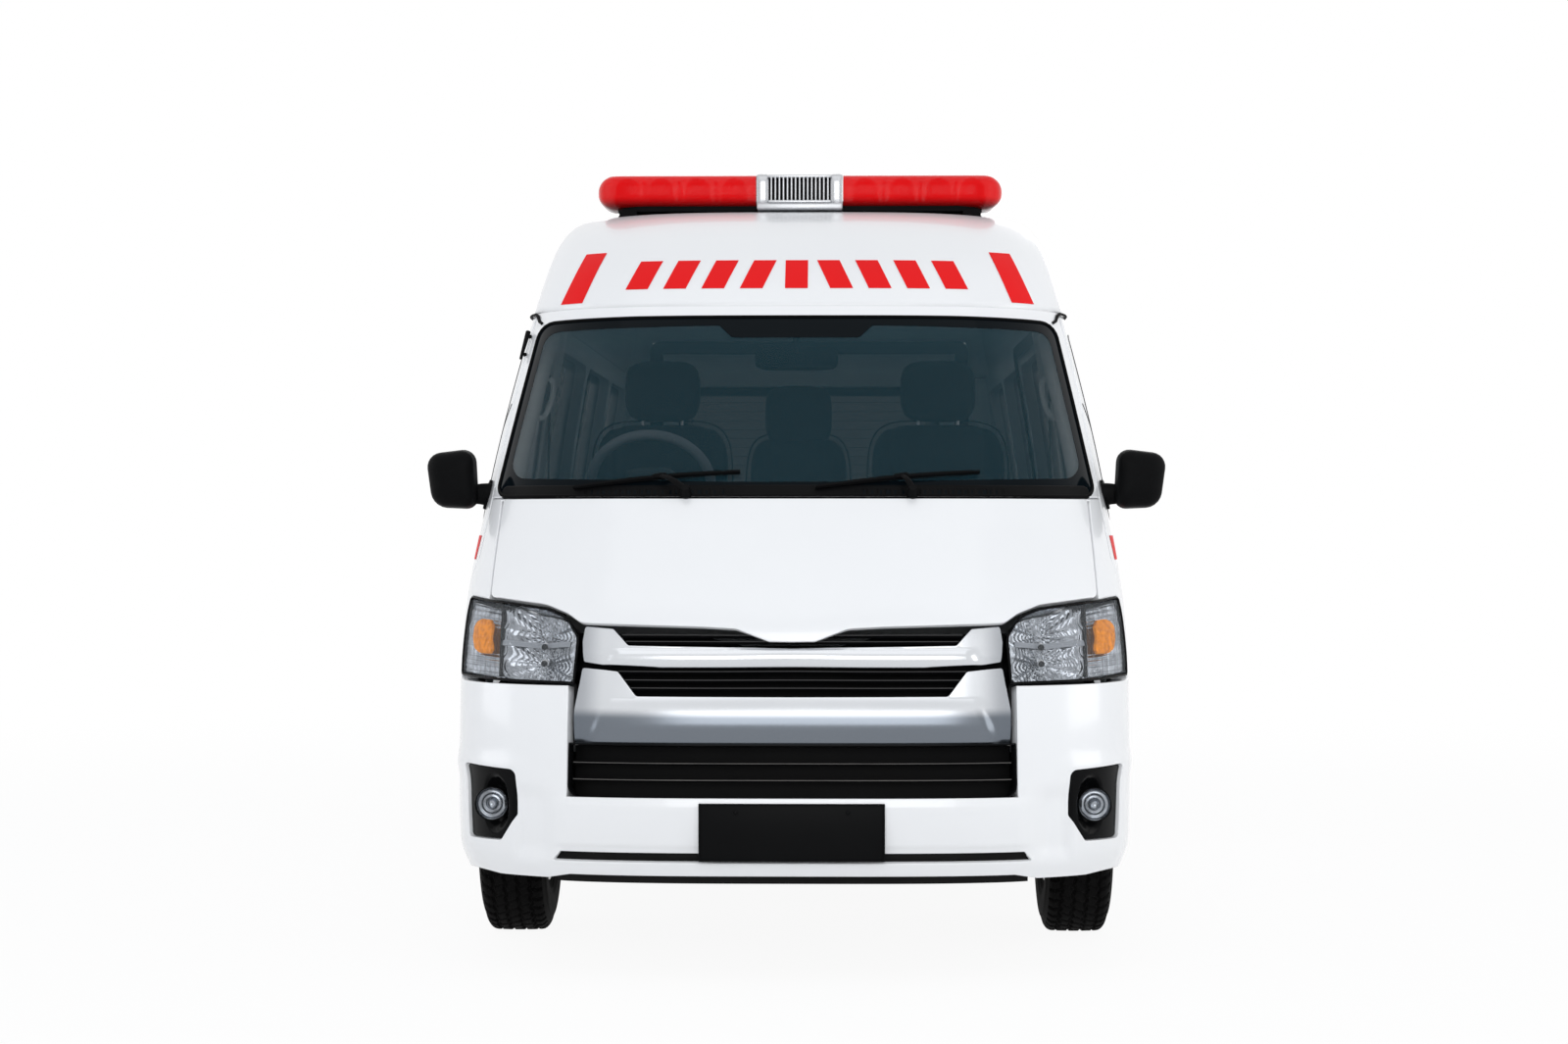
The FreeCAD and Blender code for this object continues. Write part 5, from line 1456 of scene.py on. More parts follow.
class AMBULANCE_OT_fog_lights(bpy.types.Operator):
    """Fog lamps in their black surrounds"""

    bl_idname = "ambulance.fog_lights"
    bl_label = "Fog lights"

    def execute(self, context):
        for side, sign in SIDES:
            turn = facing(sign)
            loop = inset(wound(turn(front_view(FOG_OPENING, spacing=0.01)), 1), 0.002)
            panel(f"fog_surround_{side}", loop, [], "body", "black_plastic", materials("black_gloss"), ["fog_lights"],
                  thickness=0.020, sink=fog_dish, spacing=0.008)
            spot = front_spot(sign * 0.825, 0.457, 0.006)
            lamp = Build()
            lathe(lamp, [(0.030, 0.040), (-0.006, 0.047), (-0.009, 0.0465), (-0.010, 0.044), (-0.006, 0.0425)], spot,
                  "y", 0, 48)
            r = np.linspace(0.0425, 0.0, 30)
            bowl = np.stack([0.012 - 0.014 * (r / 0.0425) ** 2 + 0.0016 * np.cos(r * 520), r], 1)
            lathe(lamp, bowl, spot, "y", 1, 48)
            lathe(lamp, [(0.012, 0.0130), (-0.002, 0.0135), (-0.004, 0.0125), (-0.002, 0.0115), (0.006, 0.0)], spot,
                  "y", 1, 24)
            lathe(lamp, np.stack([-0.004 - 0.007 * (1 - (r / 0.0425) ** 2), r], 1), spot, "y", 2, 48)
            lamp.piece(f"fog_lamp_{side}", "body", "black_plastic", materials("black_gloss", "reflector", "lamp_clear"))
        return {"FINISHED"}


class AMBULANCE_OT_plates(bpy.types.Operator):
    """Blank number plates in their frames"""

    bl_idname = "ambulance.plates"
    bl_label = "Blank plates"

    def execute(self, context):
        plate = Build()
        brick(plate, at(0, 0.0065, 0.399), (0.494, 0.006, 0.152), 0.002)
        for x, z, w, h in ((0, 0.4735, 0.496, 0.005), (0, 0.3245, 0.496, 0.005), (0.2455, 0.399, 0.005, 0.154),
                           (-0.2455, 0.399, 0.005, 0.154)):
            brick(plate, at(x, 0.0055, z), (w, 0.011, h), 0.002)
        for x in (-0.15, 0.15):
            lathe(plate, [(0.0, 0.007), (-0.002, 0.0065), (-0.0032, 0.004), (-0.0035, 0)], at(x, 0.0038, 0.452), "y",
                  count=20)
        for x in (-0.16, 0.16):
            brick(plate, at(x, 0.022, 0.40), (0.03, 0.026, 0.10), 0.003)
        plate.piece("front_plate", "body", "black_gloss", materials("plate"), ["front_plate"])
        rear = Build()
        low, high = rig.box("rear_plate")
        middle = (np.array(low) + np.array(high)) / 2
        tilt = moved(turn=-4.8, axis="x")
        brick(rear, middle + [0, -0.002, 0], (0.470, 0.006, 0.118), 0.002, move=tilt)
        for x, z, w, h in ((0, 0.057, 0.470, 0.005), (0, -0.057, 0.470, 0.005), (0.2325, 0, 0.005, 0.118),
                           (-0.2325, 0, 0.005, 0.118)):
            brick(rear, middle + applied(np.array([[x, 0.0, z]]), tilt)[0], (w, 0.010, h), 0.002, move=tilt)
        for x in (-0.15, 0.15):
            lathe(rear, [(0.0, 0.007), (0.002, 0.0065), (0.0032, 0.004), (0.0035, 0)], middle + [x, 0.0005, 0.036], "y",
                  count=20, flip=True)
        rear.piece("rear_plate", "tailgate", "black_gloss", materials("plate"), ["rear_plate"])
        return {"FINISHED"}


class AMBULANCE_OT_windscreen(bpy.types.Operator):
    """Windscreen with its printed border and seal, cowl, wipers, drip and pillar mouldings and aerial"""

    bl_idname = "ambulance.windscreen"
    bl_label = "Windscreen and wipers"

    def execute(self, context):
        outline = inset(wound(front_view(WINDSHIELD), 1), 0.003)
        panel("windshield", outline, [], "body", "glass_clear", materials("glass_clear"), ["windshield"],
              thickness=sizes().glass_thickness, sink=0.0042, spacing=0.03, edge=THIN_EDGE)
        panel("windshield_border", outline, [front_view(GLASS_CLEAR)], "body", "glass_clear", materials("frit"),
              thickness=0.0006, sink=0.0034, spacing=0.03, edge=FILM_EDGE)
        frame_seal = Build()
        seal(frame_seal, wound(front_view(WINDSHIELD), 1), 0.010, 0.009, 0.002)
        frame_seal.piece("windshield_seal", "body", "black_plastic", materials("rubber"))
        cowl = front_view([(-0.850, 1.2950, 0.004), (0.850, 1.2950, 0.004), (0.846, 1.330, 0.02),
                           (-0.846, 1.330, 0.02)])

        def vents(c, z):
            slots = (np.abs((c * 90) % 2 - 1) > 0.4) * (z < 1.318)
            return 0.0005 + 0.003 * step(np.abs(c), 0.1, 0.2) * (1 - step(np.abs(c), 0.62, 0.70)) * slots

        panel("cowl", cowl, [], "body", "black_plastic", materials("black_plastic"), ["cowl"], thickness=0.012,
              sink=vents, spacing=0.006)

        wipers = Build()
        for low, high, foot in (((-0.620, 1.318), (-0.150, 1.362), (-0.300, 1.302)),
                                ((0.060, 1.318), (0.520, 1.362), (0.330, 1.302))):
            share = np.linspace(0, 1, 24)
            bx = low[0] + (high[0] - low[0]) * share
            bz = low[1] + (high[1] - low[1]) * share + 0.006 * np.sin(math.pi * share)
            path = front_spot(bx, bz, -0.004)
            n = front_normal(bx, bz)
            ribbon(wipers, path, [(-0.001, -0.007), (0.001, -0.007), (0.0016, -0.002), (-0.0016, -0.002)], up=n)
            ribbon(wipers, path + n * 0.004, [(-0.0065, -0.005), (0.0065, -0.005), (0.004, 0.004), (-0.003, 0.006)],
                   up=n, scale=0.6 + 0.4 * np.sin(math.pi * share) ** 0.5)
            middle = (bx[12], bz[12])
            ax = foot[0] + (middle[0] - foot[0]) * share
            az = foot[1] + (middle[1] - foot[1]) * share
            lift = 0.020 + 0.012 * np.sin(math.pi * share) - 0.006 * share
            an = front_normal(ax, az)
            arm = front_spot(ax, az) + an * lift[:, None]
            ribbon(wipers, arm, disc(0.010, 10, 0.45), up=an, scale=1.1 - 0.45 * share)
            pivot = front_spot(foot[0], foot[1])
            pn = front_normal(np.array(foot[:1]), np.array(foot[1:]))[0]
            post = pivot + pn * np.linspace(0.0, 0.030, 4)[:, None]
            ribbon(wipers, post, disc(0.014, 16), up=(1, 0, 0), scale=[1.25, 1.1, 1.0, 0.8])
            clip_at = front_spot(middle[0], middle[1], -0.013)
            brick(wipers, clip_at, (0.040, 0.012, 0.014), 0.004, move=moved(turn=-8, axis="y"))
        wipers.piece("wipers", "body", "black_plastic", materials("black_plastic"), ["wipers"])

        drip = Build()
        for sign in (1, -1):
            s = np.linspace(1.10, 5.02, 120)
            bend = 1 - step(s, 1.10, 1.20)
            path = side_spot(s, 1.8635 - 0.036 * bend, -0.001, sign)
            path = path + np.stack([sign * 0.006 * (1 - bend), 0 * s, 0 * s], -1)
            ribbon(drip, path, disc(0.0055, 8, 0.8))
        drip.piece("drip_mouldings", "body", "black_plastic", materials("rubber"))
        pillar = Build()
        for sign in (1, -1):
            s = np.linspace(0.735, 1.195, 40)
            z = np.interp(s, [0.69, 1.215], [1.270, 1.858])
            ribbon(pillar, side_spot(s - 0.006, z + 0.006, 0.001, sign), disc(0.005, 8, 0.9))
        pillar.piece("pillar_mouldings", "body", "white_paint", materials("white_paint"))
        mast = Build()
        share = np.linspace(0, 1, 10)
        path = side_spot(1.150 - 0.075 * share, 1.800 - 0.085 * share, -0.014, -1)
        ribbon(mast, path, disc(0.008), scale=1 - 0.45 * share)
        for share in (0.12, 0.8):
            foot = side_spot(1.150 - 0.075 * share, 1.800 - 0.085 * share, -0.004, -1)
            brick(mast, foot, (0.010, 0.012, 0.012), 0.003)
        mast.piece("aerial", "body", "black_plastic", materials("black_plastic"))
        return {"FINISHED"}


class AMBULANCE_OT_red_bars(bpy.types.Operator):
    """Reflective red bars on the roof's brow"""

    bl_idname = "ambulance.red_bars"
    bl_label = "Red bars"

    def execute(self, context):
        red = materials("stripe_red")
        corner = front_view([(0.587, 2.053), (0.654, 2.053), (0.717, 1.884), (0.6465, 1.884)][::-1])
        for side, sign in SIDES:
            panel(f"brow_bar_{side}", facing(sign)(corner), [], "body", "white_roof", red, **FILM)
        for i, x in enumerate(np.linspace(-0.460, 0.460, 9)):
            lean = -0.020 * np.sign(x)
            block = [(x - 0.034 - lean, 1.922), (x + 0.034 - lean, 1.922), (x + 0.034 + lean, 2.016),
                     (x - 0.034 + lean, 2.016)]
            panel(f"brow_block_{i}", front_view(block), [], "body", "white_roof", red, **FILM)
        return {"FINISHED"}


BAR_MIDDLE = 1.85


def lens_form(x0, x1, low, high, front, rear, end):
    """A light bar lens from x0 to its closed end at x1: sections whose outline is a superellipse of power 4.4 along
    the vehicle and 3.2 in height, with a fine rib round the middle. They shrink to the end along a superellipse in
    plan and a quarter ellipse in height."""
    e = np.concatenate([np.linspace(0, 1, 26, endpoint=False), 1 + np.linspace(0, 1, 18) ** 0.6])
    length = abs(x1 - x0) - end
    x = np.where(e < 1, e * length, length + end * np.sin((np.clip(e, 1, 2) - 1) * math.pi / 2))
    t = np.clip((x - length) / end, 0, 1)
    wide = (1 - t**2.6) ** (1 / 2.6)
    tall = (1 - np.clip((x - (abs(x1 - x0) - 0.060)) / 0.060, 0, 1) ** 2) ** 0.5
    c, s = circle(72)
    u, v = np.sign(c) * np.abs(c) ** 0.45, np.sign(s) * np.abs(s) ** 0.62
    rib = 1 + 0.006 * (np.abs(v) < 0.20)
    depth, height = (rear - front) / 2, (high - low) / 2
    y = (front + rear) / 2 - LENGTH / 2 + depth * u[None] * np.minimum(wide, 0.35 + 0.65 * tall)[:, None] * rib
    z = (low + high) / 2 + height * v[None] * tall[:, None]
    return np.stack([(x0 + np.sign(x1 - x0) * x)[:, None] + 0 * z, y, z], -1)


class AMBULANCE_OT_light_bar(bpy.types.Operator):
    """Roof light bar: red lenses over lamp modules, siren cover, tray and feet"""

    bl_idname = "ambulance.light_bar"
    bl_label = "Light bar"

    def execute(self, context):
        low, high, front, rear = 2.249, 2.361, 1.713, 1.987
        lens = Build()
        lens.grid(lens_form(0.142, 0.665, low, high, front, rear, 0.11), wrap_columns=True, flip=True)
        lens.mirror()
        lens.piece("light_bar_lenses", "body", "lamp_red", materials("lamp_red"), ["light_bar_lenses"], sharp=60)
        core = Build()
        for x in (0.215, 0.335, 0.455, 0.565):
            spot = at(x, BAR_MIDDLE, 2.300)
            r = np.linspace(0.002, 0.040, 8)
            lathe(core, np.stack([0.030 - 0.060 * (r / 0.04) ** 2 * 0.9, r], 1), spot + [0, -0.045, 0.012], "y", 1, 28)
            lathe(core, [(0.0, 0.010), (-0.03, 0.010), (-0.04, 0.006), (-0.042, 0)], spot + [0, -0.045, 0.012], "y", 1,
                  16)
            brick(core, spot + [0, 0.0, -0.020], (0.085, 0.20, 0.030))
        for x in (0.275, 0.395, 0.510):
            brick(core, at(x, BAR_MIDDLE, 2.302), (0.006, 0.22, 0.075), 0.002)
        core.mirror()
        brick(core, at(0, BAR_MIDDLE, 2.266), (1.16, 0.20, 0.014), 0.005)
        core.piece("light_bar_modules", "body", "black_plastic", materials("black_plastic", "reflector"))
        base = Build()
        for sign in (1, -1):
            x = sign * np.linspace(0.142, 0.596, 30)
            far = np.clip((np.abs(x) - 0.500) / 0.11, 0, 1)
            wide = 0.108 * (1 - far**2.6) ** (1 / 2.6)
            profile = np.stack([-np.ones(30), -np.ones(30), np.ones(30), np.ones(30)], 1) * wide[:, None]
            z = np.array([2.262, 2.240, 2.240, 2.262])
            pts = np.stack([x[:, None] + 0 * profile, BAR_MIDDLE - LENGTH / 2 + profile, z[None] + 0 * profile], -1)
            base.grid(pts, wrap_columns=True, flip=sign < 0)
            base.add(pts[-1], np.array([[0, 1, 2, 3]]))
            outline = [(0.538, 2.2465), (0.578, 2.2465), (0.585, 2.236), (0.612, 2.190), (0.600, 2.176), (0.536, 2.188),
                       (0.532, 2.236)]
            foot = np.array([[sign * a, b] for a, b in outline])
            rows = np.linspace(1.745, 1.955, 8)
            drop = np.array([0.0, 0, 0, 1, 1, 1, 0])
            pts = np.stack([np.stack([foot[:, 0], np.full(7, s - LENGTH / 2), foot[:, 1] - drop * 0.004 * (s > 0)], 1)
                            for s in rows])
            base.grid(pts, wrap_columns=True, flip=sign > 0)
            for row, order in ((0, 1), (-1, -1)):
                base.add(pts[row], np.arange(7)[::order * sign][None])
            for s in (1.77, 1.93):
                lathe(base, [(0.0, 0.011), (0.005, 0.011), (0.007, 0.008), (0.0075, 0)], at(sign * 0.598, s, 2.200),
                      "z", count=6, flip=True)
        base.piece("light_bar_base", "body", "black_plastic", materials("black_plastic"), ["light_bar_base"])
        horn = Build()
        c, s = circle(64)
        u, v = np.sign(c) * np.abs(c) ** 0.30, np.sign(s) * np.abs(s) ** 0.40
        for x0, x1, grow in ((-0.140, -0.101, 1.0), (0.101, 0.140, 1.0), (-0.101, 0.101, 0.93)):
            x = np.linspace(x0, x1, 6)
            lip = grow * np.array([0.965, 1, 1, 1, 1, 0.965])
            pts = np.stack([x[:, None] + 0 * u, BAR_MIDDLE - LENGTH / 2 + 0.142 * u * lip[:, None],
                            2.303 + 0.060 * v * lip[:, None]], -1)
            horn.grid(pts, 0 if grow == 1 else 1, wrap_columns=True, flip=True)
            for row, order in ((0, 1), (-1, -1)):
                horn.add(pts[row], np.arange(64)[::order][None])
        for x in np.linspace(-0.092, 0.092, 15):
            brick(horn, at(x, BAR_MIDDLE, 2.309), (0.0052, 0.284, 0.084), 0.002)
        for z in (2.268, 2.350):
            brick(horn, at(0, BAR_MIDDLE, z), (0.204, 0.284, 0.010), 0.004)
        brick(horn, at(0, BAR_MIDDLE, 2.253), (0.279, 0.280, 0.022), 0.006, 2)
        horn.piece("siren_cover", "body", "speaker_grey", materials("speaker_grey", "black_plastic", "silver"),
                   ["light_bar_speaker"])
        return {"FINISHED"}


# ---------------------------------------------------------------- side and rear glass

GLASS_DEPTH = 0.006


def glazing(name, loop, body, glass, replaces, border=0.024, rear=False):
    """A pane with a printed border on its face and a rubber seal round it."""
    outline = inset(wound(loop, 1), 0.003)
    panel(name, outline, [], body, "glass_dark" if glass == "glass_dark" else "glass_clear", materials(glass), replaces,
          thickness=sizes().glass_thickness, sink=GLASS_DEPTH, spacing=0.04, edge=THIN_EDGE, rear=rear)
    panel(f"{name}_border", outline, [inset(outline, border)], body, "glass_dark", materials("frit"),
          thickness=0.0006, sink=GLASS_DEPTH - 0.0008, spacing=0.03, edge=FILM_EDGE, rear=rear)
    strip = Build()
    seal(strip, wound(loop, 1), 0.009, 0.010, GLASS_DEPTH - 0.003, rear=rear)
    strip.piece(f"{name}_seal", body, "black_plastic", materials("rubber"))


class AMBULANCE_OT_side_glass(bpy.types.Operator):
    """Front door glass, side windows with their sliding frames, and the tailgate glass"""

    bl_idname = "ambulance.side_glass"
    bl_label = "Side and rear glass"

    def execute(self, context):
        for side, sign in SIDES:
            turn = facing(sign)
            body = f"front_door_{side}"
            glazing(f"door_glass_{side}", turn(side_view(DOOR_WINDOW)), body, "glass_door", [f"door_glass_{side}"],
                    0.018)
            divider = Build()
            z = np.linspace(1.228, 1.580, 12)
            ribbon(divider, side_spot(0.985, z, 0.004, sign), disc(0.009, 8, 0.6), up=(sign, 0, 0))
            divider.piece(f"door_divider_{side}", body, "black_plastic", materials("rubber"))
            for i, (front, rear) in enumerate(SIDE_WINDOWS[side]):
                glazing(f"side_window_{side}_{i}", turn(side_view(window(front, rear))), "body", "glass_dark",
                        ["side_glass"])
                self.sliders(f"side_slider_{side}_{i}", front, rear, "body", sign)
        glazing("sliding_door_window", side_view(window(*SLIDE_WINDOW)), "body", "glass_dark", ["sliding_door_glass"])
        self.sliders("sliding_door_slider", *SLIDE_WINDOW, "body", 1)
        gate = rear_view(GATE_WINDOW)
        glazing("tailgate_window", gate, "tailgate", "glass_dark", ["tailgate_glass"], 0.045, rear=True)
        wires = Build()
        for z in np.linspace(1.32, 1.76, 12):
            x = np.linspace(-0.525, 0.525, 24)
            ribbon(wires, rear_spot(x, z, 0.0118), disc(0.0010, 4, 0.5), up=(0, 1, 0))
        for x in (-0.525, 0.525):
            z = np.linspace(1.30, 1.78, 8)
            ribbon(wires, rear_spot(x, z, 0.0118), disc(0.0035, 6, 0.2), up=(0, 1, 0))
        wires.piece("defroster", "tailgate", "iron", materials("iron"))
        return {"FINISHED"}

    @staticmethod
    def sliders(name, front, rear, body, sign):
        """The meeting rails of a sliding pane: an upright in the middle and its frame's rails above and below."""
        bars = Build()
        middle = (front + rear) / 2
        z = np.linspace(1.246, 1.780, 10)
        for s in (middle - 0.012, middle + 0.014):
            ribbon(bars, side_spot(s, z, 0.003, sign), disc(0.011, 8, 0.45), up=(sign, 0, 0))
        s = np.linspace(front + 0.03, rear - 0.03, 20)
        for height in (1.247, 1.778):
            ribbon(bars, side_spot(s, height, 0.003, sign), disc(0.008, 8, 0.5), up=(sign, 0, 0))
        bars.piece(name, body, "black_plastic", materials("rubber"))


# ---------------------------------------------------------------- fittings of the sides

def handle(build, s0, s1, z, sign):
    """A pull handle along the side: an arched bar over an oval cup."""
    share = np.linspace(0, 1, 28)
    rise = -0.026 * np.sin(math.pi * share) ** 0.45
    path = side_spot(s0 + (s1 - s0) * share, z, rise - 0.001, sign)
    ribbon(build, path, disc(0.013, 12, 0.42), up=(sign, 0, 0),
           scale=0.75 + 0.25 * np.sin(math.pi * share) ** 0.5)
    c, s = circle(40)
    middle = (s0 + s1) / 2
    rings = np.array([1.0, 0.98, 0.90, 0.6, 0.25, 0.0])
    depths = np.array([0.0006, -0.0022, -0.0030, -0.0012, 0.0, 0.0004])
    ss = middle + rings[:, None] * (s1 - s0) * 0.40 * c
    zz = z + rings[:, None] * 0.032 * s
    cup = side_spot(ss, zz, 0.0, sign)
    n = normals(from_side(ss.ravel(), zz.ravel(), sign), zz.ravel()).reshape(6, 40, 3)
    build.grid(cup - n * depths[:, None, None], 1, wrap_columns=True, flip=sign > 0)


class AMBULANCE_OT_fittings(bpy.types.Operator):
    """Door handles, mirrors, slide rail, filler flap, red bands along the sides and tail, and mudflaps"""

    bl_idname = "ambulance.fittings"
    bl_label = "Mirrors, handles and bands"

    def execute(self, context):
        for side, sign in SIDES:
            grip = Build()
            handle(grip, 1.445, 1.600, 1.085, sign)
            spot = side_spot(1.418, 1.085, -0.001, sign)
            lathe(grip, np.array([(0, 0.012), (0.002, 0.0115), (0.003, 0.008), (0.003, 0.0)]) * [sign, 1], spot, "x", 0,
                  24, flip=sign < 0)
            grip.piece(f"door_handle_{side}", f"front_door_{side}", "white_paint",
                       materials("white_paint", "black_plastic"))
            self.mirror(side, sign)
        slide = Build()
        handle(slide, 1.745, 1.900, 1.085, 1)
        slide.piece("slide_handle", "body", "white_paint", materials("white_paint", "black_plastic"))
        rail = Build()
        s = np.linspace(2.965, 4.360, 60)
        for height, size, depth, paint in ((1.000, 0.013, 0.0, 1), (1.0135, 0.0035, -0.003, 0),
                                           (0.9865, 0.0035, -0.003, 0)):
            ribbon(rail, side_spot(s, height, depth), disc(size, 10, 0.35 if size > 0.01 else 1.0), up=(1, 0, 0),
                   paint=paint)
        ribbon(rail, side_spot(np.linspace(4.360, 4.372, 4), 1.0, -0.001), disc(0.018, 10, 0.3), up=(1, 0, 0))
        rail.piece("slide_rail", "body", "black_plastic", materials("white_paint", "black_plastic"))
        flap = Build()
        loop = wound(mirrored(side_view(oblong(2.050, 2.215, 0.700, 0.865, 0.025),
                                        spacing=0.008)), 1)
        seal(flap, loop, 0.0035, 0.0022, -0.0002)
        flap.piece("filler_gap", "body", "black_plastic", materials("rubber"))
        panel("filler_flap", inset(loop, 0.004), [], "body", "white_paint", materials("white_paint"), thickness=0.0018,
              sink=-0.0022, spacing=0.03, edge=((0.0010, 0.0, 0), (0.0004, 0.0002, 40), (0.0, 0.0008, 85)))
        red = materials("stripe_red")
        band = [("front_door_left", 0.566, 1.628, 1), ("body", 1.708, 2.922, 1), ("body", 2.948, 5.060, 1),
                ("front_door_right", 0.566, 1.628, -1), ("body", 1.652, 5.060, -1)]
        for i, (body, front, rear, sign) in enumerate(band):
            for low, high in ((1.118, 1.186), (1.098, 1.108)):
                if low < 1.11 and front in (0.566, 1.708):
                    continue
                on_door = front < 1
                corners = [(front + 0.02 * on_door, low), (rear, low), (rear, high), (front + 0.075 * on_door, high)]
                loop = side_view(corners)
                panel(f"band_{i}_{int(low * 1000)}", facing(sign)(loop), [], body, "white_paint", red, **FILM)
        loop = rear_view(oblong(-0.686, 0.686, 1.100, 1.160))
        panel("band_rear_0", loop, [], "tailgate", "white_paint", red, rear=True, **FILM)
        flaps = Build()
        for s, z in ((1.4495, 0.262), (4.560, 0.242)):
            for x in (0.828, -0.828):
                tip = np.linspace(0, 1, 10)
                path = at(x, s, z + 0.11) + np.stack([0 * tip, 0.012 * tip**2, -0.22 * tip], -1)
                ribbon(flaps, path, slab(0.098, 0.003), up=(0, 1, 0))
                brick(flaps, at(x, s, z + 0.105), (0.20, 0.014, 0.020), 0.003)
        flaps.piece("mudflaps", "body", "black_plastic", materials("rubber"))
        return {"FINISHED"}

    @staticmethod
    def mirror(side, sign):
        """A mirror housing: a rounded outline seen from the front, scaled along its depth as a quarter ellipse, open to
        the rear with the glass set in."""
        outline = rounded([(0.928, 1.262, 0.034), (1.064, 1.268, 0.05), (1.086, 1.424, 0.042), (0.938, 1.441, 0.038)],
                          0.006)
        middle = np.array([1.008, 1.350])
        t = np.linspace(0, 1, 12)
        scale = np.concatenate([np.sin(t * math.pi / 2) ** 0.7 * 0.96, [0.985, 1.0, 1.0, 0.992, 0.97, 0.955, 0.945]])
        place = np.concatenate([0.708 + 0.036 * (1 - np.cos(t * math.pi / 2)),
                                [0.757, 0.775, 0.788, 0.7945, 0.7965, 0.7955, 0.792]])
        flat = middle + scale[:, None, None] * (outline - middle)
        lean = (flat[..., 0] - 1.0) * 0.16
        points = np.stack([sign * flat[..., 0], place[:, None] - LENGTH / 2 + lean, flat[..., 1]], -1)
        shell = Build()
        shell.grid(points, wrap_columns=True, flip=sign < 0)
        glass = middle + np.array([0.945, 0.94, 0.5, 0.0])[:, None, None] * (outline - middle)
        lean = (glass[..., 0] - 1.0) * 0.16
        depth = np.array([0.792, 0.789, 0.789, 0.789])[:, None]
        shell.grid(np.stack([sign * glass[..., 0], depth - LENGTH / 2 + lean, glass[..., 1]], -1), 1, wrap_columns=True,
                   flip=sign < 0)
        root = side_spot(0.782, 1.306, 0.004, sign)
        tip = at(sign * 0.950, 0.772, 1.305)
        arm = curve([root, (root + tip) / 2 + [0, 0.004, 0.002], tip], 14)
        ribbon(shell, arm, disc(0.030, 20, 0.45), up=(0, 1, 0), scale=np.linspace(1.15, 0.9, 14))
        foot = side_view([(0.752, 1.262, 0.02), (0.835, 1.262, 0.02), (0.850, 1.356, 0.03), (0.795, 1.345, 0.02)],
                         spacing=0.008)
        panel(f"mirror_foot_{side}", facing(sign)(foot), [], f"front_door_{side}", "black_plastic",
              materials("black_plastic"), thickness=0.016, sink=-0.008, spacing=0.02)
        shell.piece(f"mirror_{side}", f"front_door_{side}", "black_plastic", materials("black_plastic", "reflector"),
                    [f"mirror_{side}"])


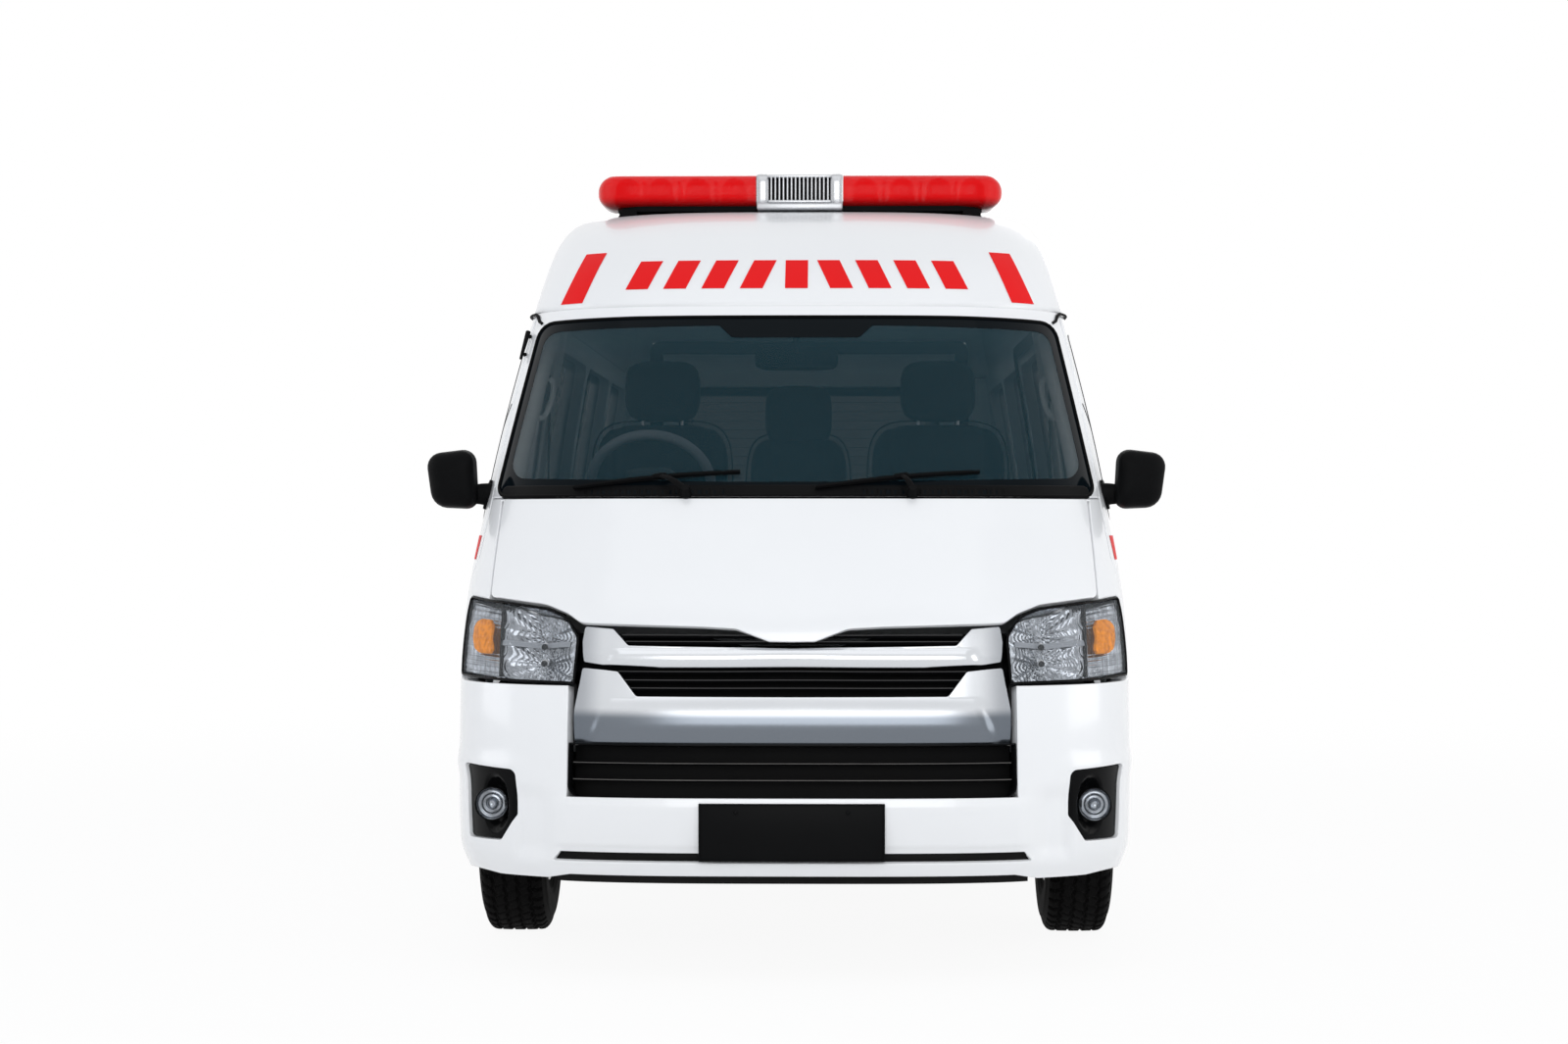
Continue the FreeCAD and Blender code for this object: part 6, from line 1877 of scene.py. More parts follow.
class AMBULANCE_OT_rear_fittings(bpy.types.Operator):
    """Tail lamps, high stop lamp, tailgate handle, rear wiper, step pad and reflectors"""

    bl_idname = "ambulance.rear_fittings"
    bl_label = "Tail lamps and rear fittings"

    def execute(self, context):
        def lamp_loop(low, high):
            x = np.linspace(0.706, 0.905, 12)
            run = lambda z: np.stack([from_rear(x, np.full(12, z)), np.full(12, z)], 1)
            z = np.linspace(low, high, 12)[1:-1]
            edge = np.stack([flip(from_side(np.full(10, 5.092), z), z), z], 1)
            corners = [(flip(from_side(np.array([5.092]), np.array([v])), np.array([v]))[0], v) for v in (low, high)]
            return np.vstack([run(low), corners[:1], edge, corners[1:], run(high)[::-1]])
        bulge = lambda c, z: -0.004 - 0.006 * hump(z, 0.975, 0.24)
        for side, sign in SIDES:
            turn = facing(sign)
            panel(f"tail_lamp_base_{side}", turn(lamp_loop(0.762, 1.188)), [], "body", "lamp_red",
                  materials("black_gloss"), ["tail_lights"], thickness=0.040, sink=0.002, spacing=0.02, rear=True)
            for part, low, high, look in (("stop", 0.975, 1.180, "tail_red"), ("turn", 0.878, 0.970, "amber"),
                                          ("reverse", 0.770, 0.873, "tail_clear")):
                loop = inset(wound(turn(lamp_loop(low, high)), 1), 0.006)
                panel(f"tail_lamp_{part}_{side}", loop, [], "body", "lamp_red", materials(look), thickness=0.008,
                      sink=bulge, spacing=0.016, rear=True)
        stop = rear_view([(-0.155, 1.905, 0.012), (0.155, 1.905, 0.012), (0.148, 1.945, 0.012), (-0.148, 1.945, 0.012)],
                         spacing=0.01)
        panel("high_stop_base", stop, [], "tailgate", "black_plastic", materials("black_gloss"), thickness=0.014,
              sink=-0.010, spacing=0.02, rear=True)
        panel("high_stop_lens", inset(wound(stop, 1), 0.006), [], "tailgate", "lamp_red", materials("tail_red"),
              thickness=0.006, sink=-0.015, spacing=0.02, rear=True)
        trim = rear_view([(-0.330, 0.975, 0.02), (0.330, 0.975, 0.02), (0.310, 1.050, 0.03), (-0.310, 1.050, 0.03)],
                         spacing=0.012)
        swell = lambda c, z: -0.016 * hump(z, 1.012, 0.052) - 0.002
        panel("tailgate_garnish", trim, [], "tailgate", "white_paint", materials("white_paint"), thickness=0.008,
              sink=swell, spacing=0.012, rear=True)
        fit = Build()
        share = np.linspace(0, 1, 24)
        lift = 0.026 + 0.010 * np.sin(math.pi * share) ** 0.4
        ribbon(fit, rear_spot(-0.075 + 0.150 * share, 0.992, -lift), disc(0.011, 12, 0.5), up=(0, 1, 0))
        for x in (-0.20, 0.20):
            brick(fit, rear_spot(x, 0.974, -0.012), (0.060, 0.016, 0.014), 0.004, 1)
        pivot = rear_spot(0.0, 1.195, -0.012)
        lathe(fit, [(-0.012, 0.022), (0.006, 0.021), (0.012, 0.016), (0.014, 0.0)], pivot, "y", 0, 24)
        x, z = -0.30 * share, 1.205 + 0.095 * share
        ribbon(fit, rear_spot(x, z, -0.020 - 0.004 * np.sin(math.pi * share)), disc(0.008, 10, 0.5), up=(0, 1, 0),
               scale=1.2 - 0.6 * share)
        bx = np.linspace(-0.44, -0.10, 24)
        ribbon(fit, rear_spot(bx, 1.262 - 0.22 * (bx + 0.27), -0.008),
               [(-0.004, -0.009), (0.004, -0.009), (0.006, 0.006), (-0.006, 0.006)], up=(0, 1, 0))
        for x in (-0.40, 0.40):
            brick(fit, rear_spot(x, 2.012, -0.002), (0.09, 0.022, 0.012), 0.004)
        fit.piece("tailgate_fittings", "tailgate", "black_plastic", materials("black_plastic", "tail_clear"))
        pad = Build()
        x = np.linspace(-0.62, 0.62, 60)
        for d in np.linspace(0.012, 0.040, 4):
            ribbon(pad, rear_spot(x, 0.615, d),
                   [(-0.0045, -0.001), (0.0045, -0.001), (0.003, 0.0035), (-0.003, 0.0035)])
        pad.piece("step_pad", "body", "black_plastic", materials("rubber"))
        for side, sign in SIDES:
            loop = rear_view(oblong(0.60, 0.74, 0.372, 0.412, 0.01), spacing=0.01)
            panel(f"reflector_{side}", facing(sign)(loop), [], "body", "lamp_red", materials("tail_red"),
                  thickness=0.006, sink=-0.005, spacing=0.02, rear=True)
        return {"FINISHED"}


# ---------------------------------------------------------------- wheels and underbody

def tyre_points(sign, centre, columns=432):
    """The tyre: its closed cross-section turned about the axle. The tread's radius drops by the groove depth where a
    point lies in one of four zigzag rings or in a shoulder slot; two raised lines ring each sidewall."""
    line = rounded([(-0.080, 0.196), (-0.096, 0.240, 0.03), (-0.098, 0.292, 0.04), (-0.082, 0.345, 0.022),
                    (0.082, 0.345, 0.022),
                    (0.098, 0.292, 0.04), (0.096, 0.240, 0.03), (0.080, 0.196)], 0.0032, closed=False)
    along, radius = line[:, 0], line[:, 1]
    turn = np.linspace(0, 2 * math.pi, columns, endpoint=False)
    pitch = 54
    zig = (np.abs((turn * pitch / math.pi) % 2 - 1) - 0.5) * 0.006
    tread = step(radius, 0.326, 0.334)[:, None]
    a = along[:, None]
    rings = 0
    for middle, width in ((-0.054, 0.0042), (-0.018, 0.0048), (0.018, 0.0048), (0.054, 0.0042)):
        rings = np.maximum(rings, 1 - step(np.abs(a - middle - zig), width * 0.7, width * 1.35))
    slot = 1 - step(np.abs(((turn * pitch / (2 * math.pi) + a * 9) % 1) - 0.5), 0.10, 0.17)
    slot = slot * step(np.abs(a), 0.056, 0.060)
    sipe = (0.45 * (1 - step(np.abs(((turn * pitch / (2 * math.pi) - a * 14 + 0.3) % 1) - 0.5), 0.06, 0.12))
            * (np.abs(a) < 0.05))
    cut = np.maximum(np.maximum(rings, slot), sipe) * tread
    crown = 0.0025 * (a / 0.082) ** 2 * tread
    wall = 0.0014 * (hump(radius, 0.222, 0.004) + hump(radius, 0.300, 0.003))[:, None] * np.sign(a)
    r = radius[:, None] - sizes().tread * cut - crown
    x = a + wall + 0 * turn
    points = np.stack([sign * x, r * np.cos(turn), r * np.sin(turn)], -1)
    return points + np.asarray(centre)


def rim(build, sign, centre):
    """A steel wheel: a rolled barrel turned about the axle, and a dished disc whose depth is a curve of the radius,
    filled as a net between its edge, its hub and eight round openings."""
    barrel = [(-0.084, 0.196), (-0.086, 0.186), (-0.078, 0.183), (-0.040, 0.173), (0.040, 0.173), (0.070, 0.182),
              (0.080, 0.184), (0.085, 0.190), (0.0865, 0.1955), (0.0850, 0.2000), (0.0815, 0.2005), (0.0790, 0.197)]

    def turned(profile, paint=0, count=96):
        lathe(build, np.asarray(profile) * [sign, 1], centre, "x", paint, count, flip=sign < 0)

    turned(barrel)
    turned([(0.040, 0.1725), (-0.040, 0.1725)])
    c, s = circle(96)
    edge = np.stack([c, s], 1)
    loops = [edge * 0.1735, (edge * 0.052)[::-2]]
    hc, hs = circle(20)
    for k in range(8):
        turn = (k + 0.5) * math.pi / 4
        loops.append((np.stack([hc, hs], 1) * 0.0165 + 0.125 * np.array([math.cos(turn), math.sin(turn)]))[::-1])
    net, triangles = filled(loops, 0.009)
    r = np.hypot(net[:, 0], net[:, 1])
    lift = 0.0030 * sum(hump(np.hypot(net[:, 0] - 0.125 * math.cos(t), net[:, 1] - 0.125 * math.sin(t)), 0.0165, 0.009)
                        for t in (np.arange(8) + 0.5) * math.pi / 4)
    along = fair(np.array([0.0, 0.052, 0.062, 0.092, 0.110, 0.150, 0.163, 0.180]),
                 np.array([0.040, 0.040, 0.044, 0.046, 0.050, 0.036, 0.034, 0.044])[:, None], r)[:, 0] + lift
    for drop, way in ((0.0, False), (0.0045, True)):
        points = np.stack([sign * (along - drop), net[:, 0], net[:, 1]], 1) + np.asarray(centre)
        build.add(points, triangles, flip=way == (sign > 0))
        if not drop:
            front = points
    back = front - [sign * 0.0045, 0, 0]
    first = sum(len(loop) for loop in loops[:2])
    for k in range(8):
        ring = slice(first + 20 * k, first + 20 * (k + 1))
        build.grid(np.stack([front[ring], back[ring]]), wrap_columns=True, flip=sign < 0)
    turned([(0.038, 0.0525), (0.052, 0.0520), (0.060, 0.049), (0.064, 0.040), (0.066, 0.020), (0.0665, 0.0)], 1, 48)
    for k in range(6):
        turn = k * math.pi / 3
        spot = np.asarray(centre) + [0, 0.0699 * math.cos(turn), 0.0699 * math.sin(turn)]
        lathe(build,
              np.array([(0.042, 0.0125), (0.048, 0.0120), (0.049, 0.0105), (0.060, 0.0105), (0.0625, 0.0085),
                        (0.063, 0.0)]) * [sign, 1],
              spot, "x", 2, 6, flip=sign < 0)
    valve = np.asarray(centre) + [sign * 0.066, 0, 0.170]
    lathe(build, np.array([(-0.012, 0.005), (0.010, 0.004), (0.018, 0.0045), (0.020, 0.0)]) * [sign, 1], valve, "x", 3,
          12, flip=sign < 0)


class AMBULANCE_OT_wheels(bpy.types.Operator):
    """Tyres with cut tread, steel wheels with caps and nuts, brake drums and the spare"""

    bl_idname = "ambulance.wheels"
    bl_label = "Wheels"

    def execute(self, context):
        for end, axle in (("front", AXLE_FRONT), ("rear", AXLE_REAR)):
            for side, sign in SIDES:
                centre = at(sign * HALF_TRACK, axle, WHEEL_HEIGHT)
                body = f"wheel_{end}_{side}"
                tyre = Build()
                tyre.grid(tyre_points(sign, centre), wrap_rows=True, wrap_columns=True, flip=sign > 0)
                tyre.piece(f"tyre_{end}_{side}", body, "tyre_rubber", materials("tyre_rubber"), [f"tyre_{end}_{side}"],
                           sharp=32)
                wheel = Build()
                rim(wheel, sign, centre)
                wheel.piece(f"rim_{end}_{side}", body, "silver", materials("silver", "silver", "aluminium", "rubber"),
                            [f"rim_{end}_{side}"], sharp=35)
                drum = Build()
                profile = [(-0.066, 0.045), (-0.066, 0.128), (-0.060, 0.132), (-0.058, 0.146), (-0.048, 0.146),
                           (-0.046, 0.138),
                           (-0.004, 0.138), (0.002, 0.130), (0.004, 0.085), (0.002, 0.060), (0.0, 0.052), (0.0, 0.0)]
                lathe(drum, np.array(profile) * [sign, 1], centre, flip=sign < 0)
                drum.piece(f"brake_{end}_{side}", f"knuckle_{side}" if end == "front" else "body", "iron",
                           materials("iron"))
        spare = Build()
        points = tyre_points(1, (0, 0, 0), columns=324)
        turned = np.stack([points[..., 1], points[..., 2], points[..., 0]], -1) * [0.985, 0.985, 1.0]
        spare.grid(turned + at(0, 4.860, 0.305), wrap_rows=True, wrap_columns=True)
        profile = [(-0.080, 0.196), (-0.084, 0.186), (-0.040, 0.172), (-0.020, 0.165), (-0.035, 0.120), (-0.045, 0.080),
                   (-0.045, 0.060), (-0.030, 0.055), (-0.028, 0.0)]
        lathe(spare, profile, at(0, 4.860, 0.305), "z", 1, flip=True)
        brick(spare, at(0, 4.860, 0.273), (0.14, 0.05, 0.012), 0.004, 2)
        ribbon(spare, np.array([at(0, 4.860, 0.27), at(0, 4.860, 0.42)]), disc(0.012), up=(0, 1, 0), paint=2)
        spare.piece("spare_wheel", "body", "tyre_rubber", materials("tyre_rubber", "silver", "iron"), ["spare_wheel"],
                    sharp=32)
        return {"FINISHED"}


class AMBULANCE_OT_underbody(bpy.types.Operator):
    """Arch liners, and finishes for the frame, driveline and springs carried over from the frame"""

    bl_idname = "ambulance.underbody"
    bl_label = "Underbody"

    def execute(self, context):
        liners = Build()
        outer, radius, rise = 0.888, 0.409, 0.155
        for axle, inner in ((AXLE_FRONT, 0.520), (AXLE_REAR, 0.674)):
            turn = np.radians(np.linspace(-8, 188, 56))
            for sign in (1, -1):
                middle, half = (inner + outer) / 2, (outer - inner) / 2
                rib = 0.0025 * (np.arange(56) % 6 == 0)
                path = np.stack([np.full(56, sign * middle), axle - LENGTH / 2 + (0.4095 - rib) * np.cos(turn),
                                 WHEEL_HEIGHT + (0.4095 - rib) * np.sin(turn)], -1)
                radial = np.stack([0 * turn, np.cos(turn), np.sin(turn)], -1)
                ribbon(liners, path, oblong(-half, half, -0.0015, 0.0015), up=radial)
                low = np.arcsin(rise / radius)
                sweep = np.linspace(low, math.pi - low, 40)
                wall = []
                for x in (inner, inner + 0.003):
                    top = np.stack([np.full(40, sign * x), axle - LENGTH / 2 + radius * np.cos(sweep),
                                    WHEEL_HEIGHT + radius * np.sin(sweep)], -1)
                    wall.append(np.stack([top * [1, 1, k] + [0, 0, 0.500 * (1 - k)] for k in np.linspace(0, 1, 5)]))
                liners.grid(wall[0], flip=sign > 0)
                liners.grid(wall[1], flip=sign < 0)
        liners.piece("arch_liners", "body", "black_plastic", materials("black_plastic"))
        for carried in NODES.values():
            for holder in carried.material_slots:
                if holder.material and holder.material.name in FINISHES:
                    holder.material = material(holder.material.name)
        return {"FINISHED"}


# ---------------------------------------------------------------- padded pieces

def baked(obj):
    """Replaces the object's mesh with its evaluated one and drops the modifiers."""
    mesh = bpy.data.meshes.new_from_object(obj.evaluated_get(bpy.context.evaluated_depsgraph_get()))
    obj.modifiers.clear()
    obj.data = mesh
    return mesh


def coordinates(mesh):
    spots = np.empty(3 * len(mesh.vertices))
    mesh.vertices.foreach_get("co", spots)
    return spots.reshape(-1, 3)


def cushion(size, power, crown, cap, seams):
    """A cushion in its own frame with its thickness along Z, as points and faces: a superellipsoid, remeshed, swollen
    as cloth under pressure with every point's travel held under half the cap, then pressed in along its seams."""
    build = Build()
    pillow(build, (0, 0, 0), np.asarray(size) - cap, power=power, crown=crown, count=72)
    obj = build.object("pad_form", [])
    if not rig.quick():
        scene = bpy.context.scene
        net = obj.modifiers.new("net", "REMESH")
        net.mode, net.voxel_size = "VOXEL", 0.010
        start = coordinates(baked(obj))
        cloth = obj.modifiers.new("swell", "CLOTH")
        cloth.settings.use_pressure = True
        cloth.settings.uniform_pressure_force = 4.0
        cloth.settings.effector_weights.gravity = 0
        cloth.point_cache.frame_start, cloth.point_cache.frame_end = 1, 20
        for frame in range(1, 21):
            scene.frame_set(frame)
        shift = coordinates(baked(obj)) - start
        reach = np.linalg.norm(shift, axis=1, keepdims=True)
        points = start + shift * np.minimum(1, cap / 2 / np.maximum(reach, 1e-9))
        scene.frame_set(1)
    else:
        points = coordinates(obj.data)
    mesh = obj.data
    for axis, place, depth in seams:
        inwards = unit(points * [0.05, 0.05, 1.0])
        points = points - inwards * (depth * hump(points[:, axis], place, 0.010))[:, None]
    starts, totals = np.empty(len(mesh.polygons), int), np.empty(len(mesh.polygons), int)
    corners = np.empty(len(mesh.loops), int)
    mesh.polygons.foreach_get("loop_start", starts)
    mesh.polygons.foreach_get("loop_total", totals)
    mesh.loops.foreach_get("vertex_index", corners)
    faces = [corners[starts[totals == n][:, None] + np.arange(n)] for n in (3, 4) if (totals == n).any()]
    bpy.data.objects.remove(obj)
    return points, faces


def padded_piece(name, parts, body, slot, finishes, replaces=()):
    """One padded piece from parts of (form, place, move, paint), smoothed by one subdivision."""
    build = Build()
    for (points, faces), place, move, paint in parts:
        build.add(applied(points, move) + np.asarray(place), list(faces), paint)
    obj = build.object(name, materials(*finishes), sharp=75)
    soft = obj.modifiers.new("soft", "SUBSURF")
    soft.levels = soft.render_levels = 1
    settle(obj, body, slot, replaces)
    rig.padded(obj, fill=0.6)
    return obj


def piping(build, size, place, move, power=5.0):
    """A welt round a cushion: a cord along the superellipse at the middle of its thickness."""
    c, s = circle(96)
    shape = lambda v: np.sign(v) * np.abs(v) ** (2 / power)
    path = np.stack([shape(c) * size[0] / 2, shape(s) * size[1] / 2, 0 * c], -1)
    ribbon(build, applied(path, move) + np.asarray(place), disc(0.0028, 6), up=move[:3, 2], closed=True)


# Front seats: name, middle X, width, height of the headrest's top, headrest width.
SEATS = (("driver", -0.430, 0.450, 1.742, 0.250), ("centre", 0.0, 0.335, 1.664, 0.222),
         ("passenger", 0.440, 0.450, 1.742, 0.250))


class AMBULANCE_OT_seats(bpy.types.Operator):
    """Three padded front seats with headrests, plinths and belts"""

    bl_idname = "ambulance.seats"
    bl_label = "Front seats"

    def execute(self, context):
        lean, tilt = moved(turn=83.4, axis="x"), moved(turn=3.5, axis="x")
        forms = {}
        frame = Build()
        for name, x, width, top, rest in SEATS:
            if width not in forms:
                bolster = width / 2 - 0.085
                forms[width] = (
                    cushion((width, 0.440, 0.140), 6.0, 0.22, 0.016,
                            [(0, bolster, 0.007), (0, -bolster, 0.007), (1, 0.02, 0.004)]),
                    cushion((width, 0.560, 0.120), 5.0, 0.20, 0.016,
                            [(0, bolster, 0.007), (0, -bolster, 0.007), (1, 0.10, 0.004)]),
                    cushion((rest, 0.205, 0.100), 4.0, 0.25, 0.012, [(1, -0.06, 0.003)]))
            seat, back, head = forms[width]
            drop = 1.742 - top
            middle = at(x, 1.120, 0.990)
            padded_piece(f"seat_cushion_{name}", [(seat, middle, tilt, 0)], "body", "seat_fabric", ["seat_fabric"],
                         ["front_seats"])
            behind = at(x, 1.418, 1.268 - drop / 2)
            padded_piece(f"seat_back_{name}", [(back, behind, lean, 0)], "body", "seat_fabric", ["seat_fabric"],
                         ["front_seats"])
            upper = at(x, 1.452, top - 0.104)
            padded_piece(f"headrest_{name}", [(head, upper, lean, 0)], "body", "seat_fabric", ["seat_side"],
                         ["front_seats"])
            piping(frame, (width - 0.004, 0.436), middle, tilt, power=6.0)
            piping(frame, (width - 0.004, 0.556), behind, lean)
            for sign in (1, -1):
                post = np.array([at(x + sign * 0.062, 1.440, top - 0.245), at(x + sign * 0.062, 1.452, top - 0.13)])
                ribbon(frame, post, disc(0.006, 10), up=(0, 1, 0), paint=2)
                lathe(frame, [(0.0, 0.013), (0.006, 0.012), (0.008, 0.0)], at(x + sign * 0.062, 1.443, top - 0.222),
                      "z", 1, 16)
            brick(frame, at(x, 1.195, 0.872), (width - 0.04, 0.46, 0.096), 0.012, 1, taper=(1.03, 1.0))
            brick(frame, at(x, 1.475, 1.235 - drop / 2), (width - 0.05, 0.030, 0.46), 0.012, 1,
                  move=moved(turn=-6.6, axis="x"))
            for sign in (1, -1) if width > 0.4 else ():
                brick(frame, at(x + sign * (width / 2 - 0.004), 1.30, 0.925), (0.020, 0.22, 0.075), 0.009, 1)
        frame.piece("seat_frames", "body", "seat_fabric", materials("seat_side", "dash_plastic", "aluminium"),
                    ["front_seats"])
        belts = Build()
        for sign, buckle in ((1, 0.195), (-1, -0.190)):
            web = curve([at(sign * 0.800, 1.585, 1.640), at(sign * 0.806, 1.575, 1.300), at(sign * 0.790, 1.560, 0.960),
                         at(sign * 0.745, 1.545, 0.865)], 24)
            ribbon(belts, web, slab(0.023, 0.0008), up=(sign, 0, 0))
            brick(belts, at(sign * 0.808, 1.585, 1.655), (0.020, 0.055, 0.085), 0.006, 1)
            brick(belts, at(sign * 0.795, 1.570, 1.080), (0.012, 0.045, 0.060), 0.004, 1)
            brick(belts, at(buckle, 1.330, 1.050), (0.024, 0.034, 0.095), 0.006, 1)
        belts.piece("seat_belts", "body", "black_plastic", materials("belt_web", "black_plastic"))
        return {"FINISHED"}


# ---------------------------------------------------------------- cab

HUB = at(-0.430, 0.880, 1.335)
COLUMN = np.array([0.0, math.cos(math.radians(35)), math.sin(math.radians(35))])
RIM_UP = np.array([0.0, -math.sin(math.radians(35)), math.cos(math.radians(35))])


class AMBULANCE_OT_dashboard(bpy.types.Operator):
    """Dashboard with its instrument hood, vents, screen, column and steering wheel"""

    bl_idname = "ambulance.dashboard"
    bl_label = "Dashboard and steering"

    def execute(self, context):
        line = rounded([(0.470, 0.862, 0.01), (0.470, 1.208, 0.02), (0.640, 1.252, 0.08), (0.852, 1.196, 0.035),
                        (0.836, 1.070, 0.05), (0.800, 0.955, 0.05), (0.715, 0.862, 0.03)], 0.014)
        x = np.linspace(-0.780, 0.780, 120)[:, None]
        s, z = line[:, 0][None] + 0 * x, line[:, 1][None] + 0 * x
        top = step(z, 1.15, 1.21)
        hood = hump(x, -0.430, 0.205) ** 0.6
        z = z + 0.052 * hood * hump(s, 0.735, 0.13) * top
        s = s + 0.012 * hood * (1 - top) * step(s, 0.75, 0.80)
        stack = (1 - step(np.abs(x - 0.02), 0.135, 0.165)) * step(s, 0.72, 0.78) * (z < 1.19)
        s = s + 0.026 * stack
        shelf = step(x, 0.20, 0.24) * (1 - step(x, 0.68, 0.72))
        s = s - 0.022 * shelf * hump(z, 1.125, 0.035) * step(s, 0.74, 0.78)
        reach = front_spot(x[:, 0], 1.21)[:, 1] + LENGTH / 2 + 0.072
        s = np.maximum(s, reach[:, None])
        dash = Build()
        points = np.stack([x + 0 * s, s - LENGTH / 2, z], -1)
        dash.grid(points, wrap_columns=True)
        count = len(line)
        for row in (0, -1):
            dash.add(points[row], [np.arange(count)[None]])
        for spot, size in ((at(0.02, 0.872, 1.115), (0.200, 0.012, 0.105)),
                           (at(0.02, 0.848, 0.995), (0.180, 0.016, 0.060))):
            brick(dash, spot, size, 0.005, 1, move=moved(turn=10, axis="x"))
        for vx in (-0.72, -0.14, 0.18, 0.72):
            spot = at(vx, 0.858, 1.150)
            lathe(dash,
                  [(-0.012, 0.036), (0.004, 0.037), (0.008, 0.034), (0.006, 0.030), (-0.006, 0.028), (-0.006, 0.0)],
                  spot, "y", 1, 28, flip=True)
            for k in (-0.014, 0, 0.014):
                brick(dash, spot + [0, 0.001, k], (0.050, 0.006, 0.003), 0.001, 1)
        for dx in (-0.505, -0.425, -0.350):
            size = 0.036 if dx != -0.425 else 0.044
            spot = at(dx, 0.852, 1.205)
            lathe(dash,
                  [(0.0, size + 0.004), (0.010, size + 0.003), (0.010, size), (0.003, size - 0.002), (0.003, 0.0)],
                  spot, "y", 1, 32, flip=True)
            ribbon(dash, np.array([spot + [0, 0.006, 0], spot + [0.018, 0.006, 0.018]]), disc(0.0014, 6), up=(0, 1, 0),
                   paint=3)
        edge = rounded(oblong(0.25, 0.66, 0.905, 1.065, 0.02))
        face = np.interp(edge[:, 1], [0.862, 0.955, 1.070], [0.728, 0.803, 0.838])
        ribbon(dash, np.stack([edge[:, 0], face - LENGTH / 2 + 0.002, edge[:, 1]], -1), disc(0.0020, 6), up=(0, 1, 0),
               paint=1, closed=True)
        brick(dash, at(0.45, 0.832, 1.045), (0.07, 0.012, 0.018), 0.004, 1)
        for vx in (-0.50, 0.50):
            brick(dash, at(vx, 0.600, 1.2455), (0.34, 0.020, 0.006), 0.002, 1)
        path = HUB - COLUMN * np.linspace(0.270, 0.034, 12)[:, None]
        ribbon(dash, path, disc(0.040, 24), up=(1, 0, 0), scale=np.linspace(1.25, 0.92, 12))
        for sign in (1, -1):
            start = HUB - COLUMN * 0.055 + [sign * 0.035, 0, 0]
            ribbon(dash, np.linspace(start, start + [sign * 0.130, 0.012, 0.018], 8), disc(0.0075, 10, 0.7), up=COLUMN,
                   paint=1, scale=[1.1, 0.9, 0.85, 0.85, 0.85, 1.2, 1.35, 0.7])
        lever = curve([at(-0.10, 0.800, 0.960), at(-0.085, 0.880, 1.010), at(-0.08, 0.930, 1.075)], 12)
        ribbon(dash, lever, disc(0.010), up=(1, 0, 0), paint=1, scale=np.linspace(1.3, 0.9, 12))
        lathe(dash, [(-0.030, 0.0), (-0.028, 0.016), (-0.005, 0.022), (0.016, 0.021), (0.026, 0.012), (0.028, 0.0)],
              lever[-1], "z", 1, 24)
        dash.piece("dashboard", "body", "dash_plastic",
                   materials("dash_plastic", "black_plastic", "aluminium", "amber"), ["dashboard"])

        wheel = Build()
        c, s = circle(96)
        ring = HUB + 0.178 * (c[:, None] * [1.0, 0, 0] + s[:, None] * RIM_UP)
        bumps = 1 + 0.05 * np.maximum(hump(c, 0.94, 0.10), hump(c, -0.94, 0.10))
        ribbon(wheel, ring, disc(0.0148, 14), up=COLUMN, closed=True, scale=bumps)
        for angle in (205, 335, 270):
            turn = math.radians(angle)
            out = math.cos(turn) * np.array([1.0, 0, 0]) + math.sin(turn) * RIM_UP
            share = np.linspace(0, 1, 10)[:, None]
            path = HUB + out * (0.045 + 0.128 * share) - COLUMN * (0.014 * (1 - share) ** 2)
            ribbon(wheel, path, [(-0.019, -0.003), (0.019, -0.003), (0.016, 0.005), (-0.016, 0.005)], up=COLUMN,
                   scale=np.linspace(1.15, 0.75, 10))
        turn = np.eye(4)
        turn[:3, 0], turn[:3, 1], turn[:3, 2] = [1, 0, 0], RIM_UP, np.cross([1.0, 0, 0], RIM_UP)
        pillow(wheel, HUB - COLUMN * 0.002, (0.150, 0.118, 0.046), turn, 4.0, 0.25, 1, 48)
        path = HUB - COLUMN * np.linspace(0.028, 0.006, 4)[:, None]
        ribbon(wheel, path, disc(0.045, 28), up=(1, 0, 0), paint=1, scale=[0.8, 1.0, 1.0, 0.9])
        wheel.piece("steering_wheel", "steering_wheel", "black_plastic", materials("grip", "dash_plastic"),
                    ["steering_wheel"])
        return {"FINISHED"}


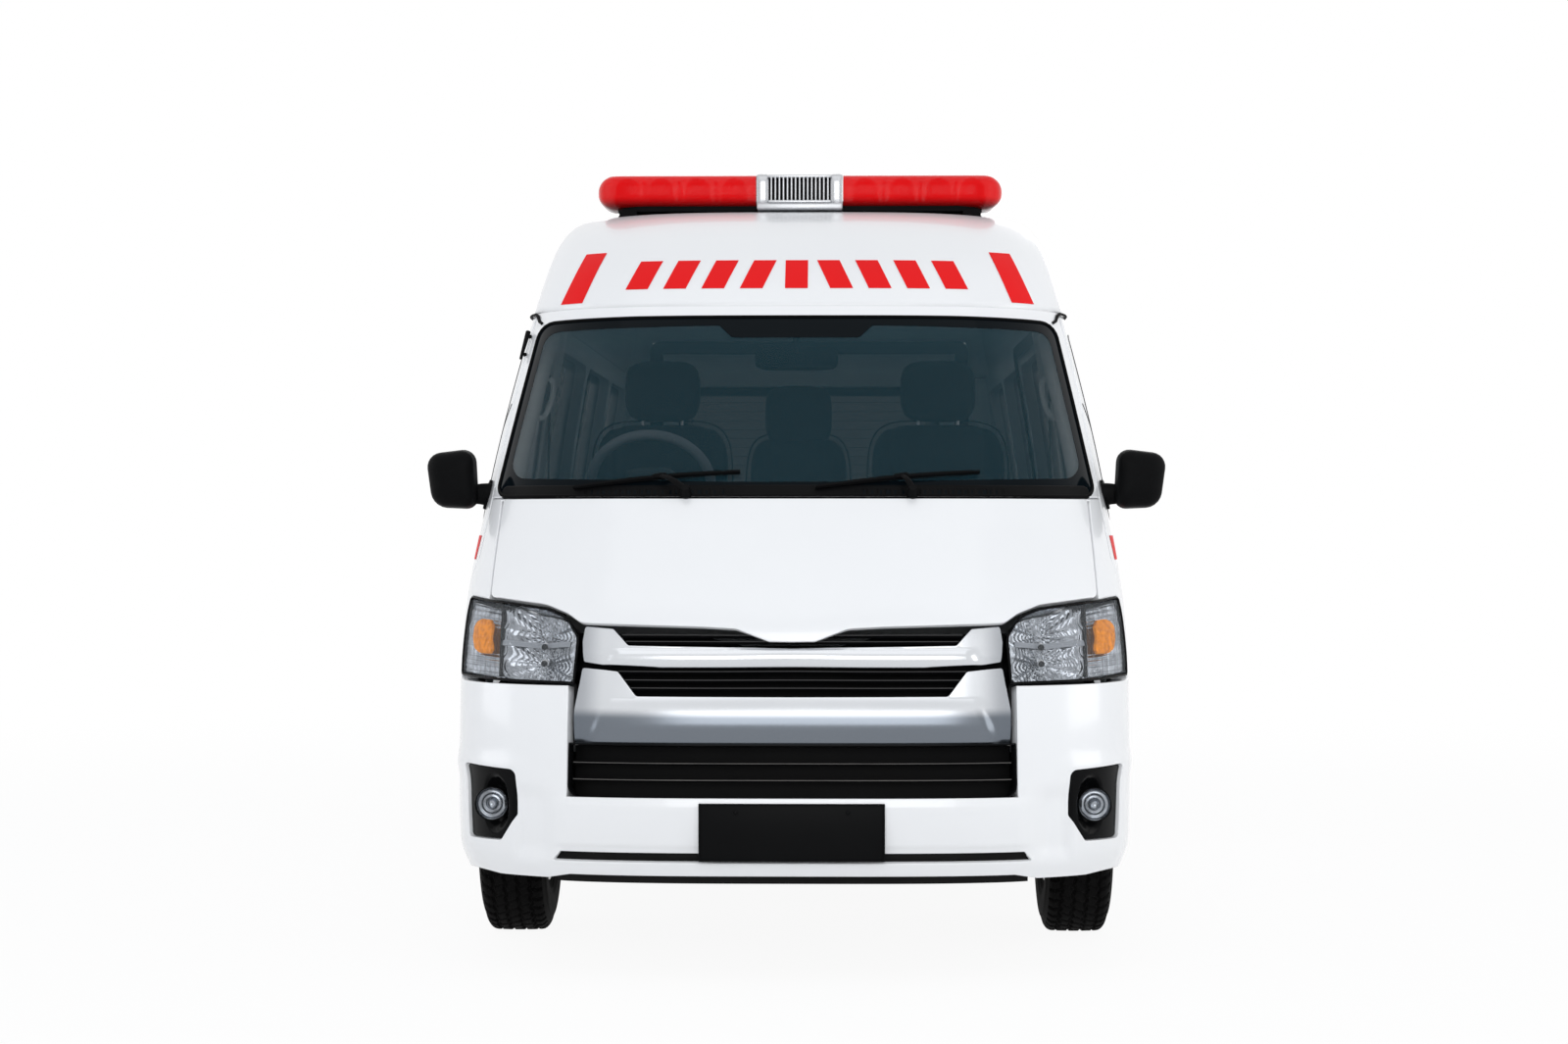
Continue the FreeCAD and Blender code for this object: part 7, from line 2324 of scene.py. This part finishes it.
class AMBULANCE_OT_cab(bpy.types.Operator):
    """Pillar trims with grab handles, inner mirror, visors, door trims and the partition"""

    bl_idname = "ambulance.cab"
    bl_label = "Cab trim"

    def execute(self, context):
        trim = Build()
        for sign in (1, -1):
            z = np.linspace(1.315, 1.840, 26)
            ahead = front_spot(sign * (np.interp(z, [1.352, 1.797], [0.833, 0.759]) + 0.012), z, 0.012)
            behind = side_spot(np.interp(z, [1.297, 1.862], [0.712, 1.207]) + 0.040, z, 0.062, sign)
            u = np.linspace(0, 1, 12)[None, :, None]
            face = ahead[:, None] * (1 - u) + behind[:, None] * u
            swell = np.sin(math.pi * u) ** 0.7
            shell = np.concatenate([face - swell * [sign * 0.036, -0.010, 0],
                                    (face + swell * [sign * 0.004, 0, 0])[:, 10:0:-1]], 1)
            trim.grid(shell, wrap_columns=True, flip=sign > 0)
            for row, order in ((0, 1), (-1, -1)):
                trim.add(shell[row], np.arange(22)[::order * sign][None])
            share = np.linspace(0, 1, 20)
            bar_s, bar_z = 1.020 + 0.085 * share, 1.565 + 0.130 * share
            stand = 0.066 + 0.030 + 0.022 * np.sin(math.pi * share) ** 0.35
            ribbon(trim, side_spot(bar_s, bar_z, stand, sign), disc(0.0085, 10))
            post = side_spot(1.640, np.linspace(0.90, 1.850, 12), 0.066, sign)
            ribbon(trim, post, disc(0.055, 14, 0.28), up=(sign, 0, 0))
        mirror_spot = at(0, 1.000, 1.716)
        pillow(trim, mirror_spot, (0.250, 0.072, 0.030), moved(turn=78, axis="x"), 5.0, 0.1, 1)
        brick(trim, mirror_spot + [0, 0.0135, 0.002], (0.228, 0.004, 0.056), 0.002, 2, move=moved(turn=-12, axis="x"))
        ribbon(trim, curve([mirror_spot + [0, -0.012, 0.010], at(0, 0.985, 1.760), at(0, 0.962, 1.788)], 10),
               disc(0.009, 10), up=(1, 0, 0), paint=1, scale=np.linspace(0.8, 1.5, 10))
        for x in (-0.43, 0.43):
            spot = at(x, 1.235, 1.838)
            pillow(trim, spot, (0.400, 0.165, 0.022), moved(turn=6, axis="x"), 6.0, 0.1)
            ribbon(trim, np.array([spot + [-0.19, -0.075, 0.002], spot + [0.19, -0.075, 0.002]]), disc(0.005, 8),
                   paint=1)
        brick(trim, at(0, 1.585, 1.020), (1.50, 0.026, 0.400), 0.010, 3)
        ribbon(trim, curve([at(-0.74, 1.585, 1.226), at(0, 1.585, 1.230), at(0.74, 1.585, 1.226)], 20), disc(0.016),
               paint=4)
        trim.piece("cab_trim", "body", "dash_plastic",
                   materials("pillar_trim", "black_plastic", "reflector", "cabinet", "aluminium"))
        for side, sign in SIDES:
            door = Build()
            s = np.linspace(1.00, 1.45, 24)
            ribbon(door, side_spot(s, 1.060, 0.066, sign), disc(0.030, 14, 0.7),
                   scale=np.concatenate([np.linspace(0.4, 1, 6), np.ones(12), np.linspace(1, 0.4, 6)]))
            share = np.linspace(0, 1, 16)
            ribbon(door, side_spot(1.10 + 0.12 * share, 1.150, 0.056 + 0.020 * np.sin(math.pi * share) ** 0.5, sign),
                   disc(0.006, 8), paint=1)
            s = np.linspace(0.86, 1.55, 30)
            for z in (0.640, 0.655, 0.670):
                ribbon(door, side_spot(s, z, 0.052, sign), disc(0.003, 6))
            door.piece(f"door_trim_{side}", f"front_door_{side}", "dash_plastic",
                       materials("dash_plastic", "black_plastic"))
        return {"FINISHED"}


class AMBULANCE_OT_weatherstrips(bpy.types.Operator):
    """Rubber strips behind the gaps of the front doors, the sliding door and the tailgate"""

    bl_idname = "ambulance.weatherstrips"
    bl_label = "Weatherstrips"

    def execute(self, context):
        strips = Build()
        flat = [(-0.020, -0.004), (0.020, -0.004), (0.016, 0.004), (-0.016, 0.004)]
        gate = wound(rear_view(oblong(-0.690, 0.690, 0.632, 2.022, 0.02)), 1)
        spots, out = skin(*gate.T, 0.058, rear=True)
        ribbon(strips, spots, [(-0.030, -0.004), (0.030, -0.004), (0.028, 0.004), (-0.028, 0.004)], up=out, closed=True)
        slide = wound(side_view([(1.712, 0.424, 0.03), (2.918, 0.424, 0.03), (2.918, 1.848, 0.06),
                                 (1.712, 1.848, 0.06)]), 1)
        spots, out = skin(*slide.T, 0.058)
        ribbon(strips, spots, flat, up=out, closed=True)
        line = rounded([(0.560, 0.830), (0.560, 1.114, 0.05), (0.698, 1.254, 0.05), (1.222, 1.850, 0.05),
                        (1.600, 1.850, 0.05), (1.624, 1.790, 0.05), (1.624, 0.440)], closed=False)
        for sign in (1, -1):
            run = on_side(line, sign)
            spots, out = skin(*run.T, 0.058)
            ribbon(strips, spots, flat, up=out)
        strips.piece("weatherstrips", "body", "black_plastic", materials("rubber"))
        return {"FINISHED"}


# ---------------------------------------------------------------- load space

class AMBULANCE_OT_stretcher(bpy.types.Operator):
    """Wheeled stretcher: tube frame, crossed legs, castors, three padded sections and straps"""

    bl_idname = "ambulance.stretcher"
    bl_label = "Stretcher"

    def execute(self, context):
        form = cushion((0.505, 0.610, 0.078), 7.0, 0.18, 0.012, [(1, 0.15, 0.004), (1, -0.15, 0.004)])
        flat = np.eye(4)
        for i, s in enumerate((2.940, 3.560, 4.180)):
            padded_piece(f"stretcher_pad_{i}", [(form, at(0.290, s, 1.010), flat, 0)], "body", "stretcher_pad",
                         ["stretcher_pad"], ["stretcher"])
        bed = Build()
        loop = rounded(oblong(0.022, 0.558, 2.615, 4.505, 0.09), 0.04)
        ribbon(bed, np.stack([loop[:, 0], loop[:, 1] - LENGTH / 2, np.full(len(loop), 0.950)], -1), disc(0.014),
               closed=True)
        for s in np.linspace(2.70, 4.42, 9):
            ribbon(bed, np.array([at(0.034, s, 0.952), at(0.29, s, 0.950), at(0.546, s, 0.952)]), disc(0.009, 8))
        for x in (0.046, 0.534):
            for s0, s1 in ((2.83, 4.27), (4.27, 2.83)):
                ribbon(bed, np.linspace(at(x, s0, 0.935), at(x, s1, 0.735), 8), disc(0.012, 10), up=(1, 0, 0))
            ribbon(bed, np.linspace(at(x, 2.76, 0.728), at(x, 4.34, 0.728), 8), disc(0.012, 10), up=(1, 0, 0))
            for s in (2.80, 4.30):
                lathe(bed, [(-0.009, 0.0), (-0.011, 0.014), (-0.012, 0.046), (-0.007, 0.0505), (0.007, 0.0505),
                            (0.012, 0.046), (0.011, 0.014), (0.009, 0.0)],
                      at(x, s, 0.6935), "x", 1, 32)
                for side in (-0.018, 0.018):
                    brick(bed, at(x + side, s, 0.715), (0.004, 0.030, 0.060), 0.002)
                brick(bed, at(x, s, 0.744), (0.044, 0.040, 0.006), 0.002)
            rail = curve([at(x, 3.00, 0.955), at(x, 3.02, 1.070), at(x, 3.12, 1.095), at(x, 3.60, 1.095),
                          at(x, 3.70, 1.070), at(x, 3.72, 0.955)], 60)
            side = -1 if x < 0.2 else 1
            ribbon(bed, rail + [side * 0.010, 0, 0], disc(0.008, 10), up=(1, 0, 0))
            for s in (3.24, 3.36, 3.48):
                ribbon(bed, np.array([at(x + side * 0.010, s, 0.955), at(x + side * 0.010, s, 1.092)]), disc(0.005, 8),
                       up=(1, 0, 0))
        bed.piece("stretcher_frame", "body", "steel_grey", materials("aluminium", "rubber"), ["stretcher"])
        straps = Build()
        for s in (2.95, 3.55, 4.15):
            web = rounded([(0.020, 0.965, 0.02), (0.020, 1.056, 0.03), (0.560, 1.056, 0.03), (0.560, 0.965, 0.02)],
                          closed=False)
            path = np.stack([web[:, 0], np.full(len(web), s - LENGTH / 2),
                             web[:, 1] + 0.004 * hump(web[:, 0], 0.29, 0.24)], -1)
            ribbon(straps, path, slab(0.024, 0.001), up=(0.01, 0, 1))
            brick(straps, at(0.29, s, 1.064), (0.070, 0.056, 0.014), 0.004, 1)
            brick(straps, at(0.29, s, 1.071), (0.030, 0.026, 0.006), 0.002, 2)
        straps.piece("stretcher_straps", "body", "black_plastic", materials("belt_web", "black_plastic", "stripe_red"))
        return {"FINISHED"}


class AMBULANCE_OT_bench(bpy.types.Operator):
    """Side bench with its locker, padded seat and back, overhead rail and lights"""

    bl_idname = "ambulance.bench"
    bl_label = "Bench and lockers"

    def execute(self, context):
        locker = Build()
        brick(locker, at(-0.638, 2.820, 0.811), (0.390, 1.624, 0.336), 0.012)
        for s in (2.288, 2.820, 3.352):
            brick(locker, at(-0.4425, s, 0.815), (0.014, 0.500, 0.290), 0.008)
            ribbon(locker,
                   curve([at(-0.436, s - 0.06, 0.925), at(-0.418, s - 0.045, 0.925), at(-0.418, s + 0.045, 0.925),
                          at(-0.436, s + 0.06, 0.925)], 20),
                   disc(0.005, 8), paint=1)
            for end in (-0.20, 0.20):
                lathe(locker, [(0.0, 0.012), (0.003, 0.012), (0.005, 0.009), (0.005, 0)], at(-0.435, s + end, 0.720),
                      "x", 1, 16)
        brick(locker, at(-0.638, 2.820, 0.652), (0.384, 1.616, 0.020), 0.004, 2)
        locker.piece("bench_locker", "body", "bench_vinyl", materials("cabinet", "aluminium", "black_plastic"),
                     ["side_bench"])
        seat = cushion((0.400, 0.535, 0.080), 7.0, 0.2, 0.012, [(0, 0.0, 0.004)])
        back = cushion((0.535, 0.300, 0.060), 6.0, 0.2, 0.010, [(1, 0.0, 0.003)])
        flat = np.eye(4)
        turn = moved(turn=90, axis="z") @ moved(turn=84, axis="x")
        for i, s in enumerate((2.270, 2.820, 3.370)):
            padded_piece(f"bench_seat_{i}", [(seat, at(-0.638, s, 1.020), flat, 0)], "body", "bench_vinyl",
                         ["bench_vinyl"], ["side_bench"])
            padded_piece(f"bench_back_{i}", [(back, at(-0.812, s, 1.235), turn, 0)], "body", "bench_vinyl",
                         ["bench_vinyl"])
        fit = Build()
        for x in (-0.26, 0.26):
            rail = curve([at(x, 1.90, 2.205), at(x, 1.93, 2.150), at(x, 2.10, 2.140), at(x, 4.20, 2.140),
                          at(x, 4.37, 2.150), at(x, 4.40, 2.205)], 60)
            ribbon(fit, rail, disc(0.013), up=(1, 0, 0))
        for s in (2.35, 3.15, 3.95):
            brick(fit, at(0, s, 2.226), (0.30, 0.12, 0.016), 0.006, 1)
            brick(fit, at(0, s, 2.216), (0.26, 0.09, 0.010), 0.004, 2)
        brick(fit, at(0.740, 4.66, 1.000), (0.170, 0.700, 0.700), 0.012, 1)
        for z in (0.78, 1.00, 1.22):
            brick(fit, at(0.652, 4.66, z), (0.012, 0.660, 0.205), 0.006, 1)
            ribbon(fit, np.linspace(at(0.640, 4.56, z + 0.06), at(0.640, 4.76, z + 0.06), 6), disc(0.005, 8))
        lathe(fit, [(0.0, 0.0), (0.004, 0.040), (0.03, 0.069), (0.52, 0.070), (0.60, 0.055), (0.66, 0.022),
                    (0.69, 0.020), (0.72, 0.018), (0.725, 0.0)],
              at(-0.740, 4.72, 0.645), "z", 3, 40)
        for z in (0.78, 1.08):
            lathe(fit, [(0.0, 0.0705), (0.002, 0.073), (0.028, 0.073), (0.030, 0.0705)], at(-0.740, 4.72, z), "z", 0,
                  40)
        fit.piece("load_fittings", "body", "steel_grey", materials("aluminium", "cabinet", "glow", "gas_green"))
        return {"FINISHED"}


# ---------------------------------------------------------------- the stage

CAMERA_LENS = 65.7
CAMERA_ASIDE, CAMERA_DISTANCE, CAMERA_HEIGHT = 0.115, 7.6, 1.225
CAMERA_TURN = 0.0178


class AMBULANCE_OT_stage(bpy.types.Operator):
    """Floor, soft lamps, world and camera"""

    bl_idname = "ambulance.stage"
    bl_label = "Stage"

    def execute(self, context):
        scene = context.scene
        scene.view_settings.view_transform = "Standard"
        world = bpy.data.worlds.new("studio")
        scene.world = world
        world.use_nodes = True
        tree = world.node_tree
        light = tree.nodes["Background"]
        light.inputs["Color"].default_value = (0.93, 0.96, 1.0, 1)
        light.inputs["Strength"].default_value = 0.62
        seen = tree.nodes.new("ShaderNodeBackground")
        seen.inputs["Color"].default_value = (1, 1, 1, 1)
        mix = tree.nodes.new("ShaderNodeMixShader")
        for out, into in zip((self.shown(tree), light.outputs[0], seen.outputs[0]), mix.inputs):
            link(tree, out, into)
        link(tree, mix.outputs[0], tree.nodes["World Output"].inputs["Surface"])

        floor = Build()
        ring = np.linspace(0, 1, 24)[:, None] ** 2 * 40
        c, s = circle(96)
        floor.grid(np.stack([ring * c, ring * s, 0 * ring * c], -1), wrap_columns=True)
        cover = bpy.data.materials.new("floor")
        cover.use_nodes = True
        tree = cover.node_tree
        matt = tree.nodes["Principled BSDF"]
        matt.inputs["Base Color"].default_value = (0.95, 0.95, 0.95, 1)
        matt.inputs["Roughness"].default_value = 0.9
        matt.inputs["Specular IOR Level"].default_value = 0.1
        white = tree.nodes.new("ShaderNodeEmission")
        mix = tree.nodes.new("ShaderNodeMixShader")
        where = tree.nodes.new("ShaderNodeTexCoord")
        away = tree.nodes.new("ShaderNodeVectorMath")
        away.operation = "LENGTH"
        link(tree, where.outputs["Object"], away.inputs[0])
        far = ramp(tree, away.outputs["Value"], 2.5, 9.0, low=0.93, smooth=True)
        share = maths(tree, "MULTIPLY", self.shown(tree), far)
        for out, into in zip((share, matt.outputs[0], white.outputs[0]), mix.inputs):
            link(tree, out, into)
        link(tree, mix.outputs[0], tree.nodes["Material Output"].inputs["Surface"])
        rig.stage(floor.object("floor", [cover]))

        for name, spot, aim, width, power, tone in (
                ("lamp_front", (0.5, -11.0, 3.4), (0, -2.0, 1.1), 5.0, 210, (1, 1, 1)),
                ("lamp_over", (0, -3.0, 7.0), (0, -0.5, 1.0), 6.0, 44, (1, 1, 1)),
                ("lamp_left", (7.5, -3.0, 3.0), (0, 0, 1.1), 4.0, 95, (1, 0.99, 0.97)),
                ("lamp_right", (-7.5, -2.0, 3.0), (0, 0, 1.1), 4.0, 65, (0.97, 0.98, 1)),
                ("lamp_rear", (0.8, 9.0, 3.6), (0, 0, 1.2), 5.0, 100, (1, 1, 1))):
            lamp = bpy.data.lights.new(name, "AREA")
            lamp.shape, lamp.size, lamp.energy, lamp.color = "SQUARE", width, power, tone
            obj = bpy.data.objects.new(name, lamp)
            scene.collection.objects.link(obj)
            obj.location = spot
            obj.rotation_euler = (Vector(aim) - Vector(spot)).to_track_quat("-Z", "Y").to_euler()

        camera = bpy.data.cameras.new("camera")
        camera.lens, camera.sensor_width = CAMERA_LENS, 36.0
        camera.clip_end = 200
        obj = bpy.data.objects.new("camera", camera)
        scene.collection.objects.link(obj)
        obj.location = at(CAMERA_ASIDE, -CAMERA_DISTANCE, CAMERA_HEIGHT)
        obj.rotation_euler = (math.pi / 2, 0, CAMERA_TURN)
        scene.camera = obj
        return {"FINISHED"}

    @staticmethod
    def shown(tree):
        """An output that is 1 for rays from the camera and those that gloss or glass sends on, and 0 for the rest."""
        path = tree.nodes.new("ShaderNodeLightPath")
        sent_on = maths(tree, "ADD", path.outputs["Is Glossy Ray"], path.outputs["Is Transmission Ray"])
        total = maths(tree, "ADD", path.outputs["Is Camera Ray"], sent_on)
        total.node.use_clamp = True
        return total


# ---------------------------------------------------------------- the add-on

OPERATORS = tuple(value for name, value in list(globals().items()) if name.startswith("AMBULANCE_OT_"))


class AMBULANCE_PT_panel(bpy.types.Panel):
    """The ambulance's pieces, in the sidebar of the 3D view"""

    bl_idname = "AMBULANCE_PT_panel"
    bl_label = "Ambulance"
    bl_space_type = "VIEW_3D"
    bl_region_type = "UI"
    bl_category = "Ambulance"

    def draw(self, context):
        for group in (context.scene.ambulance_sizes, context.scene.ambulance_colours):
            box = self.layout.box()
            for name in group.__annotations__:
                box.prop(group, name)
        for operator in OPERATORS:
            self.layout.operator(operator.bl_idname)


CLASSES = (AmbulanceColours, AmbulanceSizes, *OPERATORS, AMBULANCE_PT_panel)


def register():
    for cls in CLASSES:
        bpy.utils.register_class(cls)
    bpy.types.Scene.ambulance_colours = bpy.props.PointerProperty(type=AmbulanceColours)
    bpy.types.Scene.ambulance_sizes = bpy.props.PointerProperty(type=AmbulanceSizes)


def unregister():
    del bpy.types.Scene.ambulance_sizes
    del bpy.types.Scene.ambulance_colours
    for cls in reversed(CLASSES):
        bpy.utils.unregister_class(cls)


def main():
    register()
    for operator in OPERATORS:
        group, name = operator.bl_idname.split(".")
        getattr(getattr(bpy.ops, group), name)()
    with open("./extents.json", "w") as file:
        json.dump({"cad": [list(v) for v in CAD_BOX], "visual": [list(v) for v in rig.bounds()]}, file)


if __name__ == "__main__":
    main()
